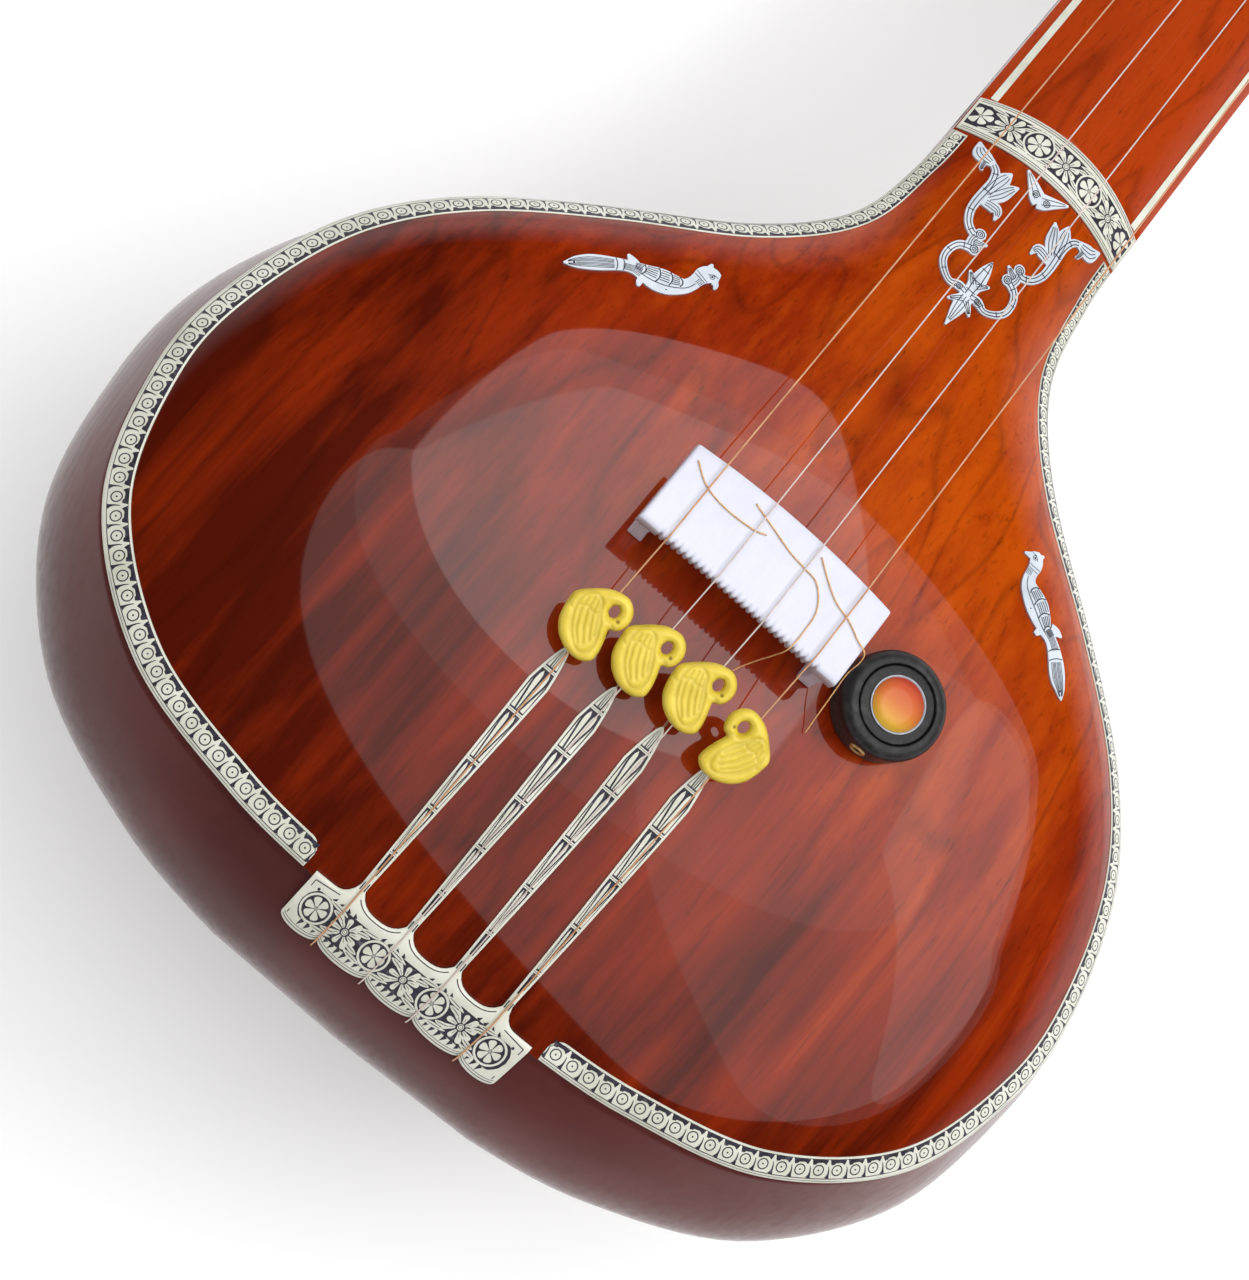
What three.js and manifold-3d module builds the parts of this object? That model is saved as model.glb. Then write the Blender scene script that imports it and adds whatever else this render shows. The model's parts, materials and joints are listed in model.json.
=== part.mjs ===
// A four-string tanpura lying on its back, millimetres, +Z up.
// It is drawn flat first: +Y runs along the neck, +Z comes out of the soundboard, and height zero is
// the line where the ivory edging meets the wood. At the end the whole instrument is tilted to rest.
import * as THREE from 'three';
import { mergeVertices } from 'three/addons/utils/BufferGeometryUtils.js';
import Module from 'manifold-3d';

const wasm = await Module();
wasm.setup();

// Fit
const GAP = 0.3;
const SAME_POINT = 0.001;
const CUT_OVERRUN = 4;

// Soundboard
const BOARD_HALF_WIDTH = 182.5;
const BOARD_LENGTH = 350;
const BOARD_TAIL_Y = -130;
const BOARD_MIDDLE_Y = -14;
const BOARD_DOME = 24;
const BOARD_THROAT_DOME = 11;
const BOARD_EDGE_DROP = 6.2;
const BOARD_EDGE_THICKNESS = 3;
const BOARD_THICKNESS = 3.6;
const BOARD_SEAT_WIDTH = 9;
const DOME_ROUND_SHARE = 0.25;
const DOME_EDGE_POWER = 9;
const DOME_FALL_START_SHARE = 0.25;
const DOME_TAIL_POWER = 1.6;
const TAIL_SKIN_STEEPNESS = 1.25;

// Ivory edging and inlays
const EDGING_WIDTH = 8.8;
const INLAY_THICKNESS = 0.9;
const EDGING_START_SHARE = 0.012;
const EDGING_MARGIN_SHARE = 0.0015;
const EDGING_THROAT_SHARE = 0.62;
const EDGING_NARROWS_SHARES = [0.68, 0.93];
const COLLAR_PAST_JOINT = 3.4;
const COLLAR_WIDTH = 18;
const COLLAR_UPPER_FALL = 4;
const COLLAR_LOWER_FALL = 1.5;
const PLATE_HALF_WIDTH = 43;
const PLATE_ON_BOARD = 9;
const PLATE_WINDOW_DEPTH = 7;
const PLATE_SCALLOP = 2.6;
const INLAY_TIP_Y = -29;
const INLAY_WIDE_SHARE = 0.84;
const INLAY_NARROW_HALF = 1.3;
const INLAY_WIDE_HALF = 2.9;
const NECK_LINE_WIDTH = 2.6;
const NECK_LINE_IN = 3.2;
const ORNAMENT_SCALE = 100;
const RIBBON_LEAST = 0.15;
const ORNAMENT_OFF_CENTRE = 0.6;

// Gourd
const GOURD_DEPTH = 214;
const GOURD_WALL = 7;
const GOURD_SIDE_BULGE = 14;
const GOURD_TAIL_BULGE = 33;
const GOURD_CORNER_BULGE = 7;
const GOURD_SHOULDER_DEPTH = 38;
const GOURD_ROUNDNESS = 2.1;

// Throat and neck
const THROAT_LENGTH = 120;
const THROAT_WALL = 9;
const NECK_LENGTH = 868;
const NECK_END_HALF_WIDTH = 36;
const NECK_DEPTH = 40;
const NECK_END_DEPTH = 36;
const NECK_WALL = 8;
const NECK_ROUNDNESS = 2.5;
const NECK_SHOULDER_DEPTH = 10;
const NECK_DROP = 5;
const CAP_LENGTH = 12;
const CAP_ROUND = 3;

// Tail block and strings
const TAIL_BLOCK_HALF_WIDTH = 44;
const TAIL_BLOCK_LENGTH = 18;
const TAIL_BLOCK_DROP = 3;
const TAIL_BLOCK_HEIGHT = 34;
const ANCHOR_RADIUS = 2.2;
const ANCHOR_STAND = 3.4;
const STRING_SPACING = 19.2;
const NUT_SPACING = 14.6;
const STRING_RADII = { string_1: 0.35, string_2: 0.25, string_3: 0.25, string_4: 0.45 };
const NOTCH_PAST_TAIL = 13;
const HOLE_PAST_NOTCH = 3;
const HOLE_END_IN = 8;
const BORE_RADIUS = 1;
const STRING_END_GAP = 0.9;
const STRING_OVERHANG = 1;
const PLATE_SLOPE_CLEARANCE = 1.6;
const EDGE_CROSSING_SHARE = 0.7;

// Bridge and the threads on it
const BRIDGE_TOP = 42;
const BRIDGE_FRONT_Y = 10;
const BRIDGE_DEPTH = 30;
const BRIDGE_HALF_WIDTH = 39.5;
const BRIDGE_BOW = 2.4;
const BRIDGE_PLATE = 5;
const BRIDGE_ARCH = 3;
const BRIDGE_FOOT_WIDTH = 7;
const BRIDGE_FOOT_DEPTH = 16;
const BRIDGE_CONTACT_IN = 3;
const JAVARI_FALL = 1.2;
const THREAD_RADIUS = 0.22;
const THREAD_STEPS_SHARE = 0.09;

// Nut, string guide and pegs
const NUT_PAST_JOINT = 700;
const NUT_TOP = 11;
const NUT_HALF_LENGTH = 30;
const NUT_THICKNESS = 5;
const GUIDE_PAST_NUT = 24;
const GUIDE_RISE = 4;
const GUIDE_DROP = 2;
const GUIDE_BORE_RADIUS = 1.5;
const PEG_TIP_RADIUS = 4.5;
const PEG_WALL_RADIUS = 5.6;
const PEG_TAPER_EXTRA = 0.5;
const PEG_BARE_LENGTH = 13;
const PEG_HEAD_RADIUS = 13;
const PEG_HEAD_LENGTH = 44;
const SIDE_PEG_DEPTH = 15;
const FACE_PEG_OUT = 10;
const PEG_SPACINGS = { peg_1: 28, peg_2: 82, peg_3: 108, peg_4: 54 };
const WINDING_TURNS = 2;
const WINDING_STEPS = 10;
const WINDING_GAP = 0.6;

// Swan beads
const SWAN_SIZE = 24;
const SWAN_THICKNESS = 6.4;
const SWAN_BEVEL = 1.1;
const SWAN_BORE_EXTRA = 0.35;
const SWAN_PLACES = { swan_bead_1: -21.5, swan_bead_2: -19.5, swan_bead_3: -18, swan_bead_4: -22.5 };

// Pickup
const PICKUP_X = 61;
const PICKUP_Y = 22.4;
const PICKUP_RADIUS = 17.8;
const PICKUP_TOP_RADIUS = 16;
const PICKUP_HEIGHT = 13;
const PICKUP_ROUND = 3;
const CAP_RADIUS = 12.6;
const CAP_RECESS = 1.8;
const LABEL_RADIUS = 8.8;
const RING_RADIUS = 9.4;
const LABEL_THICKNESS = 0.5;
const SOCKET_RADIUS = 2.9;
const SOCKET_BORE = 1.8;
const SOCKET_LENGTH = 5;
const SOCKET_HEIGHT_SHARE = 0.477;
const SOCKET_OUT = 0.5;

const level = {
  seat: -BOARD_EDGE_DROP - BOARD_EDGE_THICKNESS,
};
level.rim = level.seat - GAP;
const THROAT_END_Y = BOARD_TAIL_Y + BOARD_LENGTH;
const GOURD_JOINT_Y = THROAT_END_Y - THROAT_LENGTH;
const NECK_END_Y = THROAT_END_Y + NECK_LENGTH;
const NUT_Y = THROAT_END_Y + NUT_PAST_JOINT;
const GUIDE_Y = NUT_Y + GUIDE_PAST_NUT;
const NOTCH_Y = BOARD_TAIL_Y - NOTCH_PAST_TAIL;
const PLATE_TOP_Y = BOARD_TAIL_Y + PLATE_ON_BOARD;

// The soundboard's outline, tail to throat, as shares of its half width and length.
const outlineShares = [
  [0.225, 0], [0.43, 0.01], [0.695, 0.046], [0.908, 0.134], [0.998, 0.257], [0.999, 0.36],
  [0.935, 0.477], [0.803, 0.573], [0.6, 0.663], [0.393, 0.744], [0.256, 0.83], [0.217, 0.925],
  [0.211, 1],
];
const outline = new THREE.SplineCurve(outlineShares.map(([across, along]) => new THREE.Vector2(
  across * BOARD_HALF_WIDTH,
  BOARD_TAIL_Y + along * BOARD_LENGTH,
)));
const OUTLINE_SAMPLES = 480;
const outlineTable = outline.getPoints(OUTLINE_SAMPLES);

function clamp01(value) {
  return Math.min(1, Math.max(0, value));
}

function smooth(value) {
  const share = clamp01(value);
  return share * share * (3 - 2 * share);
}

function mix(from, to, share) {
  return from + (to - from) * share;
}

// Half width of the outline at a place along the axis.
function halfWidth(y) {
  if (y >= THROAT_END_Y) {
    return neckHalfWidth(y);
  }
  for (let i = 1; i < outlineTable.length; i += 1) {
    const low = outlineTable[i - 1];
    const high = outlineTable[i];
    if (high.y >= y) {
      return mix(low.x, high.x, clamp01((y - low.y) / (high.y - low.y)));
    }
  }
  return outlineTable[OUTLINE_SAMPLES].x;
}

function neckShare(y) {
  return clamp01((y - THROAT_END_Y) / (NECK_END_Y - THROAT_END_Y));
}

function neckHalfWidth(y) {
  return mix(outlineTable[OUTLINE_SAMPLES].x, NECK_END_HALF_WIDTH, neckShare(y));
}

// Height of the soundboard: a dome that is round along the axis and steep at the sides.
function boardTop(x, y) {
  const across = Math.min(1, Math.abs(x) / halfWidth(y));
  const toTail = clamp01((BOARD_MIDDLE_Y - y) / (BOARD_MIDDLE_Y - BOARD_TAIL_Y));
  const fallStart = mix(BOARD_MIDDLE_Y, THROAT_END_Y, DOME_FALL_START_SHARE);
  const toThroat = smooth((y - fallStart) / (THROAT_END_Y - fallStart));
  const dome = mix(BOARD_DOME, BOARD_THROAT_DOME, toThroat);
  const round = mix(DOME_ROUND_SHARE, 1, toThroat);
  const fall = round * across ** 2 + (1 - round) * across ** DOME_EDGE_POWER;
  return -BOARD_EDGE_DROP + dome * (1 - fall) * (1 - toTail ** DOME_TAIL_POWER);
}

// The neck's face carries on from the soundboard's throat and drops a little towards the pegs.
function neckTop(x, y) {
  const across = Math.min(1, Math.abs(x) / neckHalfWidth(y));
  return -BOARD_EDGE_DROP + BOARD_THROAT_DOME * (1 - across ** 2) - NECK_DROP * neckShare(y);
}

function skinTop(x, y) {
  return y < THROAT_END_Y ? boardTop(x, y) : neckTop(x, y);
}

// The same skin past the tail edge, where it turns down onto the gourd's shoulder.
function tailSkin(x, y) {
  const past = BOARD_TAIL_Y - y;
  if (past <= 0) {
    return boardTop(x, y);
  }
  const drop = GOURD_SHOULDER_DEPTH * Math.asin(Math.min(1, past / GOURD_TAIL_BULGE)) / (Math.PI / 2);
  return -BOARD_EDGE_DROP - TAIL_SKIN_STEEPNESS * drop;
}

// Mesh helpers
function meshFrom(positions, triangles) {
  const geometry = new THREE.BufferGeometry();
  const numbers = positions.flatMap((p) => [p.x, p.y, p.z]);
  geometry.setAttribute('position', new THREE.Float32BufferAttribute(numbers, 3));
  geometry.setIndex(triangles.flat());
  const merged = mergeVertices(geometry, SAME_POINT);
  const index = merged.index.array;
  const kept = [];
  for (let i = 0; i < index.length; i += 3) {
    const [a, b, c] = [index[i], index[i + 1], index[i + 2]];
    if (a !== b && b !== c && c !== a) {
      kept.push(a, b, c);
    }
  }
  merged.setIndex(kept);
  return merged;
}

// Triangles that close a ring made of a row of points and, the other way round, the row facing it.
function pairedCap(count) {
  const triangles = [];
  for (let i = 0; i + 1 < count / 2; i += 1) {
    triangles.push([i, i + 1, count - 2 - i], [i, count - 2 - i, count - 1 - i]);
  }
  return triangles;
}

// The same for any ring, from its points laid flat.
function flatCap(flat) {
  const triangles = THREE.ShapeUtils.triangulateShape(flat, []);
  return THREE.ShapeUtils.isClockWise(flat) ? triangles.map(([a, b, c]) => [c, b, a]) : triangles;
}

// A solid from equal closed rings, capped at both ends. Without capFlat the rings are paired rows.
function loft(rings, capFlat) {
  const positions = rings.flat();
  const count = rings[0].length;
  const triangles = [];
  for (let r = 0; r + 1 < rings.length; r += 1) {
    for (let i = 0; i < count; i += 1) {
      const a = r * count + i;
      const b = r * count + (i + 1) % count;
      triangles.push([a, b, b + count], [a, b + count, a + count]);
    }
  }
  const last = (rings.length - 1) * count;
  for (const [offset, flip] of [[0, true], [last, false]]) {
    const ring = rings[offset / count];
    const cap = capFlat ? flatCap(capFlat(ring)) : pairedCap(count);
    for (const [a, b, c] of cap) {
      triangles.push(flip ? [offset + c, offset + b, offset + a] : [offset + a, offset + b, offset + c]);
    }
  }
  return facingOut(meshFrom(positions, triangles));
}

// Turns a closed mesh so that its volume is positive.
function facingOut(geometry) {
  const index = geometry.index.array;
  const at = geometry.attributes.position;
  const [a, b, c] = [new THREE.Vector3(), new THREE.Vector3(), new THREE.Vector3()];
  let volume = 0;
  for (let i = 0; i < index.length; i += 3) {
    a.fromBufferAttribute(at, index[i]);
    b.fromBufferAttribute(at, index[i + 1]);
    c.fromBufferAttribute(at, index[i + 2]);
    volume += a.dot(b.cross(c));
  }
  if (volume < 0) {
    const turned = Array.from(index);
    for (let i = 0; i < turned.length; i += 3) {
      [turned[i], turned[i + 1]] = [turned[i + 1], turned[i]];
    }
    geometry.setIndex(turned);
  }
  return geometry;
}

const flatXZ = (ring) => ring.map((p) => new THREE.Vector2(p.x, p.z));

function solid(geometry) {
  const plain = geometry.clone();
  plain.deleteAttribute('normal');
  plain.deleteAttribute('uv');
  const merged = mergeVertices(plain, SAME_POINT);
  return new wasm.Manifold(new wasm.Mesh({
    numProp: 3,
    vertProperties: new Float32Array(merged.attributes.position.array),
    triVerts: new Uint32Array(merged.index.array),
  }));
}

function geometryOf(manifold) {
  const mesh = manifold.getMesh();
  const geometry = new THREE.BufferGeometry();
  geometry.setAttribute('position', new THREE.BufferAttribute(new Float32Array(mesh.vertProperties), 3));
  geometry.setIndex(Array.from(mesh.triVerts));
  return geometry;
}

function cut(base, ...tools) {
  return tools.reduce((left, tool) => left.subtract(tool), base);
}

// A round bar between two points.
function bar(from, to, radiusFrom, radiusTo, sides = 12) {
  const direction = new THREE.Vector3().subVectors(to, from);
  const geometry = new THREE.CylinderGeometry(radiusTo, radiusFrom, direction.length(), sides);
  const turn = new THREE.Quaternion().setFromUnitVectors(
    new THREE.Vector3(0, 1, 0),
    direction.clone().normalize(),
  );
  geometry.applyQuaternion(turn);
  const middle = new THREE.Vector3().addVectors(from, to).multiplyScalar(1 / 2);
  geometry.translate(middle.x, middle.y, middle.z);
  return geometry;
}

// A wire of one radius through the given points, with mitred bends.
function wire(points, radius, sides = 6) {
  const rings = points.map((point, i) => {
    const before = points[Math.max(0, i - 1)];
    const after = points[Math.min(points.length - 1, i + 1)];
    const along = new THREE.Vector3().subVectors(after, before).normalize();
    const side = new THREE.Vector3(1, 0, 0).addScaledVector(along, -along.x);
    if (side.lengthSq() < 1e-2) {
      side.set(0, 0, 1).addScaledVector(along, -along.z);
    }
    side.normalize();
    const up = new THREE.Vector3().crossVectors(along, side);
    return Array.from({ length: sides }, (_, k) => {
      const angle = (2 * Math.PI * k) / sides;
      return point.clone()
        .addScaledVector(side, radius * Math.cos(angle))
        .addScaledVector(up, radius * Math.sin(angle));
    });
  });
  const flatRing = (ring) => ring.map((_, k) => new THREE.Vector2(
    Math.cos((2 * Math.PI * k) / sides),
    Math.sin((2 * Math.PI * k) / sides),
  ));
  return loft(rings, flatRing);
}

const instrument = new THREE.Group();

function piece(name, geometry, color, roughness, metalness, place) {
  const material = new THREE.MeshStandardMaterial({ color, roughness, metalness });
  const mesh = new THREE.Mesh(geometry, material);
  mesh.name = name;
  if (place) {
    mesh.position.copy(place.position);
    mesh.quaternion.copy(place.quaternion);
  }
  instrument.add(mesh);
  return mesh;
}

const lacquerOrange = (name, geometry) => piece(name, geometry, 0xa8430f, 0.18, 0);
const lacquerDark = (name, geometry) => piece(name, geometry, 0x4a1d18, 0.22, 0);
const ivory = (name, geometry) => piece(name, geometry, 0xe6e4d4, 0.35, 0);
const brass = (name, geometry) => piece(name, geometry, 0xc9a14a, 0.3, 1);

// Body shell sections
const depthShares = [
  [0, 1], [0.2, 0.985], [0.4, 0.88], [0.55, 0.7], [0.7, 0.48], [0.83, 0.3], [0.93, 0.21], [1, 0.187],
];
const depthCurve = new THREE.SplineCurve(depthShares.map(([along, deep]) => new THREE.Vector2(along, deep)));
const depthTable = depthCurve.getPoints(OUTLINE_SAMPLES);

// How the shell hangs below the rim at a place along the axis.
function shellSection(y, inset) {
  const share = clamp01((y - BOARD_MIDDLE_Y) / (THROAT_END_Y - BOARD_MIDDLE_Y));
  const row = depthTable.find((p) => p.x >= share) ?? depthTable[OUTLINE_SAMPLES];
  const neckly = smooth(share);
  const endScale = NECK_DEPTH / (depthShares[depthShares.length - 1][1] * GOURD_DEPTH);
  return {
    radius: halfWidth(y) - inset,
    bulge: mix(GOURD_SIDE_BULGE, 0, smooth(share * 2)),
    shoulder: mix(GOURD_SHOULDER_DEPTH, NECK_SHOULDER_DEPTH, neckly),
    depth: row.y * GOURD_DEPTH * mix(1, endScale, neckly) - inset,
    roundness: mix(GOURD_ROUNDNESS, NECK_ROUNDNESS, neckly),
  };
}

const SHOULDER_TURN_SHARE = 0.3;
const FLAT_TURN_SHARE = 0.857;

// One side of a section, from the rim out over the shoulder and round to the middle of the back,
// which is a little flattened where the instrument lies on it.
function profilePoint(section, share) {
  const { radius, bulge, shoulder, depth, roundness } = section;
  if (share < SHOULDER_TURN_SHARE) {
    const part = share / SHOULDER_TURN_SHARE;
    return { out: radius + bulge * Math.sin((Math.PI / 2) * part), down: shoulder * part };
  }
  const turned = (share - SHOULDER_TURN_SHARE) / (1 - SHOULDER_TURN_SHARE);
  const turn = turned * (Math.PI / 2);
  const sunk = Math.min(1, Math.sin(turn) / Math.sin((FLAT_TURN_SHARE * Math.PI) / 2));
  return {
    out: share >= 1 ? 0 : (radius + bulge) * Math.cos(turn) ** (2 / roundness),
    down: shoulder + (depth - shoulder) * sunk ** (2 / roundness),
  };
}

// The gourd as a filled form: straight sections in front of the middle, a fan of them round the tail.
function gourdForm(inset, frontY, topRise) {
  const frontSteps = 8;
  const profileSteps = 10;
  const tail = outlineTable.filter((p) => p.y < BOARD_MIDDLE_Y);
  const fanEvery = Math.floor(tail.length / 12);
  const stations = [];
  for (let i = 0; i <= frontSteps; i += 1) {
    const y = mix(frontY, BOARD_MIDDLE_Y, i / frontSteps);
    stations.push({ section: shellSection(y, inset), along: new THREE.Vector2(1, 0), foot: y });
  }
  const fan = [];
  for (let i = tail.length - 1 - fanEvery; i >= 0; i -= fanEvery) {
    fan.push(tail[i]);
  }
  fan.push(tail[0], new THREE.Vector2(0, tail[0].y));
  for (const point of fan) {
    const offset = new THREE.Vector2(point.x, point.y - BOARD_MIDDLE_Y);
    const tailly = (offset.y / offset.length()) ** 2;
    const corner = GOURD_CORNER_BULGE * 4 * tailly * (1 - tailly);
    const bulge = mix(GOURD_SIDE_BULGE, GOURD_TAIL_BULGE, tailly) + corner;
    stations.push({
      section: {
        radius: offset.length() - inset,
        bulge,
        shoulder: GOURD_SHOULDER_DEPTH,
        depth: GOURD_DEPTH - inset,
        roundness: GOURD_ROUNDNESS,
      },
      along: offset.normalize(),
      foot: BOARD_MIDDLE_Y,
    });
  }
  const both = [...stations];
  for (let i = stations.length - 2; i >= 0; i -= 1) {
    const { section, along, foot } = stations[i];
    both.push({ section, along: new THREE.Vector2(-along.x, along.y), foot });
  }
  const positions = [];
  const levels = topRise > 0 ? [-1] : [];
  for (let k = 0; k <= profileSteps; k += 1) {
    levels.push(k / profileSteps);
  }
  for (const { section, along, foot } of both) {
    for (const share of levels) {
      const { out, down } = profilePoint(section, Math.max(0, share));
      const rise = share < 0 ? topRise : 0;
      positions.push(new THREE.Vector3(out * along.x, foot + out * along.y, level.rim - down + rise));
    }
  }
  const rows = levels.length;
  const triangles = [];
  for (let s = 0; s + 1 < both.length; s += 1) {
    for (let k = 0; k + 1 < rows; k += 1) {
      const a = s * rows + k;
      triangles.push([a, a + 1, a + rows + 1], [a, a + rows + 1, a + rows]);
    }
  }
  const rimIndices = both.map((_, s) => s * rows);
  const rim = rimIndices.map((i) => new THREE.Vector2(positions[i].x, positions[i].y));
  for (const [a, b, c] of THREE.ShapeUtils.triangulateShape(rim, [])) {
    triangles.push([rimIndices[a], rimIndices[c], rimIndices[b]]);
  }
  const right = Array.from({ length: rows }, (_, k) => k);
  const left = Array.from({ length: rows - 1 }, (_, k) => (both.length - 1) * rows + rows - 2 - k);
  const frontIndices = [...right, ...left];
  const front = frontIndices.map((i) => new THREE.Vector2(positions[i].x, positions[i].z));
  for (const [a, b, c] of THREE.ShapeUtils.triangulateShape(front, [])) {
    triangles.push([frontIndices[a], frontIndices[b], frontIndices[c]]);
  }
  return facingOut(meshFrom(positions, triangles));
}

const outerGourd = solid(gourdForm(0, GOURD_JOINT_Y, 0));
const innerGourd = solid(gourdForm(GOURD_WALL, GOURD_JOINT_Y + CUT_OVERRUN, CUT_OVERRUN));

// String lines: where each string leaves the tail, crosses the bridge and reaches the nut.
const courses = ['string_1', 'string_2', 'string_3', 'string_4'].map((name, i) => {
  const step = i - 3 / 2;
  const radius = STRING_RADII[name];
  const bridgeX = step * STRING_SPACING;
  const notchX = step * STRING_SPACING;
  const nutX = step * NUT_SPACING;
  return { name, step, radius, bridgeX, notchX, nutX };
});

// Tail block and string holes
const TAIL_BLOCK_FRONT_Y = BOARD_TAIL_Y + TAIL_BLOCK_LENGTH;
const TAIL_BLOCK_TOP = level.rim - TAIL_BLOCK_DROP;
const HOLE_MOUTH_Y = NOTCH_Y - HOLE_PAST_NOTCH;

function holeMouth(course) {
  return new THREE.Vector3(course.notchX, HOLE_MOUTH_Y, tailSkin(course.notchX, HOLE_MOUTH_Y));
}

function holeEnd(course) {
  const blockFoot = TAIL_BLOCK_TOP - TAIL_BLOCK_HEIGHT;
  return new THREE.Vector3(course.notchX, TAIL_BLOCK_FRONT_Y - HOLE_END_IN, blockFoot);
}

function stretched(from, to, before, after) {
  const direction = new THREE.Vector3().subVectors(to, from).normalize();
  return [from.clone().addScaledVector(direction, -before), to.clone().addScaledVector(direction, after)];
}

const stringHoles = courses.map((course) => {
  const [from, to] = stretched(holeMouth(course), holeEnd(course), CUT_OVERRUN, CUT_OVERRUN);
  return solid(bar(from, to, BORE_RADIUS, BORE_RADIUS, 8));
});

function box(width, depth, height, x, y, z) {
  const geometry = new THREE.BoxGeometry(width, depth, height);
  geometry.translate(x, y, z);
  return geometry;
}

lacquerDark('gourd_bowl', geometryOf(cut(outerGourd, innerGourd, ...stringHoles)));

const blockDepth = TAIL_BLOCK_FRONT_Y - BOARD_TAIL_Y + GOURD_TAIL_BULGE;
const blockRoom = solid(gourdForm(GOURD_WALL + GAP, GOURD_JOINT_Y, 0));
const blockBox = solid(box(
  2 * TAIL_BLOCK_HALF_WIDTH,
  blockDepth,
  TAIL_BLOCK_HEIGHT,
  0,
  TAIL_BLOCK_FRONT_Y - blockDepth / 2,
  TAIL_BLOCK_TOP - TAIL_BLOCK_HEIGHT / 2,
));
piece('tail_block', geometryOf(cut(blockRoom.intersect(blockBox), ...stringHoles)), 0x8a5a30, 0.6, 0);

courses.forEach((course, i) => {
  const [, end] = stretched(holeMouth(course), holeEnd(course), 0, ANCHOR_STAND);
  const ball = new THREE.SphereGeometry(ANCHOR_RADIUS, 8, 6);
  ball.translate(end.x, end.y, end.z);
  brass(`string_anchor_${i + 1}`, ball);
});

// Soundboard: straight sections from the tail to the throat
const BOARD_STATIONS = 27;
const BOARD_COLUMNS = 12;

function boardSection(y, width) {
  const top = [];
  const bottom = [];
  for (let c = 0; c <= BOARD_COLUMNS; c += 1) {
    const across = Math.sin(((c / BOARD_COLUMNS) * 2 - 1) * (Math.PI / 2));
    const x = across * width;
    const z = boardTop(x, y);
    const inward = Math.min(width - Math.abs(x), y - BOARD_TAIL_Y);
    const lift = smooth((inward - BOARD_SEAT_WIDTH) / BOARD_SEAT_WIDTH);
    top.push(new THREE.Vector3(x, y, z));
    bottom.push(new THREE.Vector3(x, y, mix(level.seat, z - BOARD_THICKNESS, lift)));
  }
  return [...top, ...bottom.reverse()];
}

const boardRings = [];
for (let i = 0; i <= BOARD_STATIONS; i += 1) {
  const point = outlineTable[Math.round((i / BOARD_STATIONS) * OUTLINE_SAMPLES)];
  boardRings.push(boardSection(point.y, point.x));
}

// How wide the edging is at a place along the axis, as a share of its full width.
function edgingNarrows(y) {
  const [from, to] = EDGING_NARROWS_SHARES.map((share) => mix(BOARD_TAIL_Y, THROAT_END_Y, share));
  return mix(1, EDGING_THROAT_SHARE, smooth((y - from) / (to - from)));
}

// A band that follows the edge of the soundboard, with columns at shares of the edging's width in
// from it, each moved by a fixed margin.
function edgeBand(side, columns, lift, thickness, startShare, endShare, steps) {
  const rings = [];
  for (let i = 0; i <= steps; i += 1) {
    const share = mix(startShare, endShare, i / steps);
    const at = outline.getPointAt(share);
    const tangent = outline.getTangentAt(share);
    const inward = new THREE.Vector2(-tangent.y, tangent.x);
    const point = ([widthShare, margin], height) => {
      const distance = widthShare * EDGING_WIDTH * edgingNarrows(at.y) + margin;
      const x = at.x + inward.x * distance;
      const y = at.y + inward.y * distance;
      return new THREE.Vector3(side * x, y, boardTop(x, y) + height);
    };
    const top = columns.map((column) => point(column, lift));
    const bottom = columns.map((column) => point(column, lift - thickness));
    rings.push([...top, ...bottom.reverse()]);
  }
  return loft(rings);
}

// The collar's two bowed edges over the joint of soundboard and neck.
function collarHigh(x) {
  const across = x / outlineTable[OUTLINE_SAMPLES].x;
  return THROAT_END_Y + COLLAR_PAST_JOINT + COLLAR_WIDTH / 2 - COLLAR_UPPER_FALL * across ** 2;
}

function collarLow(x) {
  const across = x / outlineTable[OUTLINE_SAMPLES].x;
  return THROAT_END_Y + COLLAR_PAST_JOINT - COLLAR_WIDTH / 2 - COLLAR_LOWER_FALL * across ** 2;
}

const EDGING_STEPS = 32;
const edgings = { border_left: -1, border_right: 1 };
const rebates = [];
const edgingStopY = collarLow(outlineTable[OUTLINE_SAMPLES].x) - GAP;
const outlineLengths = outline.getLengths(OUTLINE_SAMPLES);
const outlineLength = outlineLengths[OUTLINE_SAMPLES];
const edgingStopRow = outlineTable.findIndex((p) => p.y >= edgingStopY);
const edgingEndShare = outlineLengths[edgingStopRow] / outlineLength - EDGING_MARGIN_SHARE;

const edgingColumns = [[0, GAP], [1 / 2, 0], [1, 0]];
const rebateColumns = [[0, -CUT_OVERRUN], ...edgingColumns, [1, GAP]];
for (const [name, side] of Object.entries(edgings)) {
  const start = EDGING_START_SHARE;
  const end = edgingEndShare;
  const margin = EDGING_MARGIN_SHARE;
  const depth = INLAY_THICKNESS + GAP + CUT_OVERRUN;
  const room = edgeBand(side, rebateColumns, CUT_OVERRUN, depth, start - margin, end + margin, EDGING_STEPS);
  ivory(name, edgeBand(side, edgingColumns, 0, INLAY_THICKNESS, start, end, EDGING_STEPS));
  rebates.push(solid(room));
}
lacquerOrange('tabli', geometryOf(cut(solid(loft(boardRings)), ...rebates)));

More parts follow.
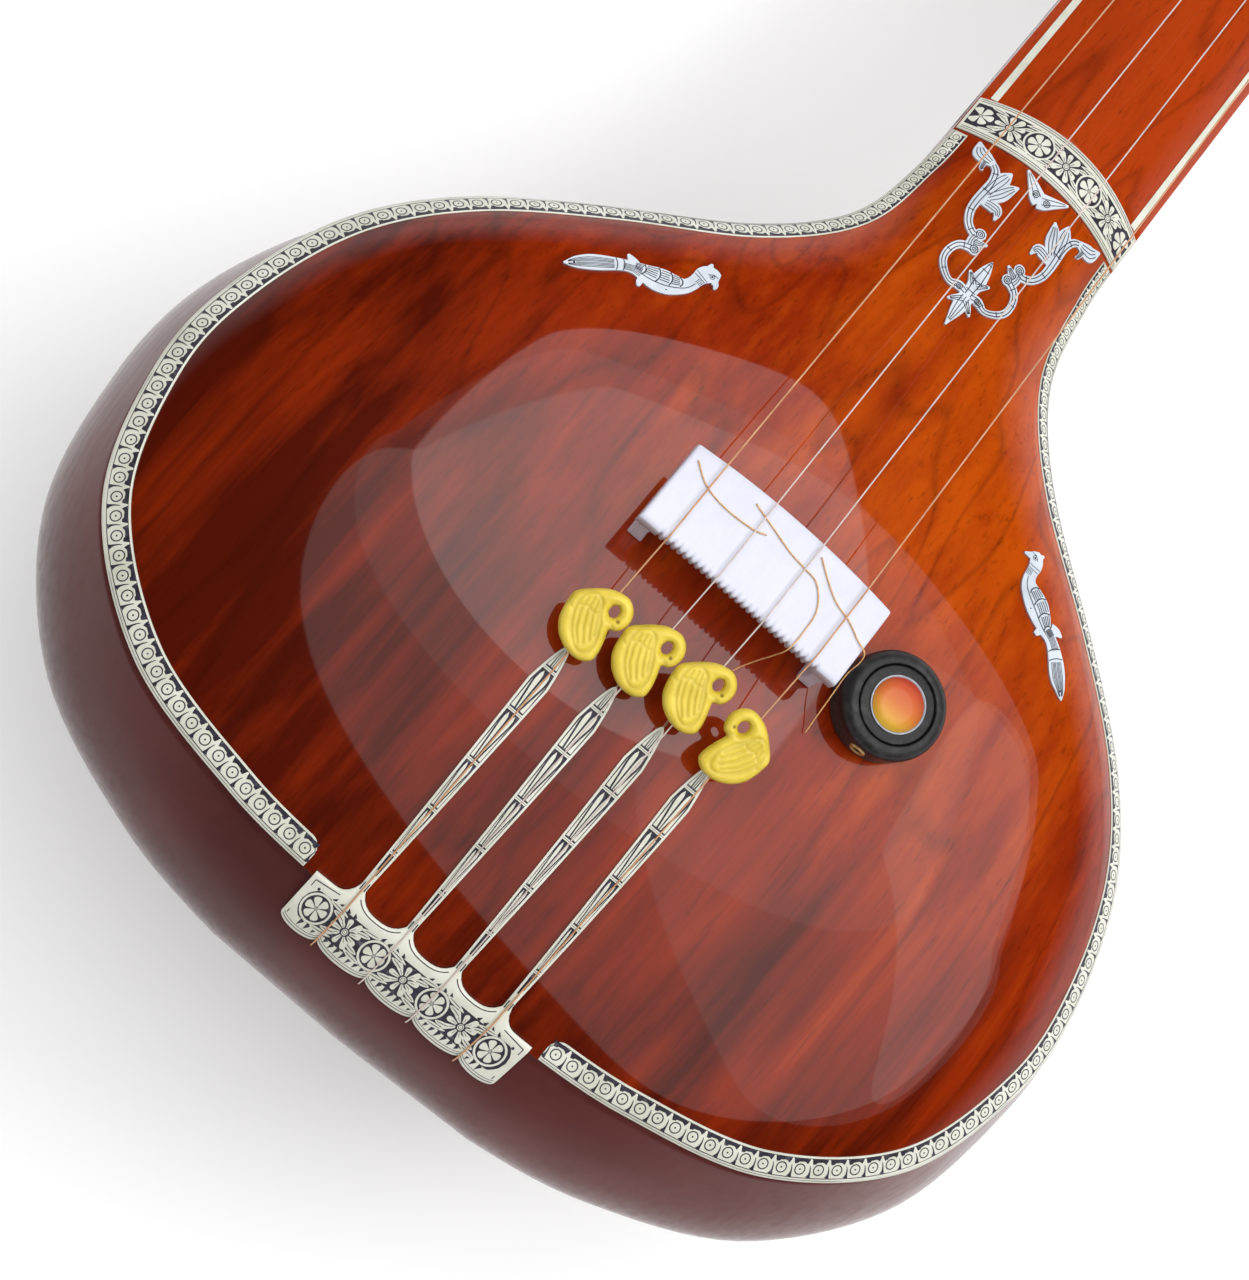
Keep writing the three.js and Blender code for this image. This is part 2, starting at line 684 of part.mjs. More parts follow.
// A thin inlay that follows the skin between a low and a high edge, column by column.
function skinInlay(columns, lowEdge, highEdge, skin, rows, bendY) {
  const rings = columns.map((x) => {
    const top = [];
    const bottom = [];
    for (let k = 0; k <= rows; k += 1) {
      const half = rows / 2;
      const bent = k <= half ? mix(lowEdge(x), bendY, k / half) : mix(bendY, highEdge(x), k / half - 1);
      const y = bendY === undefined ? mix(lowEdge(x), highEdge(x), k / rows) : bent;
      top.push(new THREE.Vector3(x, y, skin(x, y) + GAP + INLAY_THICKNESS));
      bottom.push(new THREE.Vector3(x, y, skin(x, y) + GAP));
    }
    return [...top, ...bottom.reverse()];
  });
  return loft(rings);
}

function spread(from, to, steps) {
  return Array.from({ length: steps + 1 }, (_, i) => mix(from, to, i / steps));
}

// Tail plate: scalloped below, with a round window between the feet of the string inlays above.
const COURSE_EDGES = [-PLATE_HALF_WIDTH, ...courses.map((course) => course.notchX), PLATE_HALF_WIDTH];

function betweenCourses(x) {
  const next = COURSE_EDGES.findIndex((edge, i) => i > 0 && x <= edge + SAME_POINT);
  const low = COURSE_EDGES[next - 1];
  const high = COURSE_EDGES[next];
  return clamp01((x - low) / (high - low)) * 2 - 1;
}

const plateColumns = [];
for (let i = 0; i + 1 < COURSE_EDGES.length; i += 1) {
  const last = i + 2 === COURSE_EDGES.length ? 1 : 0;
  for (let k = 0; k < 4 + last; k += 1) {
    plateColumns.push(mix(COURSE_EDGES[i], COURSE_EDGES[i + 1], (1 - Math.cos((Math.PI * k) / 4)) / 2));
  }
}
const plateLow = (x) => NOTCH_Y - PLATE_SCALLOP * Math.sqrt(Math.max(0, 1 - betweenCourses(x) ** 2));
const plateHigh = (x) => {
  const outer = Math.abs(x) > courses[3].notchX;
  const dip = outer ? smooth((Math.abs(x) - courses[3].notchX) / PLATE_WINDOW_DEPTH)
    : Math.sqrt(Math.max(0, 1 - betweenCourses(x) ** 2));
  return PLATE_TOP_Y - PLATE_WINDOW_DEPTH * dip;
};
ivory('tail_plate', skinInlay(plateColumns, plateLow, plateHigh, tailSkin, 6, BOARD_TAIL_Y));

// String inlays: long tapering tongues that end in a point under the beads.
const tongueShares = [0, 0.2, 0.4, 0.6, 0.75, INLAY_WIDE_SHARE, 0.92, 0.97, 1];

function tongue(middleX) {
  const rings = [];
  const startY = PLATE_TOP_Y + GAP;
  for (const share of tongueShares) {
    const y = mix(startY, INLAY_TIP_Y, share);
    const toTip = clamp01((share - INLAY_WIDE_SHARE) / (1 - INLAY_WIDE_SHARE));
    const half = share <= INLAY_WIDE_SHARE
      ? mix(INLAY_NARROW_HALF, INLAY_WIDE_HALF, share / INLAY_WIDE_SHARE)
      : Math.max(GAP / 2, INLAY_WIDE_HALF * Math.sqrt(1 - toTip));
    const z = boardTop(middleX, y) + GAP;
    rings.push([
      new THREE.Vector3(middleX - half, y, z + INLAY_THICKNESS),
      new THREE.Vector3(middleX + half, y, z + INLAY_THICKNESS),
      new THREE.Vector3(middleX + half, y, z),
      new THREE.Vector3(middleX - half, y, z),
    ]);
  }
  return loft(rings, flatXZ);
}
courses.forEach((course, i) => {
  ivory(`string_inlay_${i + 1}`, tongue(course.notchX));
});

// Collar band over the joint of soundboard and neck
const collarEnd = outlineTable[OUTLINE_SAMPLES].x - 3 * GAP;
ivory('collar_band', skinInlay(spread(-collarEnd, collarEnd, 18), collarLow, collarHigh, skinTop, 4));

// Throat block: carved shell between gourd and neck
const THROAT_STATIONS = 7;
function shellRing(y, wall) {
  const steps = 10;
  const outer = shellSection(y, 0);
  const inner = shellSection(y, wall);
  const point = (section, side, share) => {
    const { out, down } = profilePoint(section, share);
    return new THREE.Vector3(side * out, y, level.rim - down);
  };
  const ring = [];
  for (let k = 0; k <= steps; k += 1) {
    ring.push(point(outer, 1, k / steps));
  }
  for (let k = steps - 1; k >= 0; k -= 1) {
    ring.push(point(outer, -1, k / steps));
  }
  for (let k = 0; k <= steps; k += 1) {
    ring.push(point(inner, -1, k / steps));
  }
  for (let k = steps - 1; k >= 0; k -= 1) {
    ring.push(point(inner, 1, k / steps));
  }
  return ring;
}
const throatYs = spread(GOURD_JOINT_Y + GAP, THROAT_END_Y, THROAT_STATIONS);
const throatRings = throatYs.map((y) => shellRing(y, THROAT_WALL));
lacquerDark('throat_block', loft(throatRings));

// Neck
const NECK_START_Y = THROAT_END_Y + GAP;
const CAP_START_Y = NECK_END_Y - CAP_LENGTH;
const NECK_TIP_Y = CAP_START_Y - GAP;

function neckSection(y, inset) {
  return {
    radius: neckHalfWidth(y) - inset,
    bulge: 0,
    shoulder: NECK_SHOULDER_DEPTH,
    depth: mix(NECK_DEPTH, NECK_END_DEPTH, neckShare(y)) - inset,
    roundness: NECK_ROUNDNESS,
  };
}

function neckRim(y) {
  return level.rim - NECK_DROP * neckShare(y);
}

function neckShellRing(y) {
  const steps = 8;
  const ring = [];
  const add = (section, side, share) => {
    const { out, down } = profilePoint(section, share);
    ring.push(new THREE.Vector3(side * out, y, neckRim(y) - down));
  };
  const outer = neckSection(y, 0);
  const inner = neckSection(y, NECK_WALL);
  for (let k = 0; k <= steps; k += 1) {
    add(outer, 1, k / steps);
  }
  for (let k = steps - 1; k >= 0; k -= 1) {
    add(outer, -1, k / steps);
  }
  for (let k = 0; k <= steps; k += 1) {
    add(inner, -1, k / steps);
  }
  for (let k = steps - 1; k >= 0; k -= 1) {
    add(inner, 1, k / steps);
  }
  return ring;
}

function faceRing(y) {
  const columns = 10;
  const half = neckHalfWidth(y);
  const bottom = neckRim(y) + GAP;
  const ring = [];
  for (let c = 0; c <= columns; c += 1) {
    const x = mix(-half, half, c / columns);
    ring.push(new THREE.Vector3(x, y, neckTop(x, y)));
  }
  ring.push(new THREE.Vector3(half, y, bottom), new THREE.Vector3(-half, y, bottom));
  return ring;
}

// Pegs: two through the sides for the outer strings, two through the face for the middle ones
const pegPlaces = {
  peg_1: { side: -1 },
  peg_2: { x: -FACE_PEG_OUT },
  peg_3: { x: FACE_PEG_OUT },
  peg_4: { side: 1 },
};

function pegPlace(name) {
  const { side, x } = pegPlaces[name];
  const y = GUIDE_Y + PEG_SPACINGS[name];
  const place = new THREE.Object3D();
  if (side) {
    place.position.set(side * neckHalfWidth(y), y, neckRim(y) - SIDE_PEG_DEPTH);
    place.quaternion.setFromUnitVectors(new THREE.Vector3(0, 0, 1), new THREE.Vector3(side, 0, 0));
    place.userData.reach = 2 * neckHalfWidth(y) - NECK_WALL / 3;
  } else {
    place.position.set(x, y, neckTop(x, y));
    const deep = mix(NECK_DEPTH, NECK_END_DEPTH, neckShare(y));
    place.userData.reach = neckTop(x, y) - neckRim(y) + deep - NECK_WALL / 2;
  }
  return place;
}

function pegBore(name) {
  const place = pegPlace(name);
  const tool = bar(
    new THREE.Vector3(0, 0, -place.userData.reach - GAP),
    new THREE.Vector3(0, 0, CUT_OVERRUN * 2),
    PEG_TIP_RADIUS + GAP,
    PEG_WALL_RADIUS + GAP,
    12,
  );
  tool.applyQuaternion(place.quaternion);
  tool.translate(place.position.x, place.position.y, place.position.z);
  return solid(tool);
}
const bores = Object.keys(pegPlaces).map(pegBore);

const neckYs = spread(NECK_START_Y, NECK_TIP_Y, 4);
const neckShell = solid(loft(neckYs.map(neckShellRing)));
const neckBoard = solid(loft(neckYs.map(faceRing), flatXZ));
lacquerDark('neck_back', geometryOf(cut(neckShell, ...bores)));
lacquerOrange('neck_face', geometryOf(cut(neckBoard, ...bores)));

// Bone cap on the open end of the neck
function capRing(y, shrink) {
  const section = neckSection(CAP_START_Y, shrink);
  const steps = 6;
  const ring = [];
  for (let c = 0; c <= 6; c += 1) {
    const x = mix(-section.radius, section.radius, c / 6);
    ring.push(new THREE.Vector3(x, y, neckTop(x, CAP_START_Y) - shrink));
  }
  for (const side of [1, -1]) {
    for (let k = side > 0 ? 0 : steps - 1; side > 0 ? k <= steps : k >= 0; k += side) {
      const { out, down } = profilePoint(section, k / steps);
      ring.push(new THREE.Vector3(side * out, y, neckRim(CAP_START_Y) - down));
    }
  }
  return ring;
}
ivory('neck_cap', loft([
  capRing(CAP_START_Y, 0),
  capRing(NECK_END_Y - CAP_ROUND, 0),
  capRing(NECK_END_Y, CAP_ROUND),
], flatXZ));

// Plain white lines along both edges of the neck
const lineSides = { neck_strip_left: -1, neck_strip_right: 1 };
const lineStartY = collarHigh(outlineTable[OUTLINE_SAMPLES].x - NECK_LINE_IN - NECK_LINE_WIDTH) + 2 * GAP;
for (const [name, side] of Object.entries(lineSides)) {
  const rings = spread(lineStartY, NUT_Y - NECK_LINE_WIDTH * 2, 4).map((y) => {
    const outer = side * (neckHalfWidth(y) - NECK_LINE_IN);
    const inner = outer - side * NECK_LINE_WIDTH;
    return [
      new THREE.Vector3(outer, y, neckTop(outer, y) + GAP + INLAY_THICKNESS),
      new THREE.Vector3(inner, y, neckTop(inner, y) + GAP + INLAY_THICKNESS),
      new THREE.Vector3(inner, y, neckTop(inner, y) + GAP),
      new THREE.Vector3(outer, y, neckTop(outer, y) + GAP),
    ];
  });
  ivory(name, loft(rings, flatXZ));
}

// Nut and string guide: bone bars whose undersides follow the face
function boneBar(y, topZ) {
  const rings = spread(-NUT_HALF_LENGTH, NUT_HALF_LENGTH, 8).map((x) => {
    const foot = Math.max(neckTop(x, y - NUT_THICKNESS / 2), neckTop(x, y + NUT_THICKNESS / 2)) + GAP;
    return [
      new THREE.Vector3(x, y - NUT_THICKNESS / 2, foot),
      new THREE.Vector3(x, y + NUT_THICKNESS / 2, foot),
      new THREE.Vector3(x, y + NUT_THICKNESS / 3, topZ),
      new THREE.Vector3(x, y - NUT_THICKNESS / 3, topZ),
    ];
  });
  return loft(rings, (ring) => ring.map((p) => new THREE.Vector2(p.y, p.z)));
}
ivory('nut', boneBar(NUT_Y, NUT_TOP));
const GUIDE_TOP = NUT_TOP + GUIDE_RISE;
const guideHoleZ = NUT_TOP - GUIDE_DROP;
const guideHoles = courses.map((course) => solid(bar(
  new THREE.Vector3(course.nutX, GUIDE_Y - CUT_OVERRUN * 2, guideHoleZ),
  new THREE.Vector3(course.nutX, GUIDE_Y + CUT_OVERRUN * 2, guideHoleZ),
  GUIDE_BORE_RADIUS,
  GUIDE_BORE_RADIUS,
  8,
)));
ivory('string_guide', geometryOf(cut(solid(boneBar(GUIDE_Y, GUIDE_TOP)), ...guideHoles)));

// Pegs: a tapered shaft, a bare stretch for the string, and a turned head
const pegHeadShares = [
  [0, 0.62], [0.06, 0.68], [0.12, 0.42], [0.2, 0.38], [0.3, 0.62], [0.45, 0.95], [0.58, 1],
  [0.72, 0.82], [0.82, 0.42], [0.88, 0.3], [0.94, 0.34], [1, 0.16],
];

function pegShape(reach) {
  const profile = [
    new THREE.Vector2(0, -reach),
    new THREE.Vector2(PEG_TIP_RADIUS, -reach),
    new THREE.Vector2(PEG_WALL_RADIUS, 0),
    new THREE.Vector2(PEG_WALL_RADIUS, PEG_BARE_LENGTH),
    ...pegHeadShares.map(([along, wide]) => new THREE.Vector2(
      wide * PEG_HEAD_RADIUS,
      PEG_BARE_LENGTH + PEG_TAPER_EXTRA + along * PEG_HEAD_LENGTH,
    )),
    new THREE.Vector2(0, PEG_BARE_LENGTH + PEG_TAPER_EXTRA + PEG_HEAD_LENGTH),
  ];
  const geometry = new THREE.LatheGeometry(profile, 12);
  geometry.rotateX(Math.PI / 2);
  return geometryOf(solid(geometry));
}

// The turns of string on a peg, as one unbroken helix.
function windingPoints(radius) {
  const pitch = 2 * radius + WINDING_GAP;
  const reach = (PEG_WALL_RADIUS + GAP + radius) / Math.cos(Math.PI / WINDING_STEPS);
  const start = (PEG_BARE_LENGTH - pitch * WINDING_TURNS) / 2;
  return Array.from({ length: WINDING_TURNS * WINDING_STEPS + 1 }, (_, i) => {
    const angle = (2 * Math.PI * i) / WINDING_STEPS;
    const up = start + (pitch * i) / WINDING_STEPS;
    return new THREE.Vector3(reach * Math.cos(angle), reach * Math.sin(angle), up);
  });
}

function coil(points, radius, sides = 5) {
  const rings = points.map((point, i) => {
    const before = points[Math.max(0, i - 1)];
    const after = points[Math.min(points.length - 1, i + 1)];
    const along = new THREE.Vector3().subVectors(after, before).normalize();
    const outward = new THREE.Vector3(point.x, point.y, 0).normalize();
    outward.addScaledVector(along, -along.dot(outward)).normalize();
    const across = new THREE.Vector3().crossVectors(along, outward);
    return Array.from({ length: sides }, (_, k) => {
      const angle = (2 * Math.PI * k) / sides;
      return point.clone()
        .addScaledVector(outward, radius * Math.cos(angle))
        .addScaledVector(across, radius * Math.sin(angle));
    });
  });
  return loft(rings, (ring) => ring.map((_, k) => new THREE.Vector2(
    Math.cos((2 * Math.PI * k) / sides),
    Math.sin((2 * Math.PI * k) / sides),
  )));
}

Object.keys(pegPlaces).forEach((name, i) => {
  const place = pegPlace(name);
  const radius = courses[i].radius;
  const points = windingPoints(radius);
  const nextTurn = points.slice(WINDING_STEPS).map((point, k) => point.distanceTo(points[k]) - 2 * radius);
  console.log(`winding_${i + 1}: least gap between turns ${Math.min(...nextTurn).toFixed(2)} mm`);
  piece(name, pegShape(place.userData.reach), 0x5a2413, 0.3, 0, place);
  piece(`winding_${i + 1}`, coil(points, radius), 0xb9b4a8, 0.3, 1, place);
});

// Strings, each one wire from its anchor in the tail to the turns on its peg
const STRING_LIFT = 2 * THREAD_RADIUS + 2 * GAP;
const STRING_LEAVES_Y = BOARD_TAIL_Y - STRING_OVERHANG;
const STRING_LIES_FROM_Y = NOTCH_Y - STRING_OVERHANG;

// Lowest place for a string's centre where it lies over the tail plate.
function overPlate(course, y) {
  const clear = (GAP + course.radius) * PLATE_SLOPE_CLEARANCE;
  return new THREE.Vector3(course.notchX, y, tailSkin(course.notchX, y) + GAP + INLAY_THICKNESS + clear);
}

courses.forEach((course, i) => {
  const name = `peg_${i + 1}`;
  const place = pegPlace(name);
  const end = holeEnd(course);
  const mouth = holeMouth(course);
  const bridgeZ = BRIDGE_TOP + STRING_LIFT + course.radius;
  const nutZ = NUT_TOP + GAP + course.radius;
  const points = [
    end.clone(),
    mouth.clone(),
    ...spread(STRING_LIES_FROM_Y, STRING_LEAVES_Y, 4).map((y) => overPlate(course, y)),
    new THREE.Vector3(course.bridgeX, BRIDGE_FRONT_Y + BRIDGE_CONTACT_IN, bridgeZ),
    new THREE.Vector3(course.bridgeX, BRIDGE_FRONT_Y + BRIDGE_DEPTH - BRIDGE_CONTACT_IN, bridgeZ),
    new THREE.Vector3(course.nutX, NUT_Y, nutZ),
    new THREE.Vector3(course.nutX, GUIDE_Y, guideHoleZ),
    new THREE.Vector3(course.nutX, GUIDE_Y + NUT_THICKNESS, guideHoleZ),
  ];
  const { side } = pegPlaces[name];
  const reach = PEG_WALL_RADIUS + GAP + 2 * course.radius + STRING_END_GAP + course.radius;
  const wound = PEG_BARE_LENGTH / 2;
  if (side) {
    const edgeY = mix(GUIDE_Y, place.position.y, EDGE_CROSSING_SHARE);
    const clear = (GAP + course.radius) * PLATE_SLOPE_CLEARANCE;
    const edgeX = neckHalfWidth(edgeY);
    points.push(new THREE.Vector3(side * (edgeX + clear), edgeY, neckTop(edgeX, edgeY) + clear));
    points.push(new THREE.Vector3(
      place.position.x + side * wound,
      place.position.y - reach * Math.SQRT1_2,
      place.position.z + reach * Math.SQRT1_2,
    ));
  } else {
    const turnSide = Math.sign(course.nutX - place.position.x) || 1;
    points.push(new THREE.Vector3(
      place.position.x + turnSide * reach,
      place.position.y,
      place.position.z + wound,
    ));
  }
  const color = i === 0 || i === 3 ? 0xb07a45 : 0xc9ccd0;
  piece(course.name, wire(points, course.radius), color, 0.3, 1);
});

// Bridge: a broad plate with a bowed back edge on two end feet
const bridgeBack = (x) => BRIDGE_FRONT_Y + BRIDGE_DEPTH + BRIDGE_BOW * (1 - (x / BRIDGE_HALF_WIDTH) ** 2);
const bridgeRings = spread(-BRIDGE_HALF_WIDTH, BRIDGE_HALF_WIDTH, 12).map((x) => {
  const under = BRIDGE_TOP - BRIDGE_PLATE - BRIDGE_ARCH * (x / BRIDGE_HALF_WIDTH) ** 2;
  return [
    new THREE.Vector3(x, BRIDGE_FRONT_Y + JAVARI_FALL, under),
    new THREE.Vector3(x, BRIDGE_FRONT_Y, BRIDGE_TOP - JAVARI_FALL),
    new THREE.Vector3(x, BRIDGE_FRONT_Y + JAVARI_FALL * 3, BRIDGE_TOP),
    new THREE.Vector3(x, bridgeBack(x) - JAVARI_FALL * 2, BRIDGE_TOP),
    new THREE.Vector3(x, bridgeBack(x), BRIDGE_TOP - JAVARI_FALL),
    new THREE.Vector3(x, bridgeBack(x) - JAVARI_FALL, under),
  ];
});
const bridgePlate = solid(loft(bridgeRings, (ring) => ring.map((p) => new THREE.Vector2(p.y, p.z))));
function bridgeFoot(side) {
  const inner = BRIDGE_HALF_WIDTH - BRIDGE_FOOT_WIDTH;
  const outer = BRIDGE_HALF_WIDTH - JAVARI_FALL;
  const front = BRIDGE_FRONT_Y + JAVARI_FALL;
  const ys = spread(front, front + BRIDGE_FOOT_DEPTH, 2);
  const rings = ys.map((y) => [
    new THREE.Vector3(side * inner, y, boardTop(inner, y) + GAP),
    new THREE.Vector3(side * outer, y, boardTop(inner, y) + GAP),
    new THREE.Vector3(side * outer, y, BRIDGE_TOP - BRIDGE_PLATE),
    new THREE.Vector3(side * inner, y, BRIDGE_TOP - BRIDGE_PLATE),
  ]);
  return solid(loft(rings, flatXZ));
}
piece('bridge', geometryOf(bridgePlate.add(bridgeFoot(1)).add(bridgeFoot(-1))), 0xe4e4ee, 0.4, 0);

// Flat inlays built from ribbons: each row is x, y, half width along a centre line.
function ribbonSolid(rows) {
  const centres = rows.map(([x, y]) => new THREE.Vector2(x, y));
  const rings = rows.map(([x, y, half], i) => {
    const before = centres[Math.max(0, i - 1)];
    const after = centres[Math.min(rows.length - 1, i + 1)];
    const along = new THREE.Vector2().subVectors(after, before).normalize();
    const side = new THREE.Vector2(-along.y, along.x).multiplyScalar(Math.max(half, RIBBON_LEAST));
    const at = (sign, lift) => {
      const px = x + sign * side.x;
      const py = y + sign * side.y;
      return new THREE.Vector3(px, py, skinTop(px, py) + GAP + lift);
    };
    return [at(-1, INLAY_THICKNESS), at(1, INLAY_THICKNESS), at(1, 0), at(-1, 0)];
  });
  return solid(loft(rings));
}

// Shares of ORNAMENT_SCALE: across, along from the soundboard's middle line, half width.
const leftPeacockShares = [
  [[-1.082, 0.808, 0.002], [-1.065, 0.824, 0.014], [-1.049, 0.841, 0.022], [-1.019, 0.871, 0.028],
    [-0.986, 0.899, 0.027], [-0.953, 0.926, 0.023], [-0.926, 0.945, 0.021], [-0.9, 0.958, 0.023],
    [-0.87, 0.966, 0.031], [-0.831, 0.976, 0.042], [-0.794, 0.991, 0.043], [-0.764, 1.007, 0.035],
    [-0.739, 1.027, 0.026], [-0.727, 1.052, 0.023], [-0.722, 1.079, 0.024], [-0.716, 1.104, 0.03],
    [-0.702, 1.123, 0.03], [-0.685, 1.133, 0.022], [-0.67, 1.137, 0.01]],
  [[-0.897, 0.966, 0.015], [-0.921, 0.975, 0.013], [-0.945, 0.985, 0.003]],
  [[-0.863, 0.944, 0.009], [-0.859, 0.928, 0.009], [-0.853, 0.914, 0.004]],
  [[-0.714, 1.136, 0.01], [-0.716, 1.148, 0.008], [-0.717, 1.161, 0.003]],
  [[-0.682, 1.122, 0.012], [-0.676, 1.111, 0.011], [-0.665, 1.102, 0.008], [-0.66, 1.087, 0.003]],
];

// The right peacock was cut by hand too, so it is not quite the left one's mirror image.
const rightPeacockShares = [
  [[1.092, 0.812, 0.002], [1.078, 0.827, 0.013], [1.064, 0.842, 0.021], [1.044, 0.86, 0.029],
    [1.024, 0.881, 0.032], [0.998, 0.91, 0.03], [0.965, 0.94, 0.025], [0.936, 0.957, 0.023],
    [0.906, 0.968, 0.028], [0.875, 0.987, 0.039], [0.841, 1.01, 0.046], [0.806, 1.028, 0.041],
    [0.778, 1.045, 0.033], [0.762, 1.067, 0.025], [0.757, 1.096, 0.022], [0.755, 1.125, 0.026],
    [0.746, 1.148, 0.026], [0.738, 1.162, 0.019], [0.733, 1.17, 0.009]],
  [[0.925, 0.985, 0.018], [0.95, 0.992, 0.013], [0.973, 0.992, 0.003]],
  [[0.896, 0.955, 0.01], [0.889, 0.94, 0.01], [0.885, 0.927, 0.006]],
  [[0.75, 1.155, 0.009], [0.757, 1.165, 0.008], [0.764, 1.178, 0.003]],
  [[0.735, 1.152, 0.014], [0.722, 1.143, 0.011], [0.709, 1.138, 0.007], [0.696, 1.133, 0.003]],
];

// Shares of ORNAMENT_SCALE again, along from the throat's end: half of the vine, its middle, the spray.
const vineShares = [
  [[-0.005, -0.62, 0.014], [-0.043, -0.615, 0.018], [-0.08, -0.625, 0.0125], [-0.118, -0.603, 0.013],
    [-0.143, -0.568, 0.0135], [-0.146, -0.525, 0.014], [-0.132, -0.488, 0.015], [-0.107, -0.472, 0.017],
    [-0.082, -0.464, 0.02]],
  [[-0.093, -0.407, 0.02], [-0.117, -0.413, 0.016], [-0.15, -0.39, 0.0145], [-0.171, -0.346, 0.0155],
    [-0.175, -0.296, 0.0175], [-0.172, -0.241, 0.0185], [-0.173, -0.195, 0.016], [-0.186, -0.154, 0.014],
    [-0.212, -0.132, 0.011]],
  [[-0.208, -0.135, 0.011], [-0.24, -0.13, 0.021], [-0.268, -0.119, 0.023], [-0.292, -0.083, 0.003]],
  [[-0.237, -0.135, 0.008], [-0.234, -0.169, 0.007], [-0.224, -0.18, 0.002]],
  [[-0.168, -0.27, 0.017], [-0.158, -0.206, 0.025], [-0.147, -0.162, 0.023], [-0.137, -0.124, 0.003]],
  [[-0.164, -0.28, 0.014], [-0.128, -0.225, 0.025], [-0.108, -0.185, 0.018], [-0.088, -0.154, 0.003]],
  [[-0.168, -0.285, 0.013], [-0.116, -0.279, 0.019], [-0.093, -0.287, 0.013], [-0.086, -0.32, 0.003]],
  [[-0.096, -0.464, 0.018], [-0.104, -0.437, 0.014], [-0.096, -0.407, 0.018]],
  [[-0.1, -0.442, 0.013], [-0.075, -0.432, 0.012], [-0.05, -0.418, 0.003]],
  [[0, -0.58, 0.018], [-0.026, -0.555, 0.011], [-0.046, -0.538, 0.003]],
  [[0, -0.64, 0.018], [-0.03, -0.664, 0.01], [-0.05, -0.683, 0.003]],
];
const vineMiddleShares = [
  [[0, -0.625, 0.025], [0, -0.597, 0.025], [0, -0.556, 0.03], [0, -0.506, 0.022], [0, -0.476, 0.012],
    [0, -0.455, 0.003]],
  [[0, -0.62, 0.025], [0, -0.654, 0.03], [0, -0.702, 0.022], [0, -0.74, 0.011], [0, -0.77, 0.003]],
];
const sprayShares = [
  [[-0.096, -0.071, 0.003], [-0.05, -0.105, 0.016], [-0.017, -0.13, 0.025], [0.006, -0.142, 0.026]],
];

function ornament(shares, fromX, fromY) {
  return shares.map((rows) => rows.map((row) => {
    const [x, y, half] = row.map((share) => share * ORNAMENT_SCALE);
    return [fromX + x, fromY + y, half];
  }));
}

const mirrored = (rows) => rows.map(([x, y, half]) => [-x, y, half]);
const bothSides = (shares) => [...shares, ...shares.map(mirrored)];
const ribbons = {
  throat_spray: ornament(bothSides(sprayShares), 0, THROAT_END_Y),
  peacock_left: ornament(leftPeacockShares, 0, BOARD_MIDDLE_Y),
  peacock_right: ornament(rightPeacockShares, 0, BOARD_MIDDLE_Y),
  throat_vine: ornament([...vineMiddleShares, ...bothSides(vineShares)], ORNAMENT_OFF_CENTRE, THROAT_END_Y),
};
for (const [name, list] of Object.entries(ribbons)) {
  const parts = list.map(ribbonSolid);
  ivory(name, geometryOf(parts.reduce((all, one) => all.add(one))));
}

// Swan-shaped fine tuning beads; each is threaded on its string between bridge and tail.
const swanOutlineShares = [
  [-0.44, 0.14], [-0.3, 0.3], [-0.15, 0.42], [-0.02, 0.48], [0.14, 0.5], [0.27, 0.43], [0.34, 0.3],
  [0.33, 0.16], [0.27, 0.07], [0.2, 0.03], [0.25, -0.12], [0.29, -0.28], [0.28, -0.41], [0.15, -0.5],
  [-0.05, -0.5],
  [-0.23, -0.42], [-0.34, -0.31], [-0.4, -0.2], [-0.44, -0.03],
];
const swanLoopShares = [[0.05, 0.31], [0.04, 0.22], [0.1, 0.17], [0.16, 0.21], [0.16, 0.29], [0.11, 0.34]];

function swanBlank(side) {
  const corner = ([across, along]) => new THREE.Vector2(side * across * SWAN_SIZE, along * SWAN_SIZE);
  const shape = new THREE.Shape(swanOutlineShares.map(corner));
  shape.holes.push(new THREE.Path(swanLoopShares.map(corner)));
  const geometry = new THREE.ExtrudeGeometry(shape, {
    depth: SWAN_THICKNESS - 2 * SWAN_BEVEL,
    bevelEnabled: true,
    bevelThickness: SWAN_BEVEL,
    bevelSize: SWAN_BEVEL,
    bevelOffset: -SWAN_BEVEL,
    bevelSegments: 1,
    curveSegments: 1,
  });
  geometry.translate(0, 0, SWAN_BEVEL - SWAN_THICKNESS / 2);
  return geometry;
}

const swanSides = { swan_bead_1: 1, swan_bead_2: 1, swan_bead_3: 1, swan_bead_4: -1 };
Object.entries(swanSides).forEach(([name, side], i) => {
  const y = SWAN_PLACES[name];
  const course = courses[i];
  const from = overPlate(course, STRING_LEAVES_Y);
  const bridgeZ = BRIDGE_TOP + STRING_LIFT + course.radius;
  const to = new THREE.Vector3(course.bridgeX, BRIDGE_FRONT_Y + BRIDGE_CONTACT_IN, bridgeZ);
  const direction = new THREE.Vector3().subVectors(to, from).normalize();
  const place = new THREE.Object3D();
  place.position.copy(from).addScaledVector(direction, (y - from.y) / direction.y);
  place.quaternion.setFromUnitVectors(new THREE.Vector3(0, 1, 0), direction);
  const bore = solid(bar(
    new THREE.Vector3(0, -SWAN_SIZE, 0),
    new THREE.Vector3(0, SWAN_SIZE, 0),
    course.radius + SWAN_BORE_EXTRA,
    course.radius + SWAN_BORE_EXTRA,
    6,
  ));
  piece(name, geometryOf(cut(solid(swanBlank(side)), bore)), 0xe2cf55, 0.45, 0, place);
});

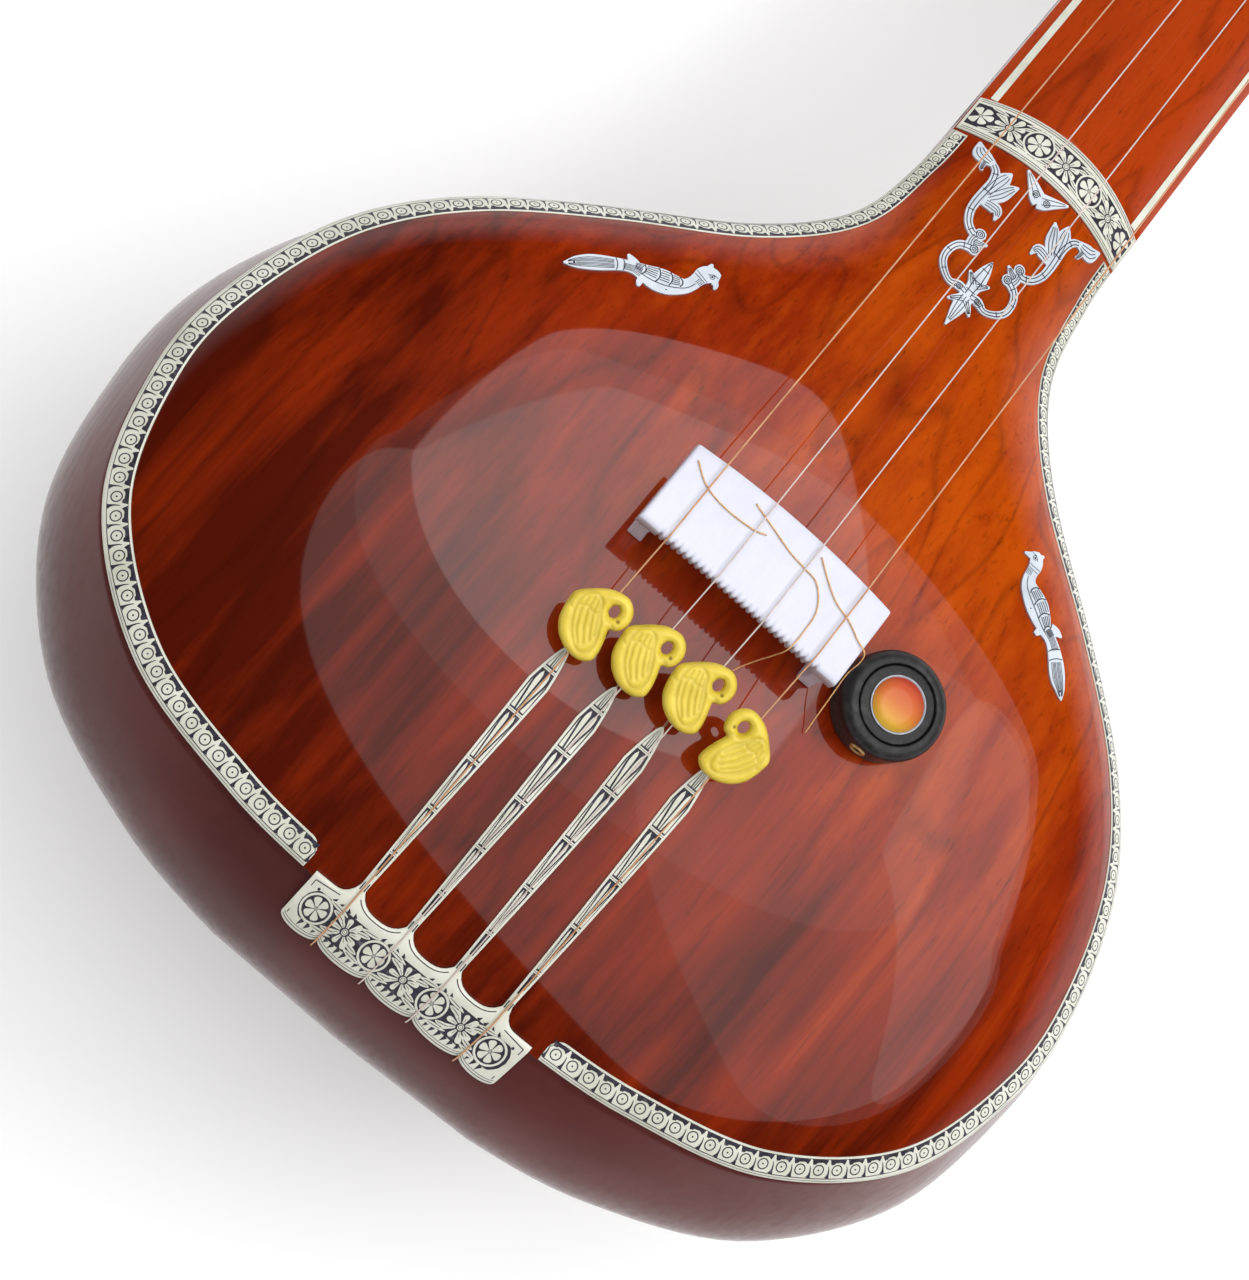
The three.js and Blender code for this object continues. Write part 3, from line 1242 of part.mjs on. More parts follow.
// Javari threads: fine cotton laid under the strings on the bridge, with loose ends. Each row is
// across the bridge's half width, along its depth from the front edge, and up its height, where 1 is
// laid on top.
const threadZ = BRIDGE_TOP + GAP + THREAD_RADIUS;
function freeThread(name, routeShares) {
  const path = new THREE.CatmullRomCurve3(routeShares.map(([across, along, up]) => new THREE.Vector3(
    across * BRIDGE_HALF_WIDTH,
    BRIDGE_FRONT_Y + along * BRIDGE_DEPTH,
    up * threadZ,
  )));
  const shape = new THREE.Shape();
  shape.absarc(0, 0, THREAD_RADIUS, 0, 2 * Math.PI);
  const steps = Math.round(THREAD_STEPS_SHARE * path.getLength() / THREAD_RADIUS);
  const geometry = new THREE.ExtrudeGeometry(shape, { extrudePath: path, steps, curveSegments: 4 });
  piece(name, geometry, 0xc79a5a, 0.8, 0);
}
const threadOneShares = [
  [-0.927, 0.84, 1], [-0.765, 0.7, 1], [-0.57, 0.647, 1], [-0.354, 0.653, 1], [-0.228, 0.68, 1],
  [-0.152, 0.72, 1],
];
const threadTwoShares = [
  [-0.367, 0.9, 1], [-0.119, 0.813, 1], [0.076, 0.747, 1], [0.228, 0.72, 1], [0.38, 0.687, 1],
  [0.516, 0.467, 1], [0.539, 0.2, 1], [0.532, -0.033, 0.983], [0.506, -0.107, 0.8],
  [0.473, -0.16, 0.588], [0.425, -0.267, 0.466], [0.39, -0.367, 0.442],
];
const threadThreeShares = [
  [0.291, 0.933, 1], [0.415, 0.813, 1], [0.587, 0.673, 1], [0.777, 0.6, 1], [0.911, 0.513, 1],
  [1.018, 0.453, 1], [1.048, 0.387, 0.941], [1.053, 0.267, 0.812], [1.096, 0.007, 0.659],
  [1.144, -0.25, 0.494], [1.162, -0.353, 0.438],
];
freeThread('javari_thread_1', threadOneShares);
freeThread('javari_thread_2', threadTwoShares);
freeThread('javari_thread_3', threadThreeShares);

// Contact pickup: a round case with a recessed cap, a label in a metal ring, and a socket in its side
const pickupPlace = new THREE.Object3D();
{
  const step = GAP;
  const slope = (boardTop(PICKUP_X + step, PICKUP_Y) - boardTop(PICKUP_X - step, PICKUP_Y)) / (2 * step);
  pickupPlace.position.set(PICKUP_X, PICKUP_Y, boardTop(PICKUP_X, PICKUP_Y) + 2 * GAP);
  const normal = new THREE.Vector3(-slope, 0, 1).normalize();
  pickupPlace.quaternion.setFromUnitVectors(new THREE.Vector3(0, 0, 1), normal);
}

function turned(profile, sides) {
  const corners = profile.map(([out, up]) => new THREE.Vector2(out, up));
  const geometry = new THREE.LatheGeometry(corners, sides);
  geometry.rotateX(Math.PI / 2);
  return geometry;
}
const capBottom = PICKUP_HEIGHT - CAP_RECESS;
const caseBody = solid(turned([
  [0, 0],
  [PICKUP_RADIUS, 0],
  [PICKUP_RADIUS, PICKUP_HEIGHT - PICKUP_ROUND],
  [PICKUP_TOP_RADIUS, PICKUP_HEIGHT],
  [CAP_RADIUS + GAP, PICKUP_HEIGHT],
  [CAP_RADIUS + GAP, capBottom - GAP],
  [0, capBottom - GAP],
], 32));
const socketZ = PICKUP_HEIGHT * SOCKET_HEIGHT_SHARE;
const socketFrom = new THREE.Vector3(0, -PICKUP_RADIUS + SOCKET_LENGTH - SOCKET_OUT, socketZ);
const socketTo = new THREE.Vector3(0, -PICKUP_RADIUS - SOCKET_OUT, socketZ);
const [roomFrom, roomTo] = stretched(socketFrom, socketTo, GAP, CUT_OVERRUN);
const socketRoom = solid(bar(roomFrom, roomTo, SOCKET_RADIUS + GAP, SOCKET_RADIUS + GAP, 12));
const dark = 0x2b2b2b;
piece('pickup_case', geometryOf(cut(caseBody, socketRoom)), dark, 0.5, 0, pickupPlace);
piece('pickup_cap', geometryOf(solid(turned([
  [0, capBottom], [CAP_RADIUS, capBottom], [CAP_RADIUS, PICKUP_HEIGHT - GAP], [0, PICKUP_HEIGHT - GAP],
], 24))), dark, 0.5, 0, pickupPlace);
piece('pickup_ring', geometryOf(solid(turned([
  [LABEL_RADIUS + GAP, PICKUP_HEIGHT], [RING_RADIUS, PICKUP_HEIGHT],
  [RING_RADIUS, PICKUP_HEIGHT + LABEL_THICKNESS], [LABEL_RADIUS + GAP, PICKUP_HEIGHT + LABEL_THICKNESS],
  [LABEL_RADIUS + GAP, PICKUP_HEIGHT],
], 24))), 0xc9ccd0, 0.25, 1, pickupPlace);
piece('pickup_label', geometryOf(solid(turned([
  [0, PICKUP_HEIGHT], [LABEL_RADIUS, PICKUP_HEIGHT], [LABEL_RADIUS, PICKUP_HEIGHT + LABEL_THICKNESS / 2],
  [0, PICKUP_HEIGHT + LABEL_THICKNESS / 2],
], 24))), 0xe08a2a, 0.3, 0, pickupPlace);
const socketTube = solid(bar(socketFrom, socketTo, SOCKET_RADIUS, SOCKET_RADIUS, 12));
const [boreFrom, boreTo] = stretched(socketFrom, socketTo, CUT_OVERRUN, CUT_OVERRUN);
const socketBore = solid(bar(boreFrom, boreTo, SOCKET_BORE, SOCKET_BORE, 12));
piece('pickup_socket', geometryOf(cut(socketTube, socketBore)), 0xc9a14a, 0.3, 1, pickupPlace);

// At rest the instrument lies on its back, on the gourd and on the end of the neck.
const freeNodes = new Set(['javari_thread_1', 'javari_thread_2', 'javari_thread_3']);
function lowestPair() {
  const points = [];
  const at = new THREE.Vector3();
  for (const mesh of instrument.children) {
    mesh.updateMatrixWorld(true);
    const positions = mesh.geometry.attributes.position;
    for (let i = 0; i < positions.count; i += 1) {
      at.fromBufferAttribute(positions, i).applyMatrix4(mesh.matrixWorld);
      points.push([at.y, at.z]);
    }
  }
  const neckSide = points.filter(([y]) => y > THROAT_END_Y);
  const bodySide = points.filter(([y]) => y < GOURD_JOINT_Y);
  const low = (list, angle) => list.reduce((best, [y, z]) => (
    Math.min(best, z * Math.cos(angle) + y * Math.sin(angle))
  ), Infinity);
  const widest = Math.PI / 8;
  let tilt = -widest / 2;
  let step = widest / 2;
  for (let i = 0; i < 40; i += 1) {
    step /= 2;
    tilt += low(neckSide, tilt) > low(bodySide, tilt) ? -step : step;
  }
  return tilt;
}
const restTilt = lowestPair();
console.log(`rest tilt ${(restTilt * 180 / Math.PI).toFixed(3)} degrees`);
for (const mesh of instrument.children) {
  const turn = new THREE.Quaternion().setFromAxisAngle(new THREE.Vector3(1, 0, 0), restTilt);
  mesh.position.applyQuaternion(turn);
  mesh.quaternion.premultiply(turn);
}
instrument.updateMatrixWorld(true);
const bounds = new THREE.Box3();
for (const mesh of instrument.children) {
  if (!freeNodes.has(mesh.name)) {
    bounds.expandByObject(mesh, true);
  }
}
const shift = bounds.getCenter(new THREE.Vector3()).setZ(bounds.min.z);
for (const mesh of instrument.children) {
  mesh.position.sub(shift);
}
console.log(`shift ${shift.toArray().map((value) => value.toFixed(3)).join(' ')}`);

export default instrument;
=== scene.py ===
# A four-string tanpura on its back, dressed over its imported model.
import json
import math

import bmesh
import bpy
import numpy as np
from mathutils import Matrix, Vector
from mathutils.geometry import delaunay_2d_cdt


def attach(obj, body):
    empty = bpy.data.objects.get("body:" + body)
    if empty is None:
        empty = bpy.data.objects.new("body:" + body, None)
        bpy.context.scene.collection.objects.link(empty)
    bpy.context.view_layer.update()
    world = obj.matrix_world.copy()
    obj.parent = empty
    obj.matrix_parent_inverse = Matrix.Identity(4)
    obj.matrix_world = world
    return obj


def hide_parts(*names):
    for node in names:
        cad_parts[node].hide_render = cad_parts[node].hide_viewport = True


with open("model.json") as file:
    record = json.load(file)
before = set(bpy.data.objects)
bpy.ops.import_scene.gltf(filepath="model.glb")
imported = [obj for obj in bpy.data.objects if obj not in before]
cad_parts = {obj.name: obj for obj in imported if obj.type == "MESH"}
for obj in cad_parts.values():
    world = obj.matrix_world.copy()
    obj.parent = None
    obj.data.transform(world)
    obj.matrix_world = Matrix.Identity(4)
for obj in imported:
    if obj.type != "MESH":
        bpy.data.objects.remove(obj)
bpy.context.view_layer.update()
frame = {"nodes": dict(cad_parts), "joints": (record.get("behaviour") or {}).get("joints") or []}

# How the instrument lies
# Everything is drawn flat, in millimetres: x across, y along the neck, z out of the soundboard, with
# height zero where the edging meets the wood. The pegs' axes in the model say how it lies at rest.
joints = {joint["name"]: joint for joint in frame["joints"]}
NECK_START_Y = 220.0
NECK_END_Y = 1088.0
EDGE_DROP = 6.2
THROAT_HALF_WIDTH = 38.5
NECK_END_HALF_WIDTH = 36.0
THROAT_DOME = 11.0
NECK_DROP = 5.0


def neck_share(y):
    """How far along the neck a place is, from 0 at the throat to 1 at its end."""
    return np.clip((y - NECK_START_Y) / (NECK_END_Y - NECK_START_Y), 0.0, 1.0)


def neck_half_width(y):
    """Half width of the neck, which tapers evenly."""
    return THROAT_HALF_WIDTH + (NECK_END_HALF_WIDTH - THROAT_HALF_WIDTH) * neck_share(y)


def neck_top(x, y):
    """Height of the neck's face: a parabola across it, dropping evenly towards the pegs."""
    across = np.clip(np.abs(x) / neck_half_width(y), 0.0, 1.0)
    return -EDGE_DROP + THROAT_DOME * (1.0 - across**2) - NECK_DROP * neck_share(y)


up_axis = np.array(joints["peg_2_turn"]["axis"])
LEAN = np.array([[1.0, 0.0, 0.0], [0.0, up_axis[2], up_axis[1]], [0.0, -up_axis[1], up_axis[2]]])
peg_foot = np.array([-10.0, 1026.0, float(neck_top(-10.0, 1026.0))])
SHIFT = np.array(joints["peg_2_turn"]["pos_m"]) - LEAN @ peg_foot / 1000.0


def lay(points):
    """Drawing points in millimetres turned by the lean, shifted, and given in metres."""
    return np.asarray(points, dtype=float) @ LEAN.T / 1000.0 + SHIFT


# Camera
# It stands over the tail on the left and looks down at the soundboard, as the photographer did.
CAMERA_PLACE = (-72.1, -158.9, 543.8)
CAMERA_AXES = np.array([[0.7545, 0.6090, 0.2446], [-0.6486, 0.7490, 0.1355], [-0.1007, -0.2609, 0.9601]])
FOCAL_SHARE = 1769.72 / 1249.0
SENSOR = 36.0

camera_data = bpy.data.cameras.new("photo_camera")
camera_data.sensor_fit = "HORIZONTAL"
camera_data.sensor_width = SENSOR
camera_data.lens = FOCAL_SHARE * SENSOR
camera_data.clip_start = 0.02
camera = bpy.data.objects.new("photo_camera", camera_data)
bpy.context.scene.collection.objects.link(camera)
turn = np.eye(4)
turn[:3, :3] = LEAN @ CAMERA_AXES.T
turn[:3, 3] = lay(CAMERA_PLACE)
camera.matrix_world = Matrix(turn.tolist())
bpy.context.scene.camera = camera


# Javari threads
# Fine cotton threads, laid between the strings and the bridge so that the strings buzz. They lie on the
# bridge, and their loose ends hang in front of it.
THREAD_RADIUS = 0.22
BRIDGE_TOP = 42.0
THREAD_Z = BRIDGE_TOP + 0.3 + THREAD_RADIUS
WELD_REACH = 1e-7


class Value:
    """A shader socket on which ordinary arithmetic adds Math nodes."""

    def __init__(self, tree, socket):
        self.tree = tree
        self.socket = socket

    def node(self, kind, outlet=0, settings=None, **inputs):
        """Any node: its settings first, then its sockets by name or by index written as i0, i1."""
        made = self.tree.nodes.new(kind)
        for key, value in (settings or {}).items():
            if key == "stops":
                ramp = made.color_ramp
                while len(ramp.elements) < len(value):
                    ramp.elements.new(0.5)
                for element, (place, tone) in zip(ramp.elements, value):
                    element.position = place
                    element.color = (*tone, 1.0)
            else:
                setattr(made, key, value)
        for key, value in inputs.items():
            place = int(key[1:]) if key[0] == "i" and key[1:].isdigit() else key.replace("_", " ")
            if isinstance(value, Value):
                self.tree.links.new(value.socket, made.inputs[place])
            else:
                made.inputs[place].default_value = value
        return Value(self.tree, made.outputs[outlet])

    def math(self, operation, *others, kind="ShaderNodeMath", outlet=0):
        """A Math node, or a Vector Math node, fed with this value and the others."""
        inputs = {f"i{i}": value for i, value in enumerate((self, *others))}
        return self.node(kind, outlet, {"operation": operation}, **inputs)

    def __add__(self, other):
        return self.math("ADD", other)

    __radd__ = __add__

    def __mul__(self, other):
        return self.math("MULTIPLY", other)

    __rmul__ = __mul__

    def __sub__(self, other):
        return self.math("SUBTRACT", other)

    def __rsub__(self, other):
        return (self * -1.0) + other

    def ramp(self, *stops):
        """A colour ramp. Each stop is its place and a screen colour, 0 to 255."""
        linear = [(place, colour(*parts)) for place, *parts in stops]
        return self.node("ShaderNodeValToRGB", settings={"stops": linear}, i0=self)

    def between(self, low, high, start=0.0, end=1.0):
        """This value mapped evenly from the range low to high to the range start to end, and held there."""
        return self.node("ShaderNodeMapRange", i0=self, i1=low, i2=high, i3=start, i4=end)

    def noise(self, scale, detail=3.0, roughness=0.5, outlet="Fac"):
        """Noise read at this vector."""
        inputs = {"Vector": self, "Scale": scale, "Detail": detail, "Roughness": roughness}
        return self.node("ShaderNodeTexNoise", outlet=outlet, **inputs)

    def stretched(self, scale, slant=0.0):
        """This vector scaled along each axis, then turned about z by the slant in radians."""
        return self.node("ShaderNodeMapping", Vector=self, Scale=scale, Rotation=(0.0, 0.0, slant))

    def part(self, axis):
        return self.node("ShaderNodeSeparateXYZ", outlet="XYZ".index(axis), i0=self)

    def blended(self, first, second):
        """The first tone where this mask is 0, and the second, a screen colour, where it is 1."""
        inputs = {"i0": self, "i6": first, "i7": (*colour(*second), 1.0)}
        return self.node("ShaderNodeMix", outlet=2, settings={"data_type": "RGBA"}, **inputs)

    def bumped(self, strength, distance):
        return self.node("ShaderNodeBump", Strength=strength, Distance=distance, Height=self)


def finish(name):
    """A material with one Principled shader: returns the material, the shader and the object position."""
    made = bpy.data.materials.new(name)
    made.use_nodes = True
    shader = made.node_tree.nodes["Principled BSDF"]
    place = made.node_tree.nodes.new("ShaderNodeTexCoord")
    return made, shader, Value(made.node_tree, place.outputs["Object"])


def feed(shader, **sockets):
    """Sets or links sockets of a shader by name, with underscores for spaces."""
    for name, value in sockets.items():
        socket = shader.inputs[name.replace("_", " ")]
        if isinstance(value, Value):
            value.tree.links.new(value.socket, socket)
        else:
            socket.default_value = value


def colour(red, green, blue):
    """A screen colour, 0 to 255, as linear light."""
    parts = np.array([red, green, blue]) / 255.0
    linear = np.where(parts <= 0.04045, parts / 12.92, ((parts + 0.055) / 1.055) ** 2.4)
    return tuple(linear.tolist())


def cotton():
    """Tan cotton: a little fuzz in the colour, and a finely rough surface."""
    made, shader, place = finish("thread_cotton")
    fuzz = place.noise(900.0, 2.0)
    feed(shader, Base_Color=fuzz.ramp((0.3, 196, 144, 88), (0.7, 230, 184, 126)))
    feed(shader, Roughness=0.85, Normal=place.noise(2500.0).bumped(0.4, 0.0001))
    return made


def smooth_path(points, steps):
    """A Catmull-Rom curve through the points, centripetal, sampled evenly by its parameter."""
    points = np.asarray(points, dtype=float)
    ahead = 2 * points[0] - points[1]
    behind = 2 * points[-1] - points[-2]
    full = np.vstack([ahead, points, behind])
    knots = np.concatenate([[0.0], np.cumsum(np.linalg.norm(np.diff(full, axis=0), axis=1) ** 0.5)])
    at = np.linspace(0.0, len(points) - 1 - 1e-9, steps)
    i = at.astype(int)
    t0, t1, t2, t3 = (knots[i + k][:, None] for k in range(4))
    t = t1 + (t2 - t1) * (at - i)[:, None]
    p0, p1, p2, p3 = (full[i + k] for k in range(4))
    a1 = (t1 - t) / (t1 - t0) * p0 + (t - t0) / (t1 - t0) * p1
    a2 = (t2 - t) / (t2 - t1) * p1 + (t - t1) / (t2 - t1) * p2
    a3 = (t3 - t) / (t3 - t2) * p2 + (t - t2) / (t3 - t2) * p3
    b1 = (t2 - t) / (t2 - t0) * a1 + (t - t0) / (t2 - t0) * a2
    b2 = (t3 - t) / (t3 - t1) * a2 + (t - t1) / (t3 - t1) * a3
    return (t2 - t) / (t2 - t1) * b1 + (t - t1) / (t2 - t1) * b2


def mesh_object(name, points, faces, material, smooth=True):
    """A piece from drawing points and faces, laid at rest, with its faces turned outwards."""
    mesh = bpy.data.meshes.new(name)
    mesh.from_pydata(lay(points).tolist(), [], [list(face) for face in faces])
    work = bmesh.new()
    work.from_mesh(mesh)
    bmesh.ops.remove_doubles(work, verts=work.verts, dist=WELD_REACH)
    bmesh.ops.recalc_face_normals(work, faces=work.faces)
    work.to_mesh(mesh)
    work.free()
    mesh.materials.append(material)
    mesh.polygons.foreach_set("use_smooth", [smooth] * len(mesh.polygons))
    mesh.update()
    made = bpy.data.objects.new(name, mesh)
    bpy.context.scene.collection.objects.link(made)
    return made


def ring_faces(stations, around, capped=True):
    """Quads between closed rings, and one face at each end."""
    a = np.arange(stations - 1)[:, None] * around + np.arange(around)[None, :]
    b = np.arange(stations - 1)[:, None] * around + (np.arange(around)[None, :] + 1) % around
    quads = np.stack([a, b, b + around, a + around], axis=-1).reshape(-1, 4).tolist()
    if capped:
        quads.append(list(range(around))[::-1])
        quads.append(list(range((stations - 1) * around, stations * around)))
    return quads


def ring_piece(name, rings, material, capped=True):
    """A closed piece through rings of points, station by station."""
    rings = np.asarray(rings)
    return mesh_object(name, rings.reshape(-1, 3), ring_faces(*rings.shape[:2], capped), material)


def wire_rings(path, radius, around):
    """Circles of the radius round a path, each square to it, turning as little as they can."""
    path = np.asarray(path, dtype=float)
    along = np.gradient(path, axis=0)
    along /= np.linalg.norm(along, axis=1)[:, None]
    side = np.cross(along[0], [0.3, 0.2, 1.0])
    sides = []
    for direction in along:
        side = side - direction * np.dot(side, direction)
        side /= np.linalg.norm(side)
        sides.append(side)
    sides = np.array(sides)
    lift = np.cross(along, sides)
    angle = np.linspace(0.0, 2 * math.pi, around, endpoint=False)[:, None]
    return path[:, None] + radius * (sides[:, None] * np.cos(angle) + lift[:, None] * np.sin(angle))


def wire_piece(name, path, radius, material, around=12):
    return ring_piece(name, wire_rings(path, radius, around), material)


def dress(made, node, body, slot):
    """A piece takes the place of a model node, where it has one, and rides on a body. The slot is not used.
    """
    if node:
        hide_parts(node)
    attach(made, body)


thread_finish = cotton()
thread_routes = {
    "javari_thread_1": [
        (-36.6, 35.2, THREAD_Z), (-30.2, 31.0, THREAD_Z), (-22.5, 29.4, THREAD_Z), (-14.0, 29.6, THREAD_Z),
        (-9.0, 30.4, THREAD_Z), (-6.0, 31.6, THREAD_Z),
    ],
    "javari_thread_2": [
        (-14.5, 37.0, THREAD_Z), (-4.7, 34.4, THREAD_Z), (3.0, 32.4, THREAD_Z), (9.0, 31.6, THREAD_Z),
        (15.0, 30.6, THREAD_Z), (20.4, 24.0, THREAD_Z), (21.3, 16.0, THREAD_Z),
        (21.0, 9.0, BRIDGE_TOP - THREAD_RADIUS), (20.0, 6.8, 34.0), (18.7, 5.2, 25.0), (16.8, 2.0, 19.8),
        (15.4, -1.0, 18.8),
    ],
    "javari_thread_3": [
        (11.5, 38.0, THREAD_Z), (16.4, 34.4, THREAD_Z), (23.2, 30.2, THREAD_Z), (30.7, 28.0, THREAD_Z),
        (36.0, 25.4, THREAD_Z), (40.2, 23.6, THREAD_Z), (41.4, 21.6, 40.0), (41.6, 18.0, 34.5),
        (43.3, 10.2, 28.0), (45.2, 2.5, 21.0), (45.9, -0.6, 18.6),
    ],
}
for name, route in thread_routes.items():
    path = smooth_path(route, 20 * len(route))
    thread = wire_piece(f"{name}_cotton", path, THREAD_RADIUS, thread_finish, 8)
    dress(thread, name, "body", "thread_cotton")
    tuple(lay(path[0]))
    [tuple(point) for point in lay(path)]


# Soundboard
# A thin board of toon wood, steamed or carved to a low dome, whose grain runs along the instrument. It
# is stained orange-brown, darker towards the edges, and has many coats of polished lacquer. Its colour is
# lightest about one place and darker away from it, partly real stain and partly painted light and reflection.
BOARD_HALF_WIDTH = 182.5
BOARD_LENGTH = 350.0
BOARD_TAIL_Y = -130.0
BOARD_MIDDLE_Y = -14.0
BOARD_DOME = 24.0
EDGE_THICKNESS = 3.0
SEAT_Z = -EDGE_DROP - EDGE_THICKNESS
OUTLINE_SHARES = np.array([
    (0.225, 0.0), (0.43, 0.01), (0.695, 0.046), (0.908, 0.134), (0.998, 0.257), (0.999, 0.36),
    (0.935, 0.477), (0.803, 0.573), (0.6, 0.663), (0.393, 0.744), (0.256, 0.83), (0.217, 0.925),
    (0.211, 1.0),
])
DOME_ROUND_SHARE = 0.25
DOME_EDGE_POWER = 9.0
DOME_TAIL_POWER = 1.6
DOME_FALL_START_SHARE = 0.25


def spline_run(p0, p1, p2, p3, w):
    """The uniform Catmull-Rom cubic from p1 to p2 at a share w, its slopes set by the points around."""
    v0 = (p2 - p0) / 2
    v1 = (p3 - p1) / 2
    return (2 * p1 - 2 * p2 + v0 + v1) * w**3 + (-3 * p1 + 3 * p2 - 2 * v0 - v1) * w**2 + v0 * w + p1


def spline_table(points, samples):
    """The curve of such cubics through the points, with the ends repeated, sampled by its parameter."""
    full = np.vstack([points[:1], points, points[-1:]])
    at = np.linspace(0.0, len(points) - 1 - 1e-9, samples + 1)
    i = at.astype(int)
    return spline_run(*(full[i + k] for k in range(4)), (at - i)[:, None])


OUTLINE_SAMPLES = 1200
outline_corners = OUTLINE_SHARES * [BOARD_HALF_WIDTH, BOARD_LENGTH] + [0.0, BOARD_TAIL_Y]
outline = spline_table(outline_corners, OUTLINE_SAMPLES)
outline_run = np.concatenate([[0.0], np.cumsum(np.linalg.norm(np.diff(outline, axis=0), axis=1))])
outline_length = outline_run[-1]
rising = np.maximum.accumulate(outline[:, 1]) + np.arange(len(outline)) * 1e-9


def half_width(y):
    """Half width of the soundboard, or of the neck beyond it."""
    return np.where(y < NECK_START_Y, np.interp(y, rising, outline[:, 0]), neck_half_width(y))


def eased(value):
    share = np.clip(value, 0.0, 1.0)
    return share * share * (3.0 - 2.0 * share)


# The dome follows a calmer copy of the half width, so that its reflections run without kinks. Near the
# tail and the throat the two are the same.
CALM_RUN = 23
CALM_FROM_TAIL = 20.0
CALM_FROM_THROAT = 8.0
CALM_EASE = 30.0
calm_y = np.arange(BOARD_TAIL_Y, NECK_START_Y + 1.0)
calm_half = np.interp(calm_y, rising, outline[:, 0])
calm_window = np.hanning(2 * CALM_RUN + 1) / np.hanning(2 * CALM_RUN + 1).sum()
calm_mean = np.convolve(np.pad(calm_half, CALM_RUN, mode="edge"), calm_window, mode="valid")
off_tail = eased((calm_y - BOARD_TAIL_Y - CALM_FROM_TAIL) / CALM_EASE)
off_throat = eased((NECK_START_Y - CALM_FROM_THROAT - calm_y) / CALM_EASE)
calm_half += (calm_mean - calm_half) * off_tail * off_throat


def board_top(x, y):
    """Height of the soundboard: it falls with a mix of a square and a steep power across, and with a
    power towards the tail, and its crown eases down into the throat."""
    calm = np.where(y < BOARD_TAIL_Y + CALM_FROM_TAIL, half_width(y), np.interp(y, calm_y, calm_half))
    across = np.clip(np.abs(x) / calm, 0.0, 1.0)
    to_tail = np.clip((BOARD_MIDDLE_Y - y) / (BOARD_MIDDLE_Y - BOARD_TAIL_Y), 0.0, 1.0)
    fall_start = BOARD_MIDDLE_Y + (NECK_START_Y - BOARD_MIDDLE_Y) * DOME_FALL_START_SHARE
    to_throat = eased((y - fall_start) / (NECK_START_Y - fall_start))
    dome = BOARD_DOME + (THROAT_DOME - BOARD_DOME) * to_throat
    rounded = DOME_ROUND_SHARE + (1.0 - DOME_ROUND_SHARE) * to_throat
    fall = rounded * across**2 + (1.0 - rounded) * across**DOME_EDGE_POWER
    return -EDGE_DROP + dome * (1.0 - fall) * (1.0 - to_tail**DOME_TAIL_POWER)


def skin_top(x, y):
    """Soundboard and neck face as one skin."""
    return np.where(np.asarray(y) < NECK_START_Y, board_top(x, y), neck_top(x, y))


def lacquered_wood(name, light, middle, dark, grain_dark, stain_and_light_centre, reach):
    """Stained wood under clear lacquer. Long streaks of grain and fine pores darken a colour that is lightest
    about one place and deepens with the distance from it. This is partly a real stain darker towards the
    edges and partly a painted pool of light and reflection; broad clouds break it up."""
    made, shader, place = finish(name)
    wander = place.stretched((7.0, 3.0, 7.0)).noise(1.0, 2.0, outlet="Color")
    bent = wander.math("MULTIPLY_ADD", (0.02, 0.0, 0.0), place, kind="ShaderNodeVectorMath")
    figure = bent.stretched((27.0, 7.0, 27.0), slant=-0.1).noise(1.0, 3.0, 0.6)
    grain = bent.stretched((120.0, 3.5, 120.0), slant=-0.06).noise(1.0, 5.0, 0.62)
    rings = bent.stretched((30.0, 1.2, 30.0), slant=-0.06).noise(1.0, 1.0)
    pores = place.stretched((700.0, 30.0, 700.0)).noise(1.0, 3.0, 0.7)
    # Painted light: the colour is lightest about one place and darkens with the distance from it, partly a
    # real stain darker towards the edges and partly painted light and reflection.
    away = place.math("DISTANCE", stain_and_light_centre, kind="ShaderNodeVectorMath", outlet="Value")
    swing = away.between(0.1 * reach, reach, 0.45, 0.85)
    tone = (figure - 0.5) * swing + (grain - 0.5) * 0.8 + 0.82 - away.between(0.0, reach, 0.0, 0.8)
    stain = tone.ramp((0.05, *dark), (0.42, *middle), (0.78, *light))
    ring_lines = (rings * 7.0).math("PINGPONG", 0.5)
    streaks = ring_lines.between(0.12, 0.0) * 0.3 + pores.between(0.44, 0.3) * 0.35
    streaks = streaks + figure.between(0.4, 0.22) * swing * 0.22
    feed(shader, Base_Color=streaks.blended(stain, grain_dark))
    feed(shader, Roughness=pores.between(0.3, 0.7, 0.3, 0.42), Coat_Weight=1.0, Coat_Roughness=0.03)
    feed(shader, Coat_IOR=1.52, IOR=1.45, Specular_IOR_Level=0.05)
    orange_peel = place.noise(48.0, 2.0)
    feed(shader, Normal=orange_peel.bumped(0.05, 0.0006))
    return made


# The lighter place on the soundboard, and the darkening away from it, are partly painted light and
# reflection.
board_finish = lacquered_wood(
    "soundboard_lacquer",
    (172, 68, 2),
    (132, 36, 1),
    (72, 13, 1),
    (50, 9, 1),
    tuple(lay((70.0, 140.0, 10.0))),
    0.3,
)



def stacked(*parts):
    """Numbers and arrays stretched to one shape and set side by side, as the coordinates of points."""
    return np.stack(np.broadcast_arrays(*parts), axis=-1)


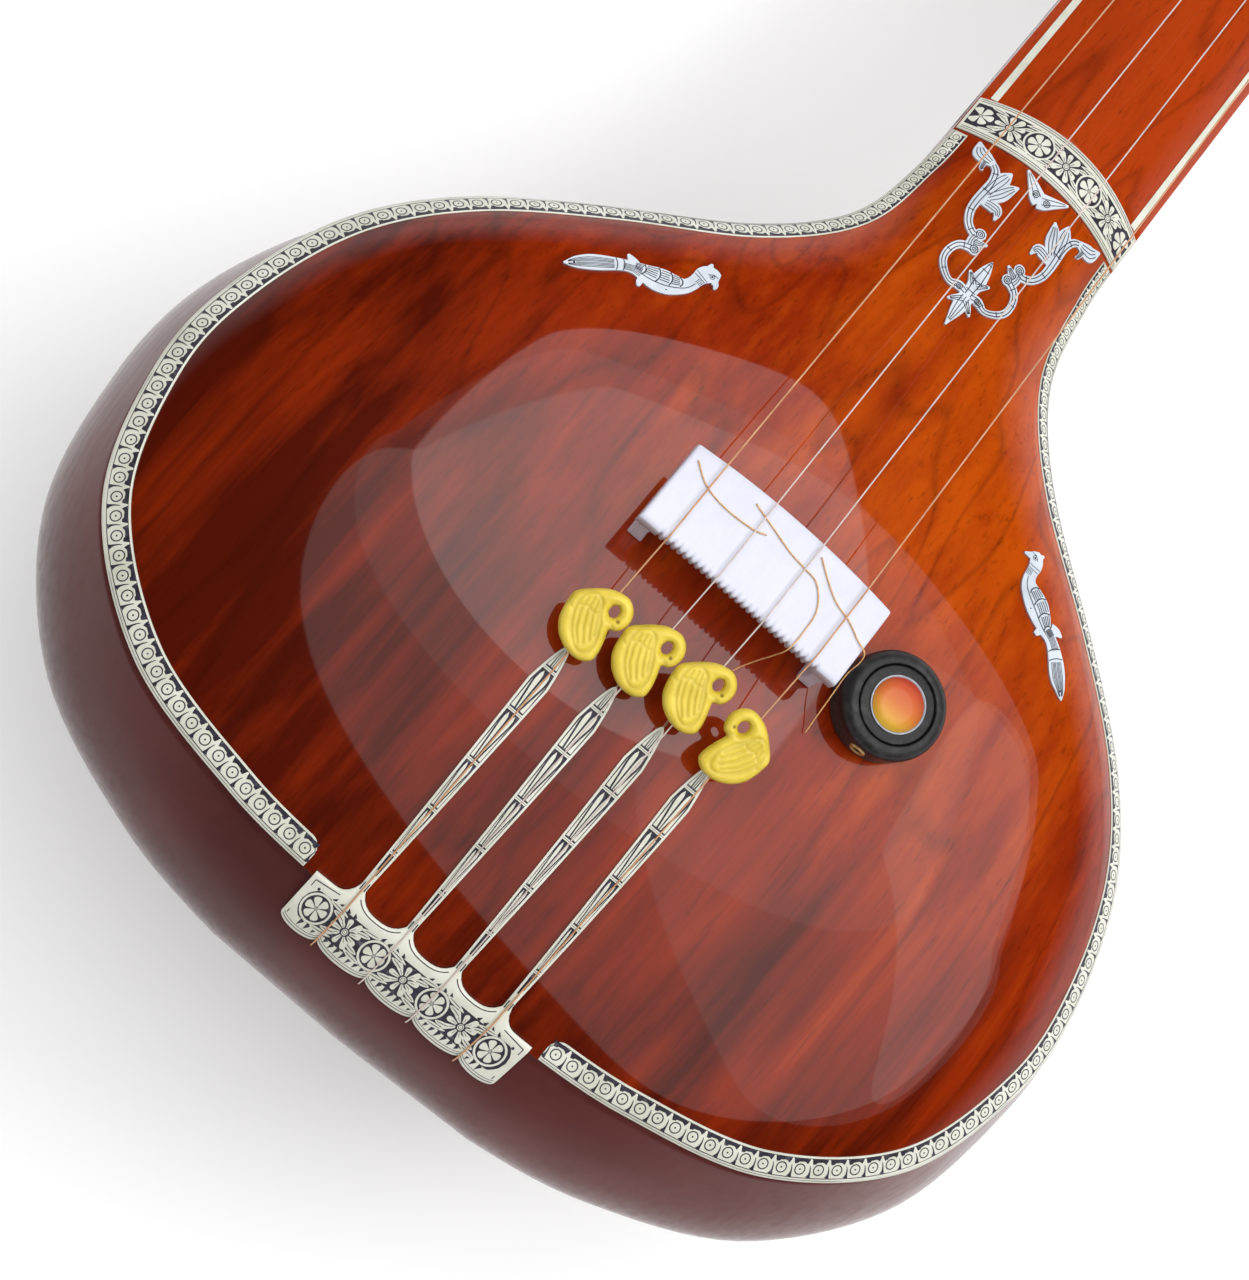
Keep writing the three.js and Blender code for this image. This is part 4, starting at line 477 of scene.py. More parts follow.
# The board keeps its full height over a flat rim, and is hollowed to an even thickness inside it.
BOARD_THICKNESS = 3.6
BOARD_RIM = 9.0
BOARD_SUNK = 0.25
rows = outline[np.round(np.linspace(0.0, 1.0, 150) * OUTLINE_SAMPLES).astype(int)]
board_x = rows[:, :1] * np.sin(np.linspace(-1.0, 1.0, 96) * math.pi / 2)
board_y = rows[:, 1:]
board_z = board_top(board_x, board_y)
in_from_sides = eased((rows[:, :1] - np.abs(board_x) - BOARD_RIM) / BOARD_RIM)
in_from_tail = eased((board_y - BOARD_TAIL_Y - BOARD_RIM) / BOARD_RIM)
under_z = SEAT_Z + in_from_sides * in_from_tail * np.maximum(0.0, board_z - BOARD_THICKNESS - SEAT_Z)
board_over = stacked(board_x, board_y, board_z - BOARD_SUNK)
board_under = stacked(board_x, board_y, under_z)[:, ::-1]
board = ring_piece("soundboard", np.concatenate([board_over, board_under], axis=1), board_finish)
dress(board, "tabli", "body", "board_lacquer")


# Gourd
# The resonator is a dried gourd shell with a broad round belly, cut off flat at the top, where the
# soundboard is glued on. It is stained a dark plum-brown and lacquered.
GOURD_DEPTH = 214.0
GOURD_WALL = 7.0
GOURD_SIDE_BULGE = 14.0
GOURD_TAIL_BULGE = 33.0
GOURD_CORNER_BULGE = 7.0
GOURD_SHOULDER = 38.0
GOURD_ROUNDNESS = 2.1
GOURD_JOINT_Y = 100.0
RIM_Z = SEAT_Z - 0.3
NECK_DEPTH = 40.0
NECK_END_DEPTH = 36.0
NECK_SHOULDER = 10.0
NECK_ROUNDNESS = 2.5
DEPTH_SHARES = np.array([
    (0.0, 1.0), (0.2, 0.985), (0.4, 0.88), (0.55, 0.7), (0.7, 0.48), (0.83, 0.3), (0.93, 0.21), (1.0, 0.187),
])
SHOULDER_TURN = 0.3
FLAT_TURN = 0.857


def mixed(low, high, share):
    return low + (high - low) * share


def shell_section(y, inset):
    """Half width, bulge, shoulder, depth and roundness of the shell at y. The depth falls along the
    throat as a curve through its shares, and eases into the depth of the neck."""
    share = np.clip((y - BOARD_MIDDLE_Y) / (NECK_START_Y - BOARD_MIDDLE_Y), 0.0, 1.0)
    deep = np.interp(share, depth_curve[:, 0], depth_curve[:, 1])
    neckly = eased(share)
    end_scale = NECK_DEPTH / (DEPTH_SHARES[-1, 1] * GOURD_DEPTH)
    return (
        half_width(y) - inset,
        mixed(GOURD_SIDE_BULGE, 0.0, eased(2 * share)),
        mixed(GOURD_SHOULDER, NECK_SHOULDER, neckly),
        deep * GOURD_DEPTH * mixed(1.0, end_scale, neckly) - inset,
        mixed(GOURD_ROUNDNESS, NECK_ROUNDNESS, neckly),
    )


depth_curve = spline_table(DEPTH_SHARES, 480)


def profile(section, share):
    """One side of a cross-section, from rim to keel: a quarter sine swells out over the shoulder, then a
    quarter of a superellipse turns under, with a flat at the keel. Gives how far out and how far down."""
    radius, bulge, shoulder, depth, roundness = (np.asarray(part, dtype=float)[..., None] for part in section)
    part = np.clip(share / SHOULDER_TURN, 0.0, 1.0)
    turned = np.clip((share - SHOULDER_TURN) / (1.0 - SHOULDER_TURN), 0.0, 1.0)
    turn = turned * math.pi / 2
    sunk = np.minimum(1.0, np.sin(turn) / math.sin(FLAT_TURN * math.pi / 2))
    above = share < SHOULDER_TURN
    out_above = radius + bulge * np.sin(part * math.pi / 2)
    out_below = (radius + bulge) * np.maximum(np.cos(turn), 0.0) ** (2 / roundness)
    out = np.where(above, out_above, np.where(share >= 1.0, 0.0, out_below))
    down = np.where(above, shoulder * part, shoulder + (depth - shoulder) * sunk ** (2 / roundness))
    return out, down


def shell_faces(stations, rows):
    """Outer grid, inner grid turned inside, and the strips that join them at the rim and the ends."""
    index = np.arange(stations * rows).reshape(stations, rows)
    inner = index + stations * rows

    def quads(a, b, c, d):
        return np.stack([a, b, c, d], axis=-1).reshape(-1, 4)

    parts = [
        quads(index[:-1, :-1], index[:-1, 1:], index[1:, 1:], index[1:, :-1]),
        quads(inner[1:, :-1], inner[1:, 1:], inner[:-1, 1:], inner[:-1, :-1]),
        quads(index[:-1, 0], index[1:, 0], inner[1:, 0], inner[:-1, 0]),
    ]
    for s in (0, -1):
        parts.append(quads(index[s, :-1], index[s, 1:], inner[s, 1:], inner[s, :-1]))
    return np.concatenate(parts).tolist()


PROFILE_ROWS = 72
profile_share = np.linspace(0.0, 1.0, PROFILE_ROWS)
gourd_layers = []
for inset in (0.0, GOURD_WALL):
    front_y = np.linspace(GOURD_JOINT_Y, BOARD_MIDDLE_Y, 40)
    out, down = profile(shell_section(front_y, inset), profile_share)
    front = stacked(out, front_y[:, None], RIM_Z - down)
    tail = outline[outline[:, 1] < BOARD_MIDDLE_Y][::-12]
    tail = np.vstack([tail, [[0.0, BOARD_TAIL_Y]]])
    offset = tail - [0.0, BOARD_MIDDLE_Y]
    reach = np.linalg.norm(offset, axis=1)
    tailly = (offset[:, 1] / reach) ** 2
    bulge = mixed(GOURD_SIDE_BULGE, GOURD_TAIL_BULGE, tailly) + GOURD_CORNER_BULGE * 4 * tailly * (1 - tailly)
    fan_section = (reach - inset, bulge, GOURD_SHOULDER, GOURD_DEPTH - inset, GOURD_ROUNDNESS)
    out, down = profile(fan_section, profile_share)
    direction = offset / reach[:, None]
    fan = stacked(out * direction[:, :1], BOARD_MIDDLE_Y + out * direction[:, 1:], RIM_Z - down)
    right = np.concatenate([front, fan])
    left = right[::-1][1:] * [-1.0, 1.0, 1.0]
    gourd_layers.append(np.concatenate([right, left]))


def gourd_lacquer():
    """Plum-brown stain under lacquer: soft round mottling like a gourd's rind, and fine scratches that
    dull it."""
    made, shader, place = finish("gourd_lacquer")
    mottle = place.stretched((9.0, 9.0, 9.0)).noise(1.0, 4.0, 0.6)
    cloud = place.noise(3.0, 2.0)
    tone = mottle * 0.6 + cloud * 0.4
    shade = tone.ramp((0.3, 62, 24, 22), (0.5, 84, 34, 30), (0.72, 104, 46, 42))
    scratch = place.stretched((400.0, 30.0, 400.0), slant=0.6).noise(1.0, 2.0)
    feed(shader, Base_Color=shade, Roughness=scratch.between(0.4, 0.7, 0.4, 0.55), Coat_Weight=0.7)
    feed(shader, Coat_Roughness=0.16, Specular_IOR_Level=0.3)
    feed(shader, Normal=place.noise(26.0, 3.0).bumped(0.12, 0.0015))
    return made


gourd_finish = gourd_lacquer()
gourd = mesh_object(
    "gourd_shell",
    np.concatenate([layer.reshape(-1, 3) for layer in gourd_layers]),
    shell_faces(len(gourd_layers[0]), PROFILE_ROWS),
    gourd_finish,
)
dress(gourd, "gourd_bowl", "body", "gourd_lacquer")


# Throat and neck back
# The throat is a hollow block carved from toon wood that narrows from the gourd to the neck, and the
# neck behind it is a hollow trough. Both have the gourd's dark stain, and meet it in a fine joint.
THROAT_WALL = 9.0
NECK_WALL = 8.0
CAP_LENGTH = 12.0
CAP_START_Y = NECK_END_Y - CAP_LENGTH
JOINT_GAP = 0.12


def neck_section(y, inset):
    """The same five sizes for the neck, which has no bulge."""
    depth = mixed(NECK_DEPTH, NECK_END_DEPTH, neck_share(y))
    return neck_half_width(y) - inset, 0.0, NECK_SHOULDER, depth - inset, NECK_ROUNDNESS


def neck_rim(y):
    return RIM_Z - NECK_DROP * neck_share(y)


def trough(name, node, ys, section, wall):
    """Cross-sections at each y, rim to rim round the back, inside and outside, joined all round."""
    share = np.linspace(0.0, 1.0, 40)
    layers = []
    for inset in (0.0, wall):
        out, down = profile(section(ys, inset), share)
        out = np.concatenate([out, -out[:, -2::-1]], axis=1)
        down = np.concatenate([down, down[:, -2::-1]], axis=1)
        layers.append(stacked(out, ys[:, None], neck_rim(ys[:, None]) - down))
    ring = np.concatenate([layers[0], layers[1][:, ::-1]], axis=1)
    count = ring.shape[1]
    faces = ring_faces(len(ys), count, capped=False)
    half = count // 2
    for start in (0, (len(ys) - 1) * count):
        for k in range(half - 1):
            faces.append([start + k, start + k + 1, start + count - 2 - k, start + count - 1 - k])
    made = mesh_object(name, ring.reshape(-1, 3), faces, gourd_finish)
    dress(made, node, "body", "gourd_lacquer")


throat_y = np.linspace(GOURD_JOINT_Y + JOINT_GAP, NECK_START_Y, 60)
trough("throat_shell", "throat_block", throat_y, shell_section, THROAT_WALL)
neck_y = np.linspace(NECK_START_Y + JOINT_GAP, CAP_START_Y - 0.1, 40)
trough("neck_trough", "neck_back", neck_y, neck_section, NECK_WALL)


# Neck face
# A flat-sided lid of toon wood, round across the top, closes the neck. Its grain and lacquer carry on
# from the soundboard's.
# As on the soundboard, the colour darkens away from one lighter place near the throat, partly a real stain
# and partly painted light and reflection.
face_finish = lacquered_wood(
    "neck_lacquer",
    (160, 54, 8),
    (126, 34, 5),
    (70, 14, 3),
    (50, 9, 2),
    tuple(lay((20.0, 300.0, 5.0))),
    0.9,
)
face_y = np.linspace(NECK_START_Y + JOINT_GAP, CAP_START_Y - 0.1, 60)[:, None]
face_x = neck_half_width(face_y) * np.sin(np.linspace(-1.0, 1.0, 41) * math.pi / 2)
face_over = stacked(face_x, face_y, neck_top(face_x, face_y) - 0.02)
face_under = stacked(face_x, face_y, neck_rim(face_y) + 0.1)[:, ::-1]
neck_face = ring_piece("neck_lid", np.concatenate([face_over, face_under], axis=1), face_finish)
dress(neck_face, "neck_face", "body", "board_lacquer")


# White edging and inlays
# Thin white plates, once bone and now usually plastic, are let into the wood, cut with a graver, filled
# with dark wax and polished flush. The edging runs round the soundboard from the tail to the collar.
EDGING_WIDTH = 8.8
EDGING_START = 0.012 * outline_length
EDGING_THROAT_SHARE = 0.62
EDGING_NARROWS = (BOARD_TAIL_Y + 0.68 * BOARD_LENGTH, BOARD_TAIL_Y + 0.93 * BOARD_LENGTH)
COLLAR_PAST_JOINT = 3.4
COLLAR_WIDTH = 18.0
COLLAR_UPPER_FALL = 4.0
COLLAR_LOWER_FALL = 1.5
INLAY_RISE = 0.7
INK_RISE = 0.05


def collar_high(x):
    """Upper edge of the collar: a shallow parabola."""
    fall = COLLAR_UPPER_FALL * (x / THROAT_HALF_WIDTH) ** 2
    return NECK_START_Y + COLLAR_PAST_JOINT + COLLAR_WIDTH / 2 - fall


def collar_low(x):
    """Lower edge of the collar, a flatter parabola."""
    fall = COLLAR_LOWER_FALL * (x / THROAT_HALF_WIDTH) ** 2
    return NECK_START_Y + COLLAR_PAST_JOINT - COLLAR_WIDTH / 2 - fall


def edging_share(along):
    """Width of the edging as a share of its full width: it eases narrower towards the throat."""
    low, high = EDGING_NARROWS
    y = np.interp(along, outline_run, outline[:, 1])
    return 1.0 - (1.0 - EDGING_THROAT_SHARE) * eased((y - low) / (high - low))


edging_end = float(np.interp(collar_low(THROAT_HALF_WIDTH) - 0.3, rising, outline_run)) - 0.7


def inlay_white(name, dark, middle, light):
    """White plastic or bone: faint clouding, a few stains, and a soft polish."""
    made, shader, place = finish(name)
    cloud = place.noise(120.0, 4.0, 0.6)
    stain = place.noise(28.0, 3.0)
    tone = cloud * 0.45 + stain * 0.55
    feed(shader, Base_Color=tone.ramp((0.3, *dark), (0.5, *middle), (0.7, *light)))
    feed(shader, Roughness=stain.between(0.3, 0.7, 0.3, 0.42), Coat_Weight=0.4, Coat_Roughness=0.12)
    feed(shader, Normal=cloud.bumped(0.1, 0.0002))
    return made


def engraved_wax():
    """Dark blue-black wax in the cuts, a little dusty and worn thin here and there."""
    made, shader, place = finish("engraving_wax")
    worn = place.noise(420.0, 3.0, 0.7)
    feed(shader, Base_Color=worn.ramp((0.35, 26, 24, 34), (0.6, 46, 44, 58), (0.78, 110, 108, 112)))
    feed(shader, Roughness=0.55, Normal=worn.bumped(0.2, 0.0001))
    return made


white_finish = inlay_white("inlay_white", (184, 184, 166), (206, 206, 192), (220, 220, 208))
pearl_finish = inlay_white("inlay_cool_white", (170, 178, 188), (196, 204, 212), (214, 220, 226))
wax_finish = engraved_wax()


def outline_at(along):
    """The soundboard's outline at a distance along it."""
    return stacked(*(np.interp(along, outline_run, outline[:, k]) for k in range(2)))


def edge_place(side, rise):
    """Place on the edging: distance along the outline and distance in from it, as a drawing point."""

    def place(points):
        along = np.clip(points[:, 0], 0.0, outline_length)
        run = outline_at(np.minimum(along + 0.5, outline_length)) - outline_at(np.maximum(along - 0.5, 0.0))
        run /= np.linalg.norm(run, axis=1)[:, None]
        inward = stacked(-run[:, 1], run[:, 0])
        x, y = (outline_at(along) + inward * points[:, 1:]).T
        return stacked(side * x, y, board_top(x, y) + rise)

    return place


def tail_skin(x, y):
    """The board's skin, carried on past the tail edge down the gourd's shoulder as an arc sine."""
    past = np.clip((BOARD_TAIL_Y - np.asarray(y)) / GOURD_TAIL_BULGE, 0.0, 1.0)
    drop = GOURD_SHOULDER * np.arcsin(past) / (math.pi / 2)
    return np.where(past > 0.0, -EDGE_DROP - 1.25 * drop, skin_top(x, y))


def skin_place(rise):
    """Place on the soundboard, the neck face or the tail, from x and y."""

    def place(points):
        x, y = points.T
        return stacked(x, y, tail_skin(x, y) + rise)

    return place


def frame_of(rows):
    """Unit directions along and across a ribbon, row by row."""
    along = np.gradient(rows[:, :2], axis=0)
    along /= np.maximum(np.linalg.norm(along, axis=1), 1e-9)[:, None]
    return along, stacked(-along[:, 1], along[:, 0])


def ribbon(rows, place, thickness):
    """A closed flat strip along a centre line: left and right of each row by its half width, above and
    below by the thickness. Gives points, stations by four."""
    rows = np.asarray(rows, dtype=float)
    side = frame_of(rows)[1] * np.maximum(rows[:, 2:3], 0.03)
    left = place(rows[:, :2] + side)
    right = place(rows[:, :2] - side)
    low = np.array([0.0, 0.0, thickness])
    return np.stack([left, right, right - low, left - low], axis=1)


def slab(top, thickness):
    """A closed plate under a grid of points, station by station."""
    return np.concatenate([top, top[:, ::-1] - [0.0, 0.0, thickness]], axis=1)


def strips_object(name, strips, material):
    """Many closed strips in one piece."""
    points = []
    faces = []
    start = 0
    for strip in strips:
        count = len(strip)
        points.append(strip.reshape(-1, 3))
        faces.extend([[start + index for index in face] for face in ring_faces(count, 4)])
        start += count * 4
    return mesh_object(name, np.concatenate(points), faces, material, smooth=False)


def circle_rows(x, y, radius, half, count=14):
    """Rows round a circle, closed by meeting end to end."""
    angle = np.linspace(0.0, 2 * math.pi, count + 1)
    return stacked(x + radius * np.cos(angle), y + radius * np.sin(angle), half)


def dot_rows(x, y, radius, count=5):
    """A filled dot as one short strip whose half width follows the circle."""
    at = np.linspace(-1.0, 1.0, count)
    return stacked(x + radius * at, y, radius * np.sqrt(np.maximum(0.0, 1 - at**2)))


UNIT_PITCH = 6.45
RING_IN = 4.35
EDGING_END_ROUND = 4.5
EDGING_RISE = 0.05
CUT_DEPTH = 0.12
ring_unit = [circle_rows(0.0, RING_IN, 1.7, 0.2, 18), dot_rows(0.0, RING_IN, 0.32)]
hook_unit = np.array([
    (3.1, 1.6, 1.0), (2.98, 2.0, 0.66), (2.88, 2.6, 0.4), (2.82, 3.4, 0.26), (2.86, 4.2, 0.2),
    (3.0, 5.0, 0.15), (3.2, 5.7, 0.08),
])
band_unit = np.array([
    (-2.9, 7.9, 0.08), (-2.5, 7.5, 0.45), (-2.1, 7.05, 0.95), (-1.7, 7.35, 0.64), (-1.0, 7.45, 0.54),
    (0.0, 7.4, 0.58), (1.0, 7.35, 0.64), (1.5, 7.1, 0.9), (1.85, 7.0, 1.0), (2.2, 7.4, 0.58),
    (2.6, 7.75, 0.22), (2.9, 7.9, 0.06),
])
for name, side in {"border_left": -1.0, "border_right": 1.0}.items():
    place = edge_place(side, EDGING_RISE)
    along = np.concatenate([
        EDGING_START + EDGING_END_ROUND * (1 - np.cos(np.linspace(0.0, math.pi / 2, 9)[:-1])),
        np.linspace(EDGING_START + EDGING_END_ROUND, edging_end, 252),
    ])
    narrowed = edging_share(along)
    from_end = np.clip((along - EDGING_START) / EDGING_END_ROUND, 0.0, 1.0)
    end_inward = EDGING_WIDTH - EDGING_END_ROUND * (1 - np.sqrt(1 - (1 - from_end) ** 2))
    lanes = [np.minimum(lane, end_inward) * narrowed for lane in (0.1, 1.6, 3.4, 5.2, 7.0, EDGING_WIDTH)]
    top = np.stack([place(stacked(along, lane)) for lane in lanes], axis=1)
    band = ring_piece(f"{name}_plate", slab(top, 0.85), white_finish)
    dress(band, name, "body", "inlay_white")
    ink_place = edge_place(side, EDGING_RISE + INK_RISE)
    strips = []
    for line_in, half in ((1.5, 0.14), (8.02, 0.1), (0.7, 0.06)):
        line = np.minimum(line_in, end_inward - 0.8)
        rows = stacked(along, line * narrowed, half * narrowed)[2:]
        strips.append(ribbon(rows, ink_place, CUT_DEPTH))
    middle = edging_end - 2.6
    while middle > EDGING_START + UNIT_PITCH / 2:
        size = float(edging_share(middle))
        for unit in (*ring_unit, hook_unit, band_unit):
            rows = np.array(unit) * [-size, size, size] + [middle, 0.0, 0.0]
            strips.append(ribbon(rows, ink_place, CUT_DEPTH))
        middle -= UNIT_PITCH * size
    ink = strips_object(f"{name}_engraving", strips, wax_finish)
    dress(ink, None, "body", "inlay_white")


# Tail plate and tongues
# At the tail an engraved white plate spreads the pull of the four strings, which go down through its
# scalloped edge. Four long tongues run from it under the strings, each ending in a pointed bud.
STRING_SPACING = 19.2
NUT_SPACING = 14.6
NOTCH_Y = -143.0
PLATE_HALF_WIDTH = 43.0
PLATE_TOP_Y = -121.0
PLATE_WINDOW = 7.0
PLATE_FLARE = 4.5
PLATE_SCALLOP = 2.6
course_shares = np.array([-1.5, -0.5, 0.5, 1.5])
course_x = STRING_SPACING * course_shares
course_nut_x = NUT_SPACING * course_shares
plate_edges = np.concatenate([[-PLATE_HALF_WIDTH], course_x, [PLATE_HALF_WIDTH]])


def between_courses(x):
    i = np.clip(np.searchsorted(plate_edges, x, side="left"), 1, 5)
    low = plate_edges[i - 1]
    return np.clip((x - low) / (plate_edges[i] - low), 0.0, 1.0) * 2 - 1


def plate_low(x):
    """Lower edge: a shallow round scallop from each string to the next."""
    return NOTCH_Y - PLATE_SCALLOP * np.sqrt(np.maximum(0.0, 1 - between_courses(x) ** 2))


def plate_high(x):
    """Upper edge: between each pair of strings a window shaped like a U, whose sides run up into the
    tongues as one of the curves u^n + v^n = 1, and half of one down to each end."""
    inside = np.abs(between_courses(x))
    outer = np.clip(1.1 - (np.abs(x) - course_x[-1]) / PLATE_WINDOW, 0.0, 1.0)
    from_side = np.where(np.abs(x) > course_x[-1], np.minimum(outer, 1.0), inside)
    window = np.maximum(0.0, 1 - from_side**2.6) ** (1 / 2.6)
    return PLATE_TOP_Y - PLATE_WINDOW + (PLATE_WINDOW + PLATE_FLARE) * (1 - window)


def engraved(name, base, *layers):
    """The dark cuts and what stays white between them: layers of strips, dark and white by turns, each a
    hair above the last. The base gives the place for a rise."""
    for k, layer in enumerate(layers):
        place = base(INLAY_RISE + INK_RISE * (k + 1))
        strips = [ribbon(rows, place, CUT_DEPTH) for rows in layer]
        made = strips_object(f"{name}_layer_{k + 1}", strips, white_finish if k % 2 else wax_finish)
        dress(made, None, "body", "inlay_white")


def inlaid(name, made):
    dress(made, name, "body", "inlay_white")


def wedge_rows(x, y, angle, start, end, half_start, half_end):
    """A straight cut that leaves the point at the angle, and widens or narrows on the way."""
    at = np.linspace(0.0, 1.0, 3)
    reach = mixed(start, end, at)
    half = mixed(half_start, half_end, at)
    return stacked(x + reach * math.cos(angle), y + reach * math.sin(angle), half)


def petal(x, y, angle, start, end, spread, stretch):
    """A petal along the angle. Its half width grows with the distance from the flower's middle by the
    spread, and rounds off as a quarter ellipse over the last third."""
    at = np.cos(np.linspace(math.pi / 2, 0.0, 10))
    reach = mixed(start, end, at)
    round_off = np.sqrt(np.maximum(0.0, 1 - (np.maximum(0.0, at - 0.62) / 0.38) ** 2))
    half = np.maximum(0.04, spread * reach * round_off)
    return stacked(x + stretch * reach * math.cos(angle), y + reach * math.sin(angle), half)


def daisy(x, y, radius, stretch):
    """Pointed white petals round a small ringed middle, and the dark veins, ring and dot cut in them."""
    white = [dot_rows(x, y, radius * 0.2, 9)]
    dark = [circle_rows(x, y, radius * 0.13, 0.1, 10), dot_rows(x, y, 0.14, 4)]
    for k in range(9):
        angle = 2 * math.pi * (k + 0.5) / 9
        long_petal = radius * (1.0 if k % 2 else 0.86)
        white.append(petal(x, y, angle, radius * 0.27, long_petal, 0.25, stretch))
        dark.append(petal(x, y, angle, radius * 0.3, radius * 0.62, 0.035, stretch))
    return white, dark


def rosette(x, y, radius, stretch):
    """Six round white petals in a white oval ring, with the dark ground between."""
    white = [dot_rows(x, y, radius * 0.16, 8)]
    white += [petal(x, y, math.pi * k / 3, radius * 0.2, radius * 1.14, 0.44, stretch) for k in range(6)]
    around = np.linspace(0.0, 2 * math.pi, 25)
    oval = stacked(x + stretch * radius * 1.46 * np.cos(around), y + radius * 1.4 * np.sin(around), 0.36)
    return white + [oval], [circle_rows(x, y, radius * 0.1, 0.08, 8)]


def leaves(x, y, half_height, stretch):
    """Curved leaves on both sides of a rosette, swept from each rim of the band towards the next flower,
    each with a dark vein."""
    white = []
    dark = []
    at = np.linspace(0.0, 1.0, 9)
    for turn_side in (-1.0, 1.0):
        for rise_side in (-1.0, 1.0):
            for start, end, low, high in ((1.5, 7.4, 0.97, 0.78), (3.6, 8.2, 0.62, 0.34)):
                across = x + turn_side * stretch * mixed(start, end, at)
                up = y + rise_side * half_height * mixed(low, high, at**1.6)
                wide = 0.12 + 0.62 * np.sin(math.pi * at**0.8)
                white.append(stacked(across, up, wide))
                dark.append(stacked(across, up, 0.04 + 0.08 * np.sin(math.pi * at))[1:-2])
    return white, dark


def filled_band(x, y, half, count):
    """A broad dark band as narrow strips side by side, so that it follows a curved surface."""
    return [
        stacked(x, y + half * ((2 * k + 1) / count - 1), np.maximum(0.03, half / count + 0.02))
        for k in range(count)
    ]


def flower_band(y, half_height, stretch, daisies, rosettes):
    """Flowers and leaves along a band: the white shapes and the dark cuts in them."""
    white = []
    dark = []
    parts = []
    for x in rosettes:
        parts += [leaves(x, y, half_height, stretch), rosette(x, y, half_height * 0.66, 1.0)]
    parts += [daisy(x, y, half_height * 1.02, stretch) for x in daisies]
    for more_white, more_dark in parts:
        white += more_white
        dark += more_dark
    return white, dark


def within(strips, half):
    """The strips that keep inside a half width."""
    return [rows for rows in strips if np.abs(rows[:, 0]).max() < half]


PLATE_RISE = 0.4
scallop_share = (1 - np.cos(np.linspace(0, math.pi, 17))) / 2
scallops_x = [mixed(low, high, scallop_share[:-1]) for low, high in zip(plate_edges, plate_edges[1:])]
plate_x = np.append(np.concatenate(scallops_x), plate_edges[-1])[:, None]
plate_y = mixed(plate_low(plate_x), plate_high(plate_x), np.linspace(0.0, 1.0, 15))
plate_over = stacked(plate_x, plate_y, tail_skin(plate_x, plate_y) + INLAY_RISE + PLATE_RISE)
inlaid("tail_plate", ring_piece("tail_plate_white", slab(plate_over, 0.8), white_finish))

PLATE_BAND_Y = -136.7
PLATE_BAND_HALF = 4.9
PLATE_BAND_END = 40.8
PLATE_FLOWERS_END = PLATE_HALF_WIDTH - 1.6
band_x = np.linspace(-PLATE_BAND_END, PLATE_BAND_END, 120)
band_fade = np.clip((PLATE_BAND_END - np.abs(band_x)) / 3.0, 0.0, 1.0) ** 0.5
plate_ground = filled_band(band_x, PLATE_BAND_Y, PLATE_BAND_HALF * band_fade, 9)
plate_flowers = flower_band(
    PLATE_BAND_Y, PLATE_BAND_HALF, 1.22, (-24.0, -0.7, 22.6), (-35.4, -12.4, 11.0, 34.6)
)
plate_white, plate_dark = (within(strips, PLATE_FLOWERS_END) for strips in plate_flowers)
fine_x = np.linspace(-PLATE_HALF_WIDTH + 0.8, PLATE_HALF_WIDTH - 0.8, 340)
for inside, half in ((0.75, 0.1), (1.5, 0.08)):
    plate_ground.append(stacked(fine_x, plate_low(fine_x) + inside, half))
for i in range(3):
    window_x = np.linspace(course_x[i] + 1.7, course_x[i + 1] - 1.7, 60)
    edge_x = (window_x - course_x[i] - STRING_SPACING / 2) * 0.93 + course_x[i] + STRING_SPACING / 2
    plate_ground.append(stacked(window_x, plate_high(edge_x) - 1.1, 0.17))
for side in (-1.0, 1.0):
    end_x = side * PLATE_FLOWERS_END
    plate_ground.append(np.array([(end_x, -142.6, 0.16), (end_x, -130.2, 0.16)]))
    plate_ground.append(np.array([(end_x, -130.2, 0.16), (side * (course_x[-1] + 4.0), -129.2, 0.16)]))
    plate_ground.append(dot_rows(end_x - side * 2.6, -131.8, 0.5))
for tooth_x in np.arange(-36.0, 37.0, 2.4):
    room = PLATE_BAND_Y - PLATE_BAND_HALF - float(plate_low(tooth_x)) - 1.7
    if room > 0.4:
        plate_ground.append(wedge_rows(tooth_x, PLATE_BAND_Y - PLATE_BAND_HALF, -1.9, 0.0, room, 0.75, 0.05))
for middle in course_x:
    for turn_side in (-1.0, 1.0):
        for out in (1.7, 4.2):
            tooth = (middle + turn_side * out, PLATE_BAND_Y + PLATE_BAND_HALF)
            plate_ground.append(wedge_rows(*tooth, math.pi / 2 + turn_side * 0.5, 0.0, 1.5, 0.7, 0.05))
    for tick in (-0.8, 0.0, 0.8):
        plate_ground.append(np.array([(middle + tick, -124.2, 0.22), (middle + tick, -121.4, 0.16)]))
engraved("tail_plate", lambda rise: skin_place(rise + PLATE_RISE), plate_ground, plate_white, plate_dark)

TONGUE_TIP_Y = -29.0
TONGUE_WIDE_SHARE = 0.84
TONGUE_NARROW = 1.3
TONGUE_WIDE = 3.7
TONGUE_RIM = 0.75
TONGUE_ROOT_Y = -124.0
TONGUE_BARS = (-110.0, -92.5, -74.0, -54.8, -38.4)


def tongue_half(share):
    """Half width of a tongue: an even taper, then a quarter of an ellipse to the point."""
    tip = np.clip((share - TONGUE_WIDE_SHARE) / (1 - TONGUE_WIDE_SHARE), 0.0, 1.0)
    straight = mixed(TONGUE_NARROW, TONGUE_WIDE, share / TONGUE_WIDE_SHARE)
    return np.where(share < TONGUE_WIDE_SHARE, straight, np.maximum(0.15, TONGUE_WIDE * np.sqrt(1 - tip)))


